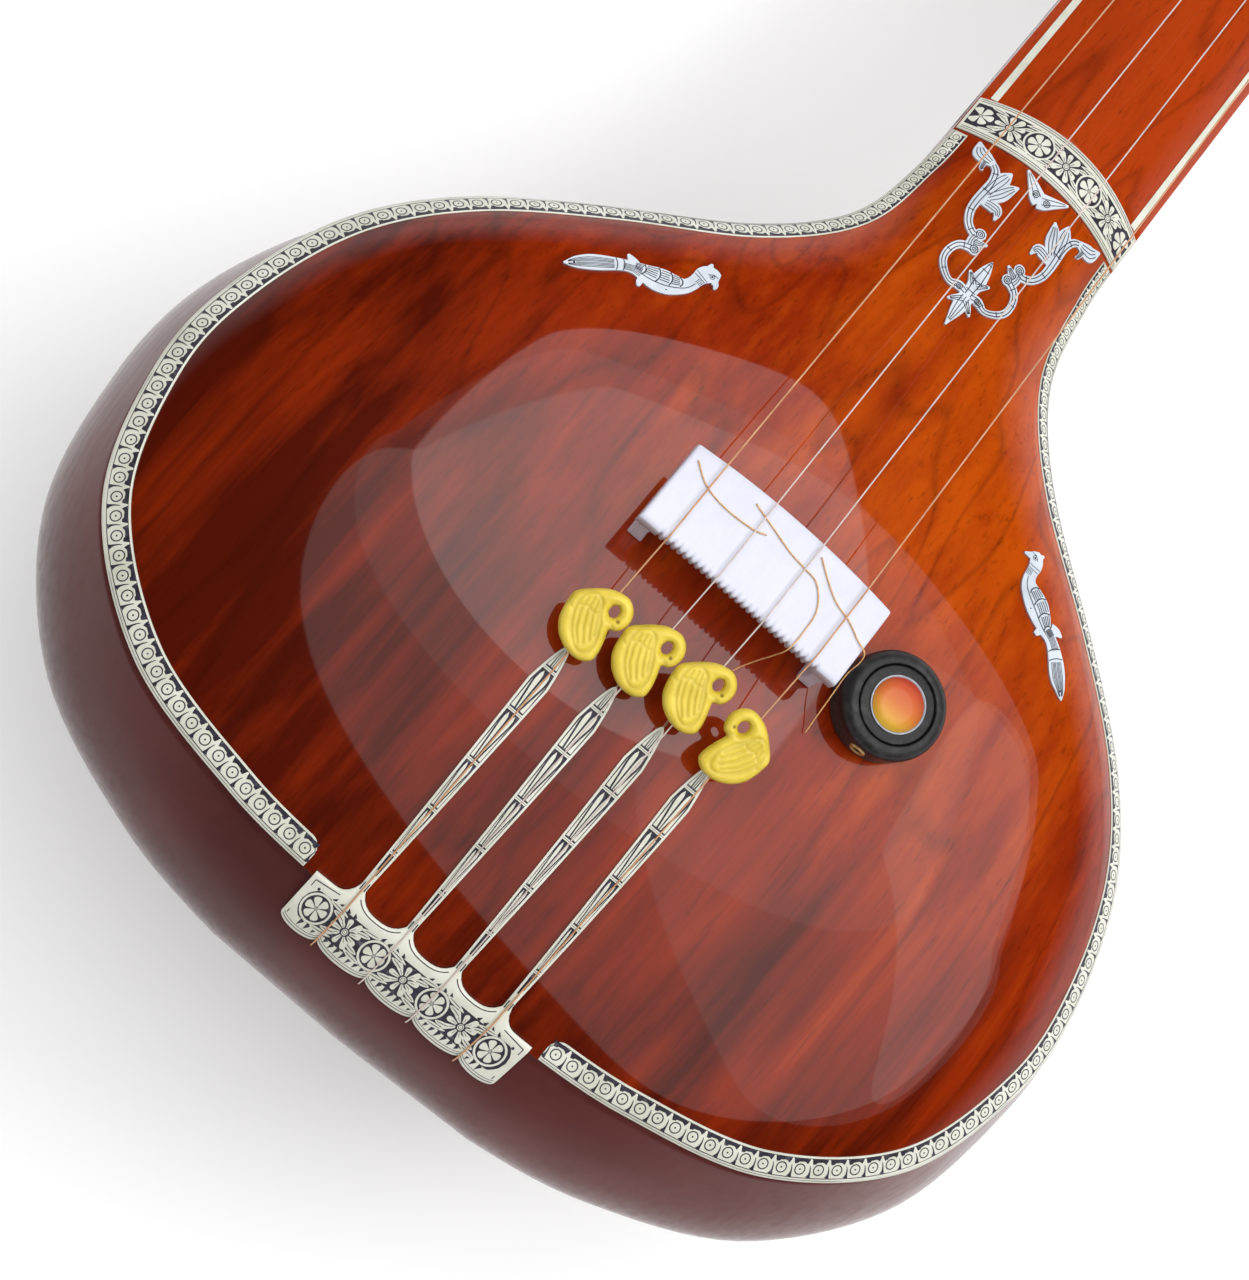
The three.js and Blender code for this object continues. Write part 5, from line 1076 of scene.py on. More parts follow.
tip_share = mixed(TONGUE_WIDE_SHARE, 1.0, np.sin(np.linspace(0.05, math.pi / 2, 16)))
share = np.concatenate([np.linspace(0.0, TONGUE_WIDE_SHARE, 30), tip_share])
y = mixed(PLATE_TOP_Y, TONGUE_TIP_Y, share)
for i, middle in enumerate(course_x):
    rows = stacked(middle, y, tongue_half(share))
    rows = np.concatenate([[(middle, TONGUE_ROOT_Y, TONGUE_NARROW)], rows])
    tongue = strips_object(f"tongue_{i + 1}", [ribbon(rows, skin_place(INLAY_RISE), 0.9)], white_finish)
    inlaid(f"string_inlay_{i + 1}", tongue)
    inside = np.maximum(0.05, tongue_half(share) - TONGUE_RIM)
    ground = [stacked(middle, y, inside)[1:-4]]
    white = []
    dark = []
    for bar_y, next_y in zip(TONGUE_BARS, TONGUE_BARS[1:] + (TONGUE_TIP_Y + 4.0,)):
        at = np.linspace(0.0, 1.0, 12)
        panel_y = mixed(bar_y + 1.1, next_y - 1.1, at)
        wide = tongue_half((panel_y - PLATE_TOP_Y) / (TONGUE_TIP_Y - PLATE_TOP_Y)) - TONGUE_RIM
        swell = np.sqrt(np.maximum(0.0, 1 - (np.maximum(0.0, at - 0.72) / 0.28) ** 2))
        for turn_side in (-1.0, 1.0):
            petal_half = np.maximum(0.04, wide * (0.06 + 0.27 * at) * swell)
            white.append(stacked(middle + turn_side * wide * mixed(0.13, 0.46, at), panel_y, petal_half))
            sliver_half = np.maximum(0.03, wide * 0.24 * (1 - at / 0.7))
            sliver_x = middle + turn_side * wide * mixed(0.66, 0.92, at)
            white.append(stacked(sliver_x, panel_y, sliver_half)[:9])
        bar_half = float(wide[0]) + 0.2
        white.append(np.array([(middle - bar_half, bar_y, 0.5), (middle + bar_half, bar_y, 0.5)]))
        dark.append(np.array([(middle - bar_half, bar_y, 0.07), (middle + bar_half, bar_y, 0.07)]))
    engraved(f"string_inlay_{i + 1}", skin_place, ground, white, dark)


# Collar band and neck lines
# A broad bowed band of the same white, with flowers and a rim of double lines, hides the joint of
# soundboard and neck. Plain white lines run on from it along both edges of the neck to the nut.
COLLAR_HALF = THROAT_HALF_WIDTH - 0.3


def collar_place(rise):
    """Place on the collar, from the distance across and a height from -9 at its lower edge to 9 at its
    upper edge."""

    def place(points):
        x, height = points.T
        y = mixed(collar_low(x), collar_high(x), height / COLLAR_WIDTH + 0.5)
        return stacked(x, y, skin_top(x, y) + rise)

    return place


collar_x = np.linspace(-COLLAR_HALF, COLLAR_HALF, 90)
collar_across = np.linspace(-COLLAR_WIDTH / 2, COLLAR_WIDTH / 2, 11)
collar_over = np.stack([collar_place(INLAY_RISE)(stacked(collar_x, up)) for up in collar_across], axis=1)
inlaid("collar_band", ring_piece("collar_white", slab(collar_over, 0.9), white_finish))
COLLAR_BAND_UP = 0.2
COLLAR_BAND_HALF = 5.8
collar_ground = filled_band(collar_x[1:-1], COLLAR_BAND_UP, COLLAR_BAND_HALF, 7)
collar_flowers = flower_band(
    COLLAR_BAND_UP, COLLAR_BAND_HALF, 1.05, (-23.8, 0.0, 23.8), (-34.2, -12.0, 12.0, 34.2)
)
collar_white, collar_dark = (within(strips, COLLAR_HALF - 0.3) for strips in collar_flowers)
for line_up, half in ((-8.1, 0.12), (-7.2, 0.14), (7.3, 0.14), (8.2, 0.12)):
    collar_ground.append(stacked(collar_x[1:-1], line_up, half))
engraved("collar_band", collar_place, collar_ground, collar_white, collar_dark)

NECK_LINE_IN = 3.2
NECK_LINE_WIDTH = 2.6
NUT_Y = 920.0
line_start = float(collar_high(THROAT_HALF_WIDTH - NECK_LINE_IN - NECK_LINE_WIDTH)) + 0.6
for name, side in {"neck_strip_left": -1.0, "neck_strip_right": 1.0}.items():
    y = np.linspace(line_start, NUT_Y - 2 * NECK_LINE_WIDTH, 60)
    x = side * (neck_half_width(y) - NECK_LINE_IN - NECK_LINE_WIDTH / 2)
    rows = stacked(x, y, NECK_LINE_WIDTH / 2)
    line = strips_object(f"{name}_white", [ribbon(rows, skin_place(INLAY_RISE - 0.3), 0.7)], white_finish)
    inlaid(name, line)


# Peacocks, vine and spray
# Small figures in the same white: a long-tailed bird on each shoulder, a branching vine with a bud in
# the throat, and a little spray above it. Each is cut from ribbons that swell and taper.
ORNAMENT_SCALE = 100.0
VINE_OFF_CENTRE = 0.6
LEAF_FULLNESS = 1.2
left_peacock_shares = [
    [(-1.082, 0.808, 0.002), (-1.065, 0.824, 0.014), (-1.049, 0.841, 0.022), (-1.019, 0.871, 0.028),
     (-0.986, 0.899, 0.027), (-0.953, 0.926, 0.023), (-0.926, 0.945, 0.021), (-0.9, 0.958, 0.023),
     (-0.87, 0.966, 0.031), (-0.831, 0.976, 0.042), (-0.794, 0.991, 0.043), (-0.764, 1.007, 0.035),
     (-0.739, 1.027, 0.026), (-0.727, 1.052, 0.023), (-0.722, 1.079, 0.024), (-0.716, 1.104, 0.03),
     (-0.702, 1.123, 0.03), (-0.685, 1.133, 0.022), (-0.67, 1.137, 0.01)],
    [(-0.897, 0.966, 0.015), (-0.921, 0.975, 0.013), (-0.945, 0.985, 0.003)],
    [(-0.863, 0.944, 0.009), (-0.859, 0.928, 0.009), (-0.853, 0.914, 0.004)],
    [(-0.714, 1.136, 0.01), (-0.716, 1.148, 0.008), (-0.717, 1.161, 0.003)],
    [(-0.682, 1.122, 0.012), (-0.676, 1.111, 0.011), (-0.665, 1.102, 0.008), (-0.66, 1.087, 0.003)],
]
right_peacock_shares = [
    [(1.092, 0.812, 0.002), (1.078, 0.827, 0.013), (1.064, 0.842, 0.021), (1.044, 0.86, 0.029),
     (1.024, 0.881, 0.032), (0.998, 0.91, 0.03), (0.965, 0.94, 0.025), (0.936, 0.957, 0.023),
     (0.906, 0.968, 0.028), (0.875, 0.987, 0.039), (0.841, 1.01, 0.046), (0.806, 1.028, 0.041),
     (0.778, 1.045, 0.033), (0.762, 1.067, 0.025), (0.757, 1.096, 0.022), (0.755, 1.125, 0.026),
     (0.746, 1.148, 0.026), (0.738, 1.162, 0.019), (0.733, 1.17, 0.009)],
    [(0.925, 0.985, 0.018), (0.95, 0.992, 0.013), (0.973, 0.992, 0.003)],
    [(0.896, 0.955, 0.01), (0.889, 0.94, 0.01), (0.885, 0.927, 0.006)],
    [(0.75, 1.155, 0.009), (0.757, 1.165, 0.008), (0.764, 1.178, 0.003)],
    [(0.735, 1.152, 0.014), (0.722, 1.143, 0.011), (0.709, 1.138, 0.007), (0.696, 1.133, 0.003)],
]
vine_shares = [
    [(-0.005, -0.62, 0.014), (-0.043, -0.615, 0.018), (-0.08, -0.625, 0.0125), (-0.118, -0.603, 0.013),
     (-0.143, -0.568, 0.0135), (-0.146, -0.525, 0.014), (-0.132, -0.488, 0.015), (-0.107, -0.472, 0.017),
     (-0.082, -0.464, 0.02)],
    [(-0.093, -0.407, 0.02), (-0.117, -0.413, 0.016), (-0.15, -0.39, 0.0145), (-0.171, -0.346, 0.0155),
     (-0.175, -0.296, 0.0175), (-0.172, -0.241, 0.0185), (-0.173, -0.195, 0.016), (-0.186, -0.154, 0.014),
     (-0.212, -0.132, 0.011)],
    [(-0.208, -0.135, 0.011), (-0.24, -0.13, 0.021), (-0.268, -0.119, 0.023), (-0.292, -0.083, 0.003)],
    [(-0.237, -0.135, 0.008), (-0.234, -0.169, 0.007), (-0.224, -0.18, 0.002)],
    [(-0.168, -0.27, 0.017), (-0.158, -0.206, 0.025), (-0.147, -0.162, 0.023), (-0.137, -0.124, 0.003)],
    [(-0.164, -0.28, 0.014), (-0.128, -0.225, 0.025), (-0.108, -0.185, 0.018), (-0.088, -0.154, 0.003)],
    [(-0.168, -0.285, 0.013), (-0.116, -0.279, 0.019), (-0.093, -0.287, 0.013), (-0.086, -0.32, 0.003)],
    [(-0.096, -0.464, 0.018), (-0.104, -0.437, 0.014), (-0.096, -0.407, 0.018)],
    [(-0.1, -0.442, 0.013), (-0.075, -0.432, 0.012), (-0.05, -0.418, 0.003)],
    [(0.0, -0.58, 0.018), (-0.026, -0.555, 0.011), (-0.046, -0.538, 0.003)],
    [(0.0, -0.64, 0.018), (-0.03, -0.664, 0.01), (-0.05, -0.683, 0.003)],
]
vine_middle_shares = [
    [(0.0, -0.625, 0.025), (0.0, -0.597, 0.025), (0.0, -0.556, 0.03), (0.0, -0.506, 0.022),
     (0.0, -0.476, 0.012), (0.0, -0.455, 0.003)],
    [(0.0, -0.62, 0.025), (0.0, -0.654, 0.03), (0.0, -0.702, 0.022), (0.0, -0.74, 0.011),
     (0.0, -0.77, 0.003)],
]
spray_shares = [
    [(-0.096, -0.071, 0.003), (-0.05, -0.105, 0.016), (-0.017, -0.13, 0.025), (0.006, -0.142, 0.026)],
]


def mirror_rows(strokes):
    return [[(-x, y, half) for x, y, half in rows] for rows in strokes]


def strokes_at(shares, x, y):
    """Strokes in millimetres. Short ones, the leaves and crests, are drawn a little fuller."""
    strokes = []
    for rows in shares:
        fuller = 1.0 if len(rows) > 4 else LEAF_FULLNESS
        strokes.append(np.array(rows) * ORNAMENT_SCALE * [1, 1, fuller] + [x, y, 0.0])
    return strokes


def eased_rows(rows, per_step=7):
    """Rows of a ribbon made smooth: the centre line and the width as one curve."""
    rows = np.asarray(rows, dtype=float)
    if len(rows) < 3:
        at = np.linspace(0.0, 1.0, 5)[:, None]
        return mixed(rows[:1], rows[-1:], at)
    made = spline_table(rows, per_step * (len(rows) - 1))
    made[:, 2] = np.maximum(made[:, 2], 0.15)
    return made


def cut_across(rows, at, low, high, half, bow=0.0):
    """A short cut across a ribbon at a share of its length, from one share of its half width to another.
    Its middle is bowed along the ribbon."""
    j = int(round((len(rows) - 1) * at))
    along, side = frame_of(rows)
    span = np.linspace(low, high, 6)
    bowed = bow * (1 - np.linspace(-1.0, 1.0, 6) ** 2)
    points = rows[j, :2] + side[j] * (rows[j, 2] * span)[:, None] + along[j] * bowed[:, None]
    return np.concatenate([points, np.full((6, 1), half)], axis=1)


def cut_along(rows, start, end, across, half):
    """A cut that follows a ribbon between two shares of its length, at a share of its half width."""
    low, high = (int(round((len(rows) - 1) * share)) for share in (start, end))
    along, side = frame_of(rows)
    points = (rows[:, :2] + side * rows[:, 2:3] * across)[low : high + 1]
    return np.concatenate([points, np.full((len(points), 1), half)], axis=1)


def bird_cuts(rows, belly):
    """Tail, feathers, wing and neck of one bird. The belly is on the side -1 or 1 of the ribbon."""
    cuts = [cut_along(rows, 0.04, 0.27, across, 0.1) for across in (-0.62, -0.44, -0.26, 0.26, 0.44, 0.62)]
    cuts += [cut_along(rows, 0.1, 0.27, across, 0.09) for across in (-0.1, 0.1)]
    tip = rows[int(len(rows) * 0.09)]
    cuts.append(dot_rows(tip[0], tip[1], 0.42))
    for at in (0.275, 0.315):
        cuts.append(cut_across(rows, at, -0.95, 0.95, 0.16, 0.5))
    cuts += [cut_along(rows, 0.32, 0.44, across, 0.09) for across in (-0.7, -0.5, -0.3, -0.1, 0.1, 0.3)]
    for k in range(4):
        at = 0.44 + 0.065 * k
        cuts.append(cut_across(rows, at, -belly * 0.98, belly * (0.35 - 0.08 * k), 0.2, 1.0))
        for across in (-0.85, -0.65, -0.45, -0.25, -0.05):
            cuts.append(cut_along(rows, at - 0.05, at, belly * across, 0.13))
    cuts.append(cut_along(rows, 0.42, 0.74, belly * 0.28, 0.14))
    j = int(len(rows) * 0.56)
    dot = rows[j, :2] + frame_of(rows)[1][j] * belly * rows[j, 2] * 0.62
    cuts.append(dot_rows(dot[0], dot[1], 0.26))
    for at in (0.79, 0.815):
        cuts.append(cut_across(rows, at, -0.9, 0.9, 0.12))
    for across in (0.85, 0.6, 0.35, 0.1):
        cuts.append(cut_along(rows, 0.745, 0.785, belly * across, 0.1))
    return cuts


def vine_cuts(strokes):
    """Two lines inside each stem with a joint across it now and then, and rays in each leaf."""
    cuts = []
    for rows in strokes:
        if len(rows) > 30:
            cuts += [cut_along(rows, 0.03, 0.97, across, 0.17) for across in (-0.45, 0.45)]
            cuts += [cut_across(rows, at, -0.8, 0.8, 0.16) for at in (0.18, 0.4, 0.62, 0.84)]
        else:
            cuts += [cut_along(rows, 0.12, 0.8, across, 0.14) for across in (-0.5, 0.0, 0.5)]
    return cuts


def ring_cuts(places):
    """Two rings and a dot at each place, given with its radius."""
    cuts = []
    for x, y, radius in places:
        cuts += [circle_rows(x, y, radius, 0.17, 20), circle_rows(x, y, radius * 0.52, 0.15, 14)]
        cuts.append(dot_rows(x, y, 0.28))
    return cuts


volutes = [
    (VINE_OFF_CENTRE + side * x, y, radius)
    for x, y, radius in ((9.3, 179.9, 2.3), (7.9, 173.6, 2.2), (4.2, 158.3, 1.7))
    for side in (-1.0, 1.0)
]
spray_rings = [(-2.3, 207.2, 1.9), (2.9, 207.1, 1.9)]
figures = {
    "peacock_left": strokes_at(left_peacock_shares, 0.0, BOARD_MIDDLE_Y),
    "peacock_right": strokes_at(right_peacock_shares, 0.0, BOARD_MIDDLE_Y),
    "throat_vine": strokes_at(
        vine_middle_shares + vine_shares + mirror_rows(vine_shares), VINE_OFF_CENTRE, NECK_START_Y
    ),
    "throat_spray": strokes_at(spray_shares + mirror_rows(spray_shares), 0.0, NECK_START_Y),
}
eyes = {"peacock_left": (-69.1, 98.0), "peacock_right": (73.8, 100.6)}
for name, strokes in figures.items():
    smooth_rows = [eased_rows(rows) for rows in strokes]
    discs = {"throat_vine": volutes, "throat_spray": spray_rings}.get(name, [])
    strips = smooth_rows + [dot_rows(x, y, radius, 10) for x, y, radius in discs]
    figure = strips_object(
        f"{name}_white",
        [ribbon(rows, skin_place(INLAY_RISE - 0.004 * k), 0.95) for k, rows in enumerate(strips)],
        pearl_finish,
    )
    inlaid(name, figure)
    if name in eyes:
        eye_x, eye_y = eyes[name]
        toward = math.copysign(1.0, eye_x)
        cuts = bird_cuts(smooth_rows[0], toward)
        cuts += [dot_rows(eye_x, eye_y, 0.42), circle_rows(eye_x, eye_y, 0.85, 0.1, 12)]
        brow = [(toward * 1.6, -0.3, 0.1), (0.0, 1.0, 0.16), (toward * -1.8, 1.0, 0.1)]
        cuts.append(np.array(brow) + [eye_x, eye_y, 0.0])
    elif name == "throat_vine":
        cuts = vine_cuts(smooth_rows) + ring_cuts([(x, y, radius * 0.66) for x, y, radius in volutes])
    else:
        cuts = [cut_along(rows, 0.1, 0.75, across, 0.14) for rows in smooth_rows for across in (-0.4, 0.4)]
        cuts += ring_cuts([(x, y, radius * 0.66) for x, y, radius in spray_rings])
    engraved(name, skin_place, cuts)


# Bridge
# A broad bridge, here moulded in white. Its nearly flat top makes the strings buzz. The back edge is
# bowed, the front edge is notched along the middle, and a foot stands under each end.
BRIDGE_FRONT_Y = 10.0
BRIDGE_DEPTH = 30.0
BRIDGE_HALF = 39.5
BRIDGE_BOW = 2.4
BRIDGE_PLATE = 5.0
BRIDGE_ARCH = 3.0
BRIDGE_FOOT = 7.0
BRIDGE_FOOT_DEPTH = 16.0
BRIDGE_WAIST = 0.9
BRIDGE_EDGE = 1.2
BRIDGE_ROUND = 2.4
NOTCHED_HALF = 32.0
NOTCH_PITCH = 2.3
NOTCH_DEPTH = 0.8


def bridge_white():
    """Cool white plastic: barely mottled, with scuffs that change its gloss."""
    made, shader, place = finish("bridge_white")
    scuff = place.stretched((300.0, 160.0, 200.0)).noise(1.0, 4.0, 0.65)
    cloud = place.noise(40.0, 2.0)
    tone = scuff * 0.5 + cloud * 0.5
    feed(shader, Base_Color=tone.ramp((0.3, 197, 198, 211), (0.65, 208, 209, 222)))
    feed(shader, Roughness=scuff.between(0.3, 0.7, 0.34, 0.5), Coat_Weight=0.2, Coat_Roughness=0.2)
    feed(shader, Subsurface_Weight=0.08, Subsurface_Radius=(0.004, 0.004, 0.004))
    feed(shader, Normal=scuff.bumped(0.08, 0.0003))
    return made


bridge_finish = bridge_white()
bridge_x = np.linspace(-BRIDGE_HALF, BRIDGE_HALF, 421)
tooth = np.abs(((bridge_x / NOTCH_PITCH) % 1.0) - 0.5) * 2
notch = np.where(np.abs(bridge_x) < NOTCHED_HALF, NOTCH_DEPTH * np.clip(1.3 - 2.2 * tooth, 0.0, 1.0), 0.0)
near_end = ((np.abs(bridge_x) - BRIDGE_HALF + BRIDGE_EDGE) / BRIDGE_EDGE).clip(0)
end_round = np.sqrt(np.clip(1 - near_end**2, 0, 1))
under = BRIDGE_TOP - BRIDGE_PLATE - BRIDGE_ARCH * (bridge_x / BRIDGE_HALF) ** 2
arc = np.linspace(0.0, math.pi / 2, 6)
ring = []
drop = BRIDGE_EDGE * (1 - end_round)
front = BRIDGE_FRONT_Y + notch
back = BRIDGE_FRONT_Y + BRIDGE_DEPTH + BRIDGE_BOW * (1 - (bridge_x / BRIDGE_HALF) ** 2)
for edge, inward, turns in ((front, 1.0, arc), (back, -1.0, arc[::-1])):
    for a in turns:
        height = BRIDGE_TOP - drop - BRIDGE_EDGE * (1 - math.sin(a))
        ring.append((edge + inward * BRIDGE_ROUND * (1 - math.cos(a)), height))
ring.append((back - 0.3, under + 1.0))
ring.append((back - BRIDGE_EDGE, under))
ring.append((BRIDGE_FRONT_Y + BRIDGE_EDGE, under))
ring.append((front + 0.2, under + 0.8))
bridge_rings = np.stack([stacked(bridge_x, y, z) for y, z in ring], axis=1)
bridge = ring_piece("bridge_plate", bridge_rings, bridge_finish)
dress(bridge, "bridge", "body", "bridge_white")
inner = BRIDGE_HALF - BRIDGE_FOOT
outer = BRIDGE_HALF - BRIDGE_EDGE
foot_front = BRIDGE_FRONT_Y + BRIDGE_EDGE
waist = BRIDGE_WAIST * np.sin(np.linspace(0.0, math.pi, 10))
foot = []
for y in np.linspace(foot_front, foot_front + BRIDGE_FOOT_DEPTH, 24):
    z = np.linspace(float(board_top(inner, y)) + 0.3, BRIDGE_TOP - BRIDGE_PLATE + 0.5, 10)
    foot.append(np.concatenate([stacked(outer - waist, y, z), stacked(inner + waist, y, z[::-1])]))
for name, side in {"bridge_foot_left": -1.0, "bridge_foot_right": 1.0}.items():
    made = ring_piece(name, np.array(foot) * [side, 1.0, 1.0], bridge_finish)
    bevel = made.modifiers.new("worn_edge", "BEVEL")
    bevel.width = 0.0006
    bevel.segments = 3
    bevel.limit_method = "ANGLE"
    dress(made, None, "body", "bridge_white")


# Pegs
# Turned rosewood pegs: a tapered shank through the neck, and a waisted head with rings cut in it. Each
# string ends in two turns round its shank.
NECK_SIDE_PEG_DEPTH = 15.0
PEG_TIP = 4.5
PEG_WALL = 5.6
PEG_BARE = 13.0
PEG_HEAD_RADIUS = 13.0
PEG_HEAD_LENGTH = 44.0
PEG_STEP = 0.5
head_shares = np.array([
    (0.0, 0.62), (0.06, 0.68), (0.12, 0.42), (0.2, 0.38), (0.3, 0.62), (0.45, 0.95), (0.58, 1.0),
    (0.72, 0.82), (0.82, 0.42), (0.88, 0.3), (0.94, 0.34), (1.0, 0.16),
])
peg_places = {"peg_1": (972.0, -1.0, 0.0), "peg_2": (1026.0, 0.0, -10.0), "peg_3": (1052.0, 0.0, 10.0),
              "peg_4": (998.0, 1.0, 0.0)}
string_radii = (0.35, 0.25, 0.25, 0.45)


def peg_wood():
    """Dark rosewood: grain along the peg, narrow black streaks, and a waxed sheen."""
    made, shader, place = finish("peg_wood")
    grain = place.stretched((90.0, 90.0, 90.0)).noise(1.0, 6.0, 0.65)
    streak = place.noise(30.0, 4.0, 0.7)
    tone = grain * 0.55 + streak * 0.45
    feed(shader, Base_Color=tone.ramp((0.3, 30, 12, 6), (0.5, 74, 32, 16), (0.7, 112, 56, 28)))
    feed(shader, Roughness=grain.between(0.3, 0.7, 0.28, 0.45), Coat_Weight=0.5, Coat_Roughness=0.12)
    feed(shader, Normal=grain.bumped(0.15, 0.0003))
    return made


def metal(name, light, dark, roughness, metallic):
    """Drawn or turned metal: brushed streaks of tone and a little tarnish in the roughness."""
    made, shader, place = finish(name)
    streak = place.stretched((700.0, 60.0, 700.0)).noise(1.0, 3.0)
    tarnish = place.noise(160.0, 3.0)
    tone = streak * 0.5 + tarnish * 0.5
    feed(shader, Base_Color=tone.ramp((0.3, *dark), (0.7, *light)), Metallic=metallic)
    feed(shader, Roughness=tarnish.between(0.3, 0.7, roughness, roughness + 0.16))
    feed(shader, Normal=streak.bumped(0.06, 0.0001))
    return made


steel_finish = metal("string_steel", (226, 212, 204), (196, 180, 172), 0.3, 0.3)
bronze_finish = metal("string_bronze", (222, 172, 130), (184, 132, 92), 0.3, 0.3)
brass_finish = metal("anchor_brass", (220, 196, 136), (168, 136, 78), 0.3, 0.6)
peg_finish = peg_wood()
steel = (steel_finish, "steel_string")
bronze = (bronze_finish, "bronze_string")
string_looks = (bronze, steel, steel, bronze)


def peg_axes(y, side, x):
    """Where a peg leaves the wood, its outward direction, and how far its shank reaches inside."""
    if side:
        place = np.array([side * float(neck_half_width(y)), y, float(neck_rim(y)) - NECK_SIDE_PEG_DEPTH])
        reach = 2 * float(neck_half_width(y)) - NECK_WALL / 3
        return place, np.array([side, 0.0, 0.0]), reach
    top = float(neck_top(x, y))
    deep = float(mixed(NECK_DEPTH, NECK_END_DEPTH, neck_share(y)))
    return np.array([x, y, top]), np.array([0.0, 0.0, 1.0]), top - float(neck_rim(y)) + deep - NECK_WALL / 2


def around_axis(place, outward, out, up, angle, across=(0.0, 1.0, 0.0)):
    """A surface of revolution: distance out and up from the place, turned about the outward axis by an
    angle that starts from the direction across."""
    other = np.cross(outward, across)
    around = np.cos(angle)[..., None] * across + np.sin(angle)[..., None] * other
    return place + out[..., None] * around + up[..., None] * outward


def turned_piece(name, place, outward, profile_points, material, around=48, across=(0.0, 1.0, 0.0)):
    """A closed turned solid from its profile, which starts and ends on the axis."""
    out, up = np.array(profile_points).T[:, :, None]
    angle = np.linspace(0.0, 2 * math.pi, around, endpoint=False)[None]
    return ring_piece(name, around_axis(place, outward, out, up, angle, across), material, capped=False)


head_curve = spline_table(head_shares, 110)
groove = sum(0.5 * np.exp(-(((head_curve[:, 0] - at) / 0.012) ** 2)) for at in (0.45, 0.62))
head_out = head_curve[:, 1] * PEG_HEAD_RADIUS - groove
head_up = PEG_BARE + PEG_STEP + head_curve[:, 0] * PEG_HEAD_LENGTH
for i, (name, (y, side, x)) in enumerate(peg_places.items()):
    place, outward, reach = peg_axes(y, side, x)
    points = [(0.0, -reach), (PEG_TIP - 0.5, -reach), (PEG_TIP, -reach + 0.5)]
    points += [(PEG_WALL, 0.0), (PEG_WALL, PEG_BARE), *zip(head_out, head_up), (0.0, head_up[-1])]
    peg = turned_piece(f"{name}_turned", place, outward, points, peg_finish)
    dress(peg, name, name, "peg_wood")
    radius = string_radii[i]
    pitch = 2 * radius + 0.6
    turns = np.linspace(0.0, 2.0, 97)
    coil_out = np.full(97, PEG_WALL + 0.3 + radius)
    coil_up = (PEG_BARE - 2 * pitch) / 2 + pitch * turns
    path = around_axis(place, outward, coil_out, coil_up, 2 * math.pi * turns)
    look, slot_name = string_looks[i]
    coil = wire_piece(f"winding_{i + 1}_wire", path, radius, look, 10)
    dress(coil, f"winding_{i + 1}", name, slot_name)


# Nut, string guide and end cap
# Two bars of bone cross the neck: the strings bend over the first and go through holes in the second.
# A rounded bone plate closes the end of the neck.
GUIDE_Y = 944.0
NUT_HALF = 30.0
NUT_THICKNESS = 5.0
NUT_TOP = 11.0
NUT_ROUND = 0.8
GUIDE_TOP = 15.0
GUIDE_HOLE_Z = 9.0
CAP_ROUND = 3.0


def bone():
    """Bone: creamy, with short fine pores along it and soft clouds."""
    made, shader, place = finish("bone")
    pores = place.stretched((60.0, 700.0, 700.0)).noise(1.0, 3.0)
    cloud = place.noise(60.0, 3.0)
    tone = pores * 0.5 + cloud * 0.5
    feed(shader, Base_Color=tone.ramp((0.3, 196, 184, 150), (0.6, 232, 226, 204)))
    feed(shader, Roughness=pores.between(0.3, 0.7, 0.3, 0.46), Coat_Weight=0.3, Coat_Roughness=0.15)
    feed(shader, Normal=pores.bumped(0.12, 0.0002))
    return made


bone_finish = bone()
bar_x = np.linspace(-NUT_HALF, NUT_HALF, 61)
crown_turn = np.linspace(-math.pi / 2, math.pi / 2, 9)
for name, y, top_z in (("nut", NUT_Y, NUT_TOP), ("string_guide", GUIDE_Y, GUIDE_TOP)):
    low_y = y - NUT_THICKNESS / 2
    high_y = y + NUT_THICKNESS / 2
    foot = np.maximum(neck_top(bar_x, low_y), neck_top(bar_x, high_y)) + 0.05
    ring = [(low_y, foot)]
    for a in crown_turn:
        ring.append((y + NUT_THICKNESS / 2.6 * math.sin(a), top_z - NUT_ROUND + NUT_ROUND * math.cos(a)))
    ring.append((high_y, foot))
    rings = np.stack([stacked(bar_x, ring_y, ring_z) for ring_y, ring_z in ring], axis=1)
    dress(ring_piece(f"{name}_bone", rings, bone_finish), name, "body", "bone")

cap_steps = [(CAP_START_Y, 0.0)]
for a in np.linspace(0.0, math.pi / 2, 10):
    cap_steps.append((NECK_END_Y - CAP_ROUND * (1 - math.sin(a)), CAP_ROUND * (1 - math.cos(a))))
cap_rings = []
for y, shrink in cap_steps:
    section = neck_section(CAP_START_Y, shrink)
    out, down = profile(section, np.linspace(0.0, 1.0, 30))
    across = np.sin(np.linspace(-1.0, 1.0, 30) * math.pi / 2) * section[0]
    crown = stacked(across, y, neck_top(across, CAP_START_Y) - shrink)
    right = stacked(out, y, neck_rim(CAP_START_Y) - down)
    left = right[::-1][1:] * [-1.0, 1.0, 1.0]
    cap_rings.append(np.concatenate([crown, right, left]))
cap = ring_piece("neck_end_cap", cap_rings, bone_finish)
dress(cap, "neck_cap", "body", "bone")


# Strings
# Four wires: bronze outside, steel inside. Each is knotted inside the tail block, comes out through the
# scalloped edge, lies on the tail plate, and runs over bridge and nut to its peg.
HOLE_MOUTH_Y = NOTCH_Y - 3.0
STRING_LIFT = 2 * THREAD_RADIUS + 0.6
KNOT_Y = -120.0
KNOT_Z = -46.5
STRING_BEND = 1.2
DRAWN_RADIUS = 0.28


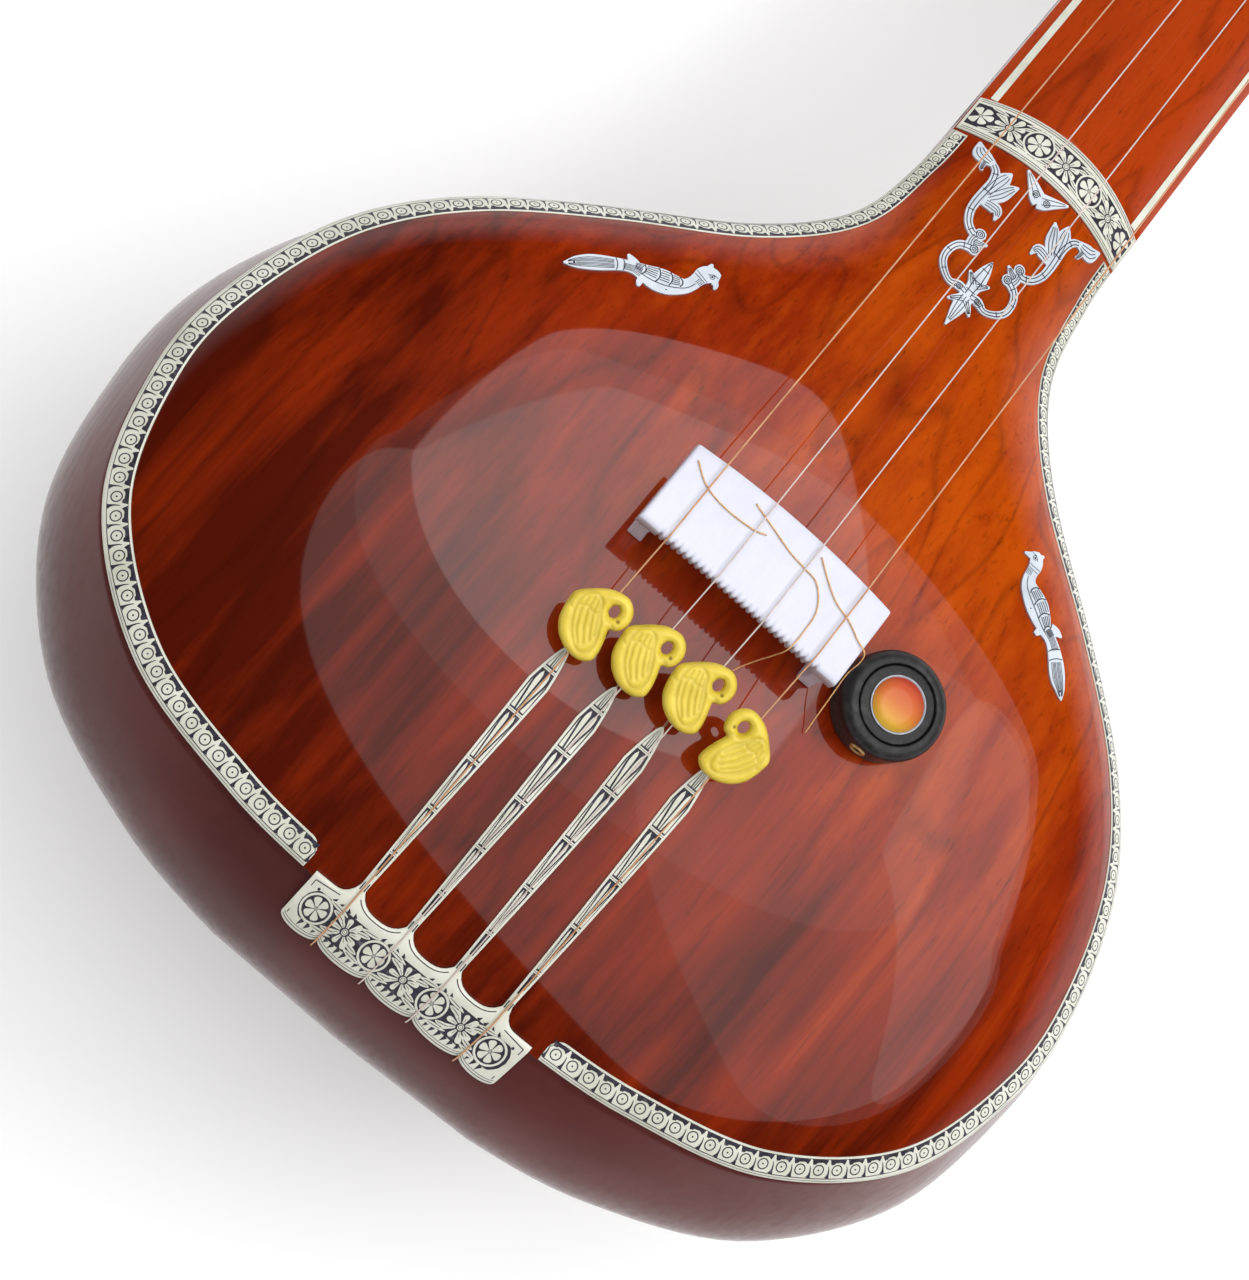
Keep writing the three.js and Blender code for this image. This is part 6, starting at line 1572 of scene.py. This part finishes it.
def string_corners(i):
    """The corners of a string's path, from its knot to its peg."""
    radius = string_radii[i]
    x = course_x[i]
    nut_x = course_nut_x[i]
    clear = (0.3 + radius) * 1.6
    corners = [(x, KNOT_Y, KNOT_Z), (x, HOLE_MOUTH_Y, float(tail_skin(x, HOLE_MOUTH_Y)))]
    for y in np.linspace(NOTCH_Y - 1.0, BOARD_TAIL_Y - 1.0, 5):
        corners.append((x, y, float(tail_skin(x, y)) + 1.2 + clear))
    bridge_z = BRIDGE_TOP + STRING_LIFT + radius
    corners.append((x, BRIDGE_FRONT_Y + 3.0, bridge_z))
    corners.append((x, BRIDGE_FRONT_Y + BRIDGE_DEPTH - 3.0, bridge_z))
    corners.append((nut_x, NUT_Y, NUT_TOP + 0.3 + radius))
    corners.append((nut_x, GUIDE_Y, GUIDE_HOLE_Z))
    corners.append((nut_x, GUIDE_Y + NUT_THICKNESS, GUIDE_HOLE_Z))
    y, side, peg_x = peg_places[f"peg_{i + 1}"]
    place, _, _ = peg_axes(y, side, peg_x)
    reach = PEG_WALL + 0.3 + 2 * radius + 0.9 + radius
    wound = PEG_BARE / 2
    if side:
        edge_y = mixed(GUIDE_Y, y, 0.7)
        edge_x = float(neck_half_width(edge_y))
        corners.append((side * (edge_x + clear), edge_y, float(neck_top(edge_x, edge_y)) + clear))
        slant = reach * math.sqrt(0.5)
        corners.append((place[0] + side * wound, y - slant, place[2] + slant))
    else:
        turn_side = 1.0 if nut_x > peg_x else -1.0
        corners.append((peg_x + turn_side * reach, y, place[2] + wound))
    return np.array(corners)


def rounded_path(corners, bend):
    """Straight runs joined by short parabolas, each no longer than the bend or a third of a run."""
    pieces = [corners[:1]]
    for k in range(1, len(corners) - 1):
        before = corners[k - 1] - corners[k]
        after = corners[k + 1] - corners[k]
        near = min(bend, np.linalg.norm(before) / 3, np.linalg.norm(after) / 3)
        start = corners[k] + before / np.linalg.norm(before) * near
        end = corners[k] + after / np.linalg.norm(after) * near
        t = np.linspace(0.0, 1.0, 7)[:, None]
        pieces.append((1 - t) ** 2 * start + 2 * t * (1 - t) * corners[k] + t**2 * end)
    pieces.append(corners[-1:])
    return np.concatenate(pieces)


for i, (look, slot_name) in enumerate(string_looks):
    path = rounded_path(string_corners(i), STRING_BEND)
    wire = wire_piece(f"string_{i + 1}_wire", path, min(string_radii[i], DRAWN_RADIUS), look)
    dress(wire, f"string_{i + 1}", "body", slot_name)


# Swan beads
# Fine tuning beads carved as swans, each threaded on its string below the bridge. Sliding one towards
# the tail raises the string's pitch a little. They are yellow plastic, polished on the high places.
SWAN_SIZE = 24.0
SWAN_THICKNESS = 6.4
SWAN_ROUND = 2.6
SWAN_PITCH = 0.42
swan_outline = np.array([
    (-0.44, 0.14), (-0.3, 0.3), (-0.15, 0.42), (-0.02, 0.48), (0.14, 0.5), (0.27, 0.43), (0.34, 0.3),
    (0.33, 0.16), (0.27, 0.07), (0.2, 0.03), (0.25, -0.12), (0.29, -0.28), (0.28, -0.41), (0.15, -0.5),
    (-0.05, -0.5), (-0.23, -0.42), (-0.34, -0.31), (-0.4, -0.2), (-0.44, -0.03),
])
swan_loop = np.array([(0.05, 0.31), (0.04, 0.22), (0.1, 0.17), (0.16, 0.21), (0.16, 0.29), (0.11, 0.34)])
wing_line = np.array([
    (-0.27, 0.29), (-0.34, 0.1), (-0.27, -0.12), (-0.13, -0.3), (0.04, -0.41), (0.14, -0.36),
    (0.16, -0.2), (0.08, -0.02), (-0.02, 0.14), (-0.12, 0.27),
])
feather_lines = [
    np.array([(-0.27, 0.19), (-0.25, 0.0), (-0.15, -0.2), (-0.01, -0.34)]),
    np.array([(-0.21, 0.23), (-0.18, 0.06), (-0.09, -0.13), (0.04, -0.29)]),
    np.array([(-0.15, 0.24), (-0.11, 0.1), (-0.03, -0.06), (0.08, -0.22)]),
    np.array([(-0.09, 0.22), (-0.05, 0.12), (0.02, 0.0), (0.1, -0.14)]),
    np.array([(-0.3, 0.05), (-0.2, 0.11), (-0.12, 0.08), (-0.03, 0.12)]),
]
swan_eye = np.array([0.21, 0.19])
beak_line = np.array([(-0.44, 0.05), (-0.4, -0.02), (-0.33, -0.04)])
neck_line = np.array([(0.27, 0.07), (0.2, 0.1), (0.13, 0.12), (0.05, 0.14)])
swan_places = {"swan_bead_1": (1.0, -21.5), "swan_bead_2": (1.0, -19.5), "swan_bead_3": (1.0, -18.0),
               "swan_bead_4": (-1.0, -22.5)}


def closed_curve(points, per_step):
    """A smooth closed curve through the points."""
    count = len(points)
    at = np.arange(count * per_step) / per_step
    i = at.astype(int)
    return spline_run(*(points[(i + k - 1) % count] for k in range(4)), (at - i)[:, None])


def line_distance(points, line):
    """Distance from each point to a broken line."""
    best = np.full(len(points), 1e9)
    for start, end in zip(line[:-1], line[1:]):
        run = end - start
        share = np.clip(((points - start) @ run) / (run @ run), 0.0, 1.0)[:, None]
        best = np.minimum(best, np.linalg.norm(points - start - share * run, axis=1))
    return best


def inside_curve(points, curve):
    """True where an even-odd ray to the right crosses the curve an odd number of times."""
    x, y = points[:, :1], points[:, 1:]
    ax, ay = curve[:, 0], curve[:, 1]
    bx, by = np.roll(ax, -1), np.roll(ay, -1)
    spans = (ay > y) != (by > y)
    cross_x = ax + (y - ay) / np.where(by == ay, 1e-9, by - ay) * (bx - ax)
    return (spans & (x < cross_x)).sum(axis=1) % 2 == 1


def swan_form():
    """Half of a swan as a height field: a grid inside its outline, meshed with the outline and the loop
    as borders. The height is a quarter ellipse of the distance from the edge, less the carved lines. A
    last mask gives painted shade in the carved lines and the eye hole."""
    outer = closed_curve(swan_outline, 8) * SWAN_SIZE
    loop = closed_curve(swan_loop, 4) * SWAN_SIZE
    steps = np.arange(-SWAN_SIZE / 2 - 1, SWAN_SIZE / 2 + 1, SWAN_PITCH)
    gx, gy = np.meshgrid(steps, steps)
    gx = gx + (np.arange(len(steps)) % 2)[:, None] * SWAN_PITCH / 2
    grid = np.stack([gx.ravel(), gy.ravel()], axis=-1)
    keep = inside_curve(grid, outer) & ~inside_curve(grid, loop)
    ring_outer = np.vstack([outer, outer[:1]])
    ring_loop = np.vstack([loop, loop[:1]])
    edge = np.minimum(line_distance(grid, ring_outer), line_distance(grid, ring_loop))
    grid = grid[keep & (edge > 0.3)]
    points = np.vstack([outer, loop, grid])
    n_outer, n_loop = len(outer), len(loop)
    borders = [list(range(n_outer)), list(range(n_outer, n_outer + n_loop))]
    edges = [(ring[k], ring[(k + 1) % len(ring)]) for ring in borders for k in range(len(ring))]
    flat, _, faces, *_ = delaunay_2d_cdt([Vector(p) for p in points.tolist()], edges, [], 0, 1e-5)
    flat = np.array([tuple(p) for p in flat])
    corners = np.array([list(face) for face in faces if len(face) == 3])
    middle = flat[corners].mean(axis=1)
    corners = corners[inside_curve(middle, outer) & ~inside_curve(middle, loop)]
    inward = np.minimum(line_distance(flat, ring_outer), line_distance(flat, ring_loop))
    share = np.clip(inward / SWAN_ROUND, 0.0, 1.0)
    rounded = np.sqrt(np.maximum(0.0, 1 - (1 - share) ** 2))
    wing = np.vstack([closed_curve(wing_line, 6), wing_line[:1]]) * SWAN_SIZE
    carved = 0.8 * np.exp(-((line_distance(flat, wing) / 0.6) ** 2))
    for line in feather_lines + [beak_line, neck_line]:
        carved = np.maximum(carved, 0.75 * np.exp(-((line_distance(flat, line * SWAN_SIZE) / 0.5) ** 2)))
    eye = np.linalg.norm(flat - swan_eye * SWAN_SIZE, axis=1)
    eye_hole = np.exp(-((eye / 0.55) ** 4))
    height = (SWAN_THICKNESS / 2 - 0.2) * rounded - 0.6 * carved * share - 0.5 * eye_hole * share
    # The last value is painted shade: darker in the carved lines, and darkest in the eye hole.
    return flat, corners, height, np.maximum(0.35 * carved, 1.6 * eye_hole)


def bead_yellow():
    """Satin yellow plastic: tone varies a little, and painted shade darkens the carved lines and the eye hole
    towards brown.
    """
    made, shader, place = finish("bead_yellow")
    # Painted shade in the carved lines and the eye hole, read from the carved attribute.
    groove_and_hole_shade = place.node("ShaderNodeAttribute", outlet="Fac", settings={"attribute_name": "carved"})
    cloud = place.noise(150.0, 3.0)
    clean = cloud.ramp((0.3, 206, 180, 52), (0.7, 226, 202, 76))
    feed(shader, Base_Color=(groove_and_hole_shade * 0.6).blended(clean, (96, 70, 18)))
    feed(shader, Roughness=cloud.between(0.3, 0.7, 0.34, 0.46), Coat_Weight=0.25, Coat_Roughness=0.2)
    feed(shader, Subsurface_Weight=0.1, Subsurface_Radius=(0.003, 0.002, 0.001))
    feed(shader, Normal=cloud.bumped(0.06, 0.0002))
    return made


bead_finish = bead_yellow()
swan_flat, swan_corners, swan_height, swan_groove_and_hole_shade = swan_form()
for i, (name, (mirror, y)) in enumerate(swan_places.items()):
    corners = string_corners(i)
    start = corners[6]
    direction = corners[7] - start
    direction /= np.linalg.norm(direction)
    middle = start + direction * (y - start[1]) / direction[1]
    upward = np.cross([1.0, 0.0, 0.0], direction)
    section = middle + swan_flat[:, :1] * [mirror, 0.0, 0.0] + swan_flat[:, 1:] * direction
    lift = swan_height[:, None] * upward
    points = np.concatenate([section + lift, section - lift])
    faces = np.concatenate([swan_corners, swan_corners + len(swan_flat)]).tolist()
    swan = mesh_object(f"{name}_carved", points, faces, bead_finish)
    kept = np.array([vertex.co[:] for vertex in swan.data.vertices])
    axes = lay([[mirror, 0.0, 0.0], direction]) - lay([0.0, 0.0, 0.0])
    local = (kept - lay(middle)) @ axes.T * 1e6
    nearest = np.argmin(((local[:, None] - swan_flat) ** 2).sum(axis=2), axis=1)
    # The carved attribute carries the painted shade of the carved lines and the eye hole.
    carved = swan.data.attributes.new("carved", "FLOAT", "POINT")
    carved.data.foreach_set("value", swan_groove_and_hole_shade[nearest].astype(np.float32))
    dress(swan, name, name, "bead_yellow")


# Contact pickup
# A small round pickup stuck beside the bridge: a black moulded case with a soft rounded rim, a lid in a
# groove, a coloured disc in a thin silver ring, and a brass socket at the side.
PICKUP_X = 61.0
PICKUP_Y = 22.4
PICKUP_RADIUS = 17.8
PICKUP_HEIGHT = 13.0
PICKUP_CAP = 12.6
DISC_RADIUS = 8.8
DISC_RING = 9.4
SOCKET_HEIGHT = 6.2


def pickup_black():
    """Black moulded plastic with a fine satin grain and a few pale rubbed specks."""
    made, shader, place = finish("pickup_black")
    fine = place.noise(1400.0, 2.0)
    rubbed = place.noise(220.0, 4.0, 0.7)
    feed(shader, Base_Color=rubbed.ramp((0.5, 26, 26, 27), (0.8, 58, 58, 60)))
    feed(shader, Roughness=fine.between(0.3, 0.7, 0.36, 0.5), Normal=fine.bumped(0.18, 0.0001))
    return made


def coloured_disc():
    """A plain printed disc that runs from yellow through orange to red towards the neck, with a faint
    print grain."""
    made, shader, place = finish("pickup_disc")
    middle = float(lay((PICKUP_X, PICKUP_Y, 30.0))[1])
    run = place.part("Y").between(middle - 0.009, middle + 0.009)
    grain = place.noise(1500.0, 2.0)
    tone = run * 0.9 + grain * 0.1
    feed(shader, Base_Color=tone.ramp((0.1, 208, 166, 46), (0.5, 196, 104, 36), (0.9, 180, 56, 30)))
    feed(shader, Roughness=0.5, Coat_Weight=0.3, Coat_Roughness=0.2, Normal=grain.bumped(0.05, 0.0001))
    return made


slope = float(board_top(PICKUP_X + 0.3, PICKUP_Y) - board_top(PICKUP_X - 0.3, PICKUP_Y)) / 0.6
pickup_up = np.array([-slope, 0.0, 1.0]) / math.hypot(slope, 1.0)
pickup_foot = np.array([PICKUP_X, PICKUP_Y, float(board_top(PICKUP_X, PICKUP_Y)) + 0.6])
black_finish = pickup_black()
silver_finish = metal("pickup_silver", (196, 200, 208), (150, 152, 160), 0.25, 0.4)
disc_finish = coloured_disc()


def arc_points(centre_out, centre_up, radius, start, end, count):
    angle = np.radians(np.linspace(start, end, count))
    return [(centre_out + radius * math.cos(a), centre_up + radius * math.sin(a)) for a in angle]


case_points = (
    [(0.0, 0.0), (PICKUP_RADIUS - 0.5, 0.0), (PICKUP_RADIUS, 0.6), (PICKUP_RADIUS, PICKUP_HEIGHT - 3.6)]
    + arc_points(PICKUP_RADIUS - 3.6, PICKUP_HEIGHT - 3.6, 3.6, 5, 90, 12)
    + arc_points(PICKUP_CAP + 0.9, PICKUP_HEIGHT - 0.5, 0.5, 90, 180, 6)
    + [(PICKUP_CAP + 0.35, PICKUP_HEIGHT - 2.1), (0.0, PICKUP_HEIGHT - 2.1)]
)
lid_points = (
    [(0.0, PICKUP_HEIGHT - 1.8), (PICKUP_CAP, PICKUP_HEIGHT - 1.8), (PICKUP_CAP, PICKUP_HEIGHT - 0.8)]
    + arc_points(PICKUP_CAP - 0.5, PICKUP_HEIGHT - 0.8, 0.5, 10, 90, 6)
    + [(0.0, PICKUP_HEIGHT - 0.3)]
)
ring_points = (
    [(0.0, PICKUP_HEIGHT - 0.2), (DISC_RING, PICKUP_HEIGHT - 0.2), (DISC_RING, PICKUP_HEIGHT + 0.3)]
    + arc_points(DISC_RING - 0.2, PICKUP_HEIGHT + 0.3, 0.2, 0, 90, 4)
    + [(DISC_RADIUS + 0.2, PICKUP_HEIGHT + 0.5), (DISC_RADIUS, PICKUP_HEIGHT + 0.05)]
    + [(0.0, PICKUP_HEIGHT + 0.05)]
)
disc_points = [
    (0.0, PICKUP_HEIGHT + 0.06), (DISC_RADIUS - 0.15, PICKUP_HEIGHT + 0.06),
    (DISC_RADIUS - 0.1, PICKUP_HEIGHT + 0.2), (DISC_RADIUS * 0.5, PICKUP_HEIGHT + 0.28),
    (0.0, PICKUP_HEIGHT + 0.3),
]
for name, node, points, material, slot_name in (
    ("pickup_housing", "pickup_case", case_points, black_finish, "pickup_black"),
    ("pickup_lid", "pickup_cap", lid_points, black_finish, "pickup_black"),
    ("pickup_bezel", "pickup_ring", ring_points, silver_finish, "pickup_silver"),
    ("pickup_disc", "pickup_label", disc_points, disc_finish, "label_print"),
):
    dress(turned_piece(name, pickup_foot, pickup_up, points, material, 96), node, "body", slot_name)
socket_foot = pickup_foot + pickup_up * SOCKET_HEIGHT + [0.0, 3.0 - PICKUP_RADIUS, 0.0]
socket_points = [
    (0.0, 0.0), (2.9, 0.0), (2.9, 3.0), (2.6, 3.5), (2.0, 3.5), (1.8, 3.3), (1.8, 0.6), (0.0, 0.6)
]
to_tail = np.array([0.0, -1.0, 0.0])
socket = turned_piece("socket_tube", socket_foot, to_tail, socket_points, brass_finish, 40, pickup_up)
dress(socket, "pickup_socket", "body", "brass_bead")


# Inside the tail
# A block of plain wood glued inside the gourd takes the pull of the strings, and a brass bead on each
# string stops it in its hole. These keep their model shapes.
def inner_wood():
    """Unfinished pale wood with straight grain."""
    made, shader, place = finish("inner_wood")
    grain = place.stretched((20.0, 160.0, 160.0)).noise(1.0, 5.0, 0.6)
    feed(shader, Base_Color=grain.ramp((0.3, 122, 84, 48), (0.7, 176, 134, 86)))
    feed(shader, Roughness=0.8, Normal=grain.bumped(0.2, 0.0004))
    return made


plain_wood = inner_wood()
carried = {"tail_block": plain_wood}
carried.update({f"string_anchor_{i + 1}": brass_finish for i in range(4)})
for name, material in carried.items():
    node = frame["nodes"][name]
    node.data.materials.clear()
    node.data.materials.append(material)


# Studio
# The instrument lies on a plain pale floor, under an even soft light from above and a weak one from
# the right. The lacquer mirrors overlapping patches of bright sky, and little else.
def pale_floor():
    """Smooth matt paper, with tone that barely changes."""
    made, shader, place = finish("studio_paper")
    cloud = place.noise(2.0, 2.0)
    stops = {"stops": [(0.3, (0.93, 0.93, 0.93)), (0.7, (0.96, 0.96, 0.96))]}
    feed(shader, Base_Color=cloud.node("ShaderNodeValToRGB", settings=stops, i0=cloud), Roughness=0.9)
    return made


FLOOR_HALF = 6.0
floor_mesh = bpy.data.meshes.new("studio_floor")
floor_corners = [(x * FLOOR_HALF, y * FLOOR_HALF, 0.0) for x, y in ((-1, -1), (1, -1), (1, 1), (-1, 1))]
floor_mesh.from_pydata(floor_corners, [], [(0, 1, 2, 3)])
floor_mesh.materials.append(pale_floor())
floor = bpy.data.objects.new("studio_floor", floor_mesh)
bpy.context.scene.collection.objects.link(floor)

world = bpy.data.worlds.new("studio_sky")
world.use_nodes = True
sky = world.node_tree
sky_height = sky.nodes.new("ShaderNodeSeparateXYZ")
sky_shade = sky.nodes.new("ShaderNodeValToRGB")
sky.links.new(sky.nodes.new("ShaderNodeTexCoord").outputs["Generated"], sky_height.inputs[0])
sky.links.new(sky_height.outputs["Z"], sky_shade.inputs[0])
sky.links.new(sky_shade.outputs[0], sky.nodes["Background"].inputs["Color"])
horizon, overhead = sky_shade.color_ramp.elements
horizon.position = 0.1
horizon.color = (0.9, 0.87, 0.88, 1.0)
overhead.position = 0.42
overhead.color = (0.012, 0.012, 0.012, 1.0)
bpy.context.scene.world = world


def soft_light(name, kind, place, target, power, mirrored, **sizes):
    """A light at a drawing place, turned to face the target. A light that isn't mirrored lights the
    instrument but isn't seen in its lacquer, as if it were bounced off walls and ceiling."""
    data = bpy.data.lights.new(name, kind)
    for size_name, value in sizes.items():
        setattr(data, size_name, value)
    data.energy = power
    made = bpy.data.objects.new(name, data)
    bpy.context.scene.collection.objects.link(made)
    here = Vector(lay(place))
    made.location = here
    made.rotation_euler = (here - Vector(lay(target))).to_track_quat("Z", "Y").to_euler()
    made.visible_glossy = mirrored


# The haze in the lacquer is a patchy bright sky: patches that overlap, by their middle in millimetres,
# their width and depth in metres, and their glow.
SKY_HEIGHT = 1500.0
SKY_TARGET = (100.0, -40.0, 0.0)
SKY_POWER = 2.1
ROOM_POWER = 2.32
ROOM_SPREAD = math.radians(95)
SIDE_POWER = 14.0
origin = (0.0, 0.0, 0.0)
sky_patches = (
    (455.0, 0.0, 1.9, 1.85, 0.85),
    (860.0, -20.0, 1.6, 1.3, 0.45),
    (40.0, 430.0, 0.75, 1.25, 1.6),
    (180.0, 240.0, 1.2, 1.3, 0.35),
    (1090.0, 160.0, 1.5, 0.6, 0.7),
)
for number, (x, y, width, depth, glow) in enumerate(sky_patches):
    power = SKY_POWER * glow * width * depth
    place = (x, y, SKY_HEIGHT)
    sizes = {"shape": "ELLIPSE", "size": width, "size_y": depth}
    soft_light(f"sky_patch_{number + 1}", "AREA", place, SKY_TARGET, power, True, **sizes)
soft_light("room", "SUN", (-150.0, -150.0, 2200.0), origin, ROOM_POWER, False, angle=ROOM_SPREAD)
sizes = {"shape": "ELLIPSE", "size": 1.0, "size_y": 1.0}
soft_light("side", "AREA", (1300.0, 1000.0, 1700.0), origin, SIDE_POWER, False, **sizes)
bpy.context.scene.view_settings.view_transform = "Standard"
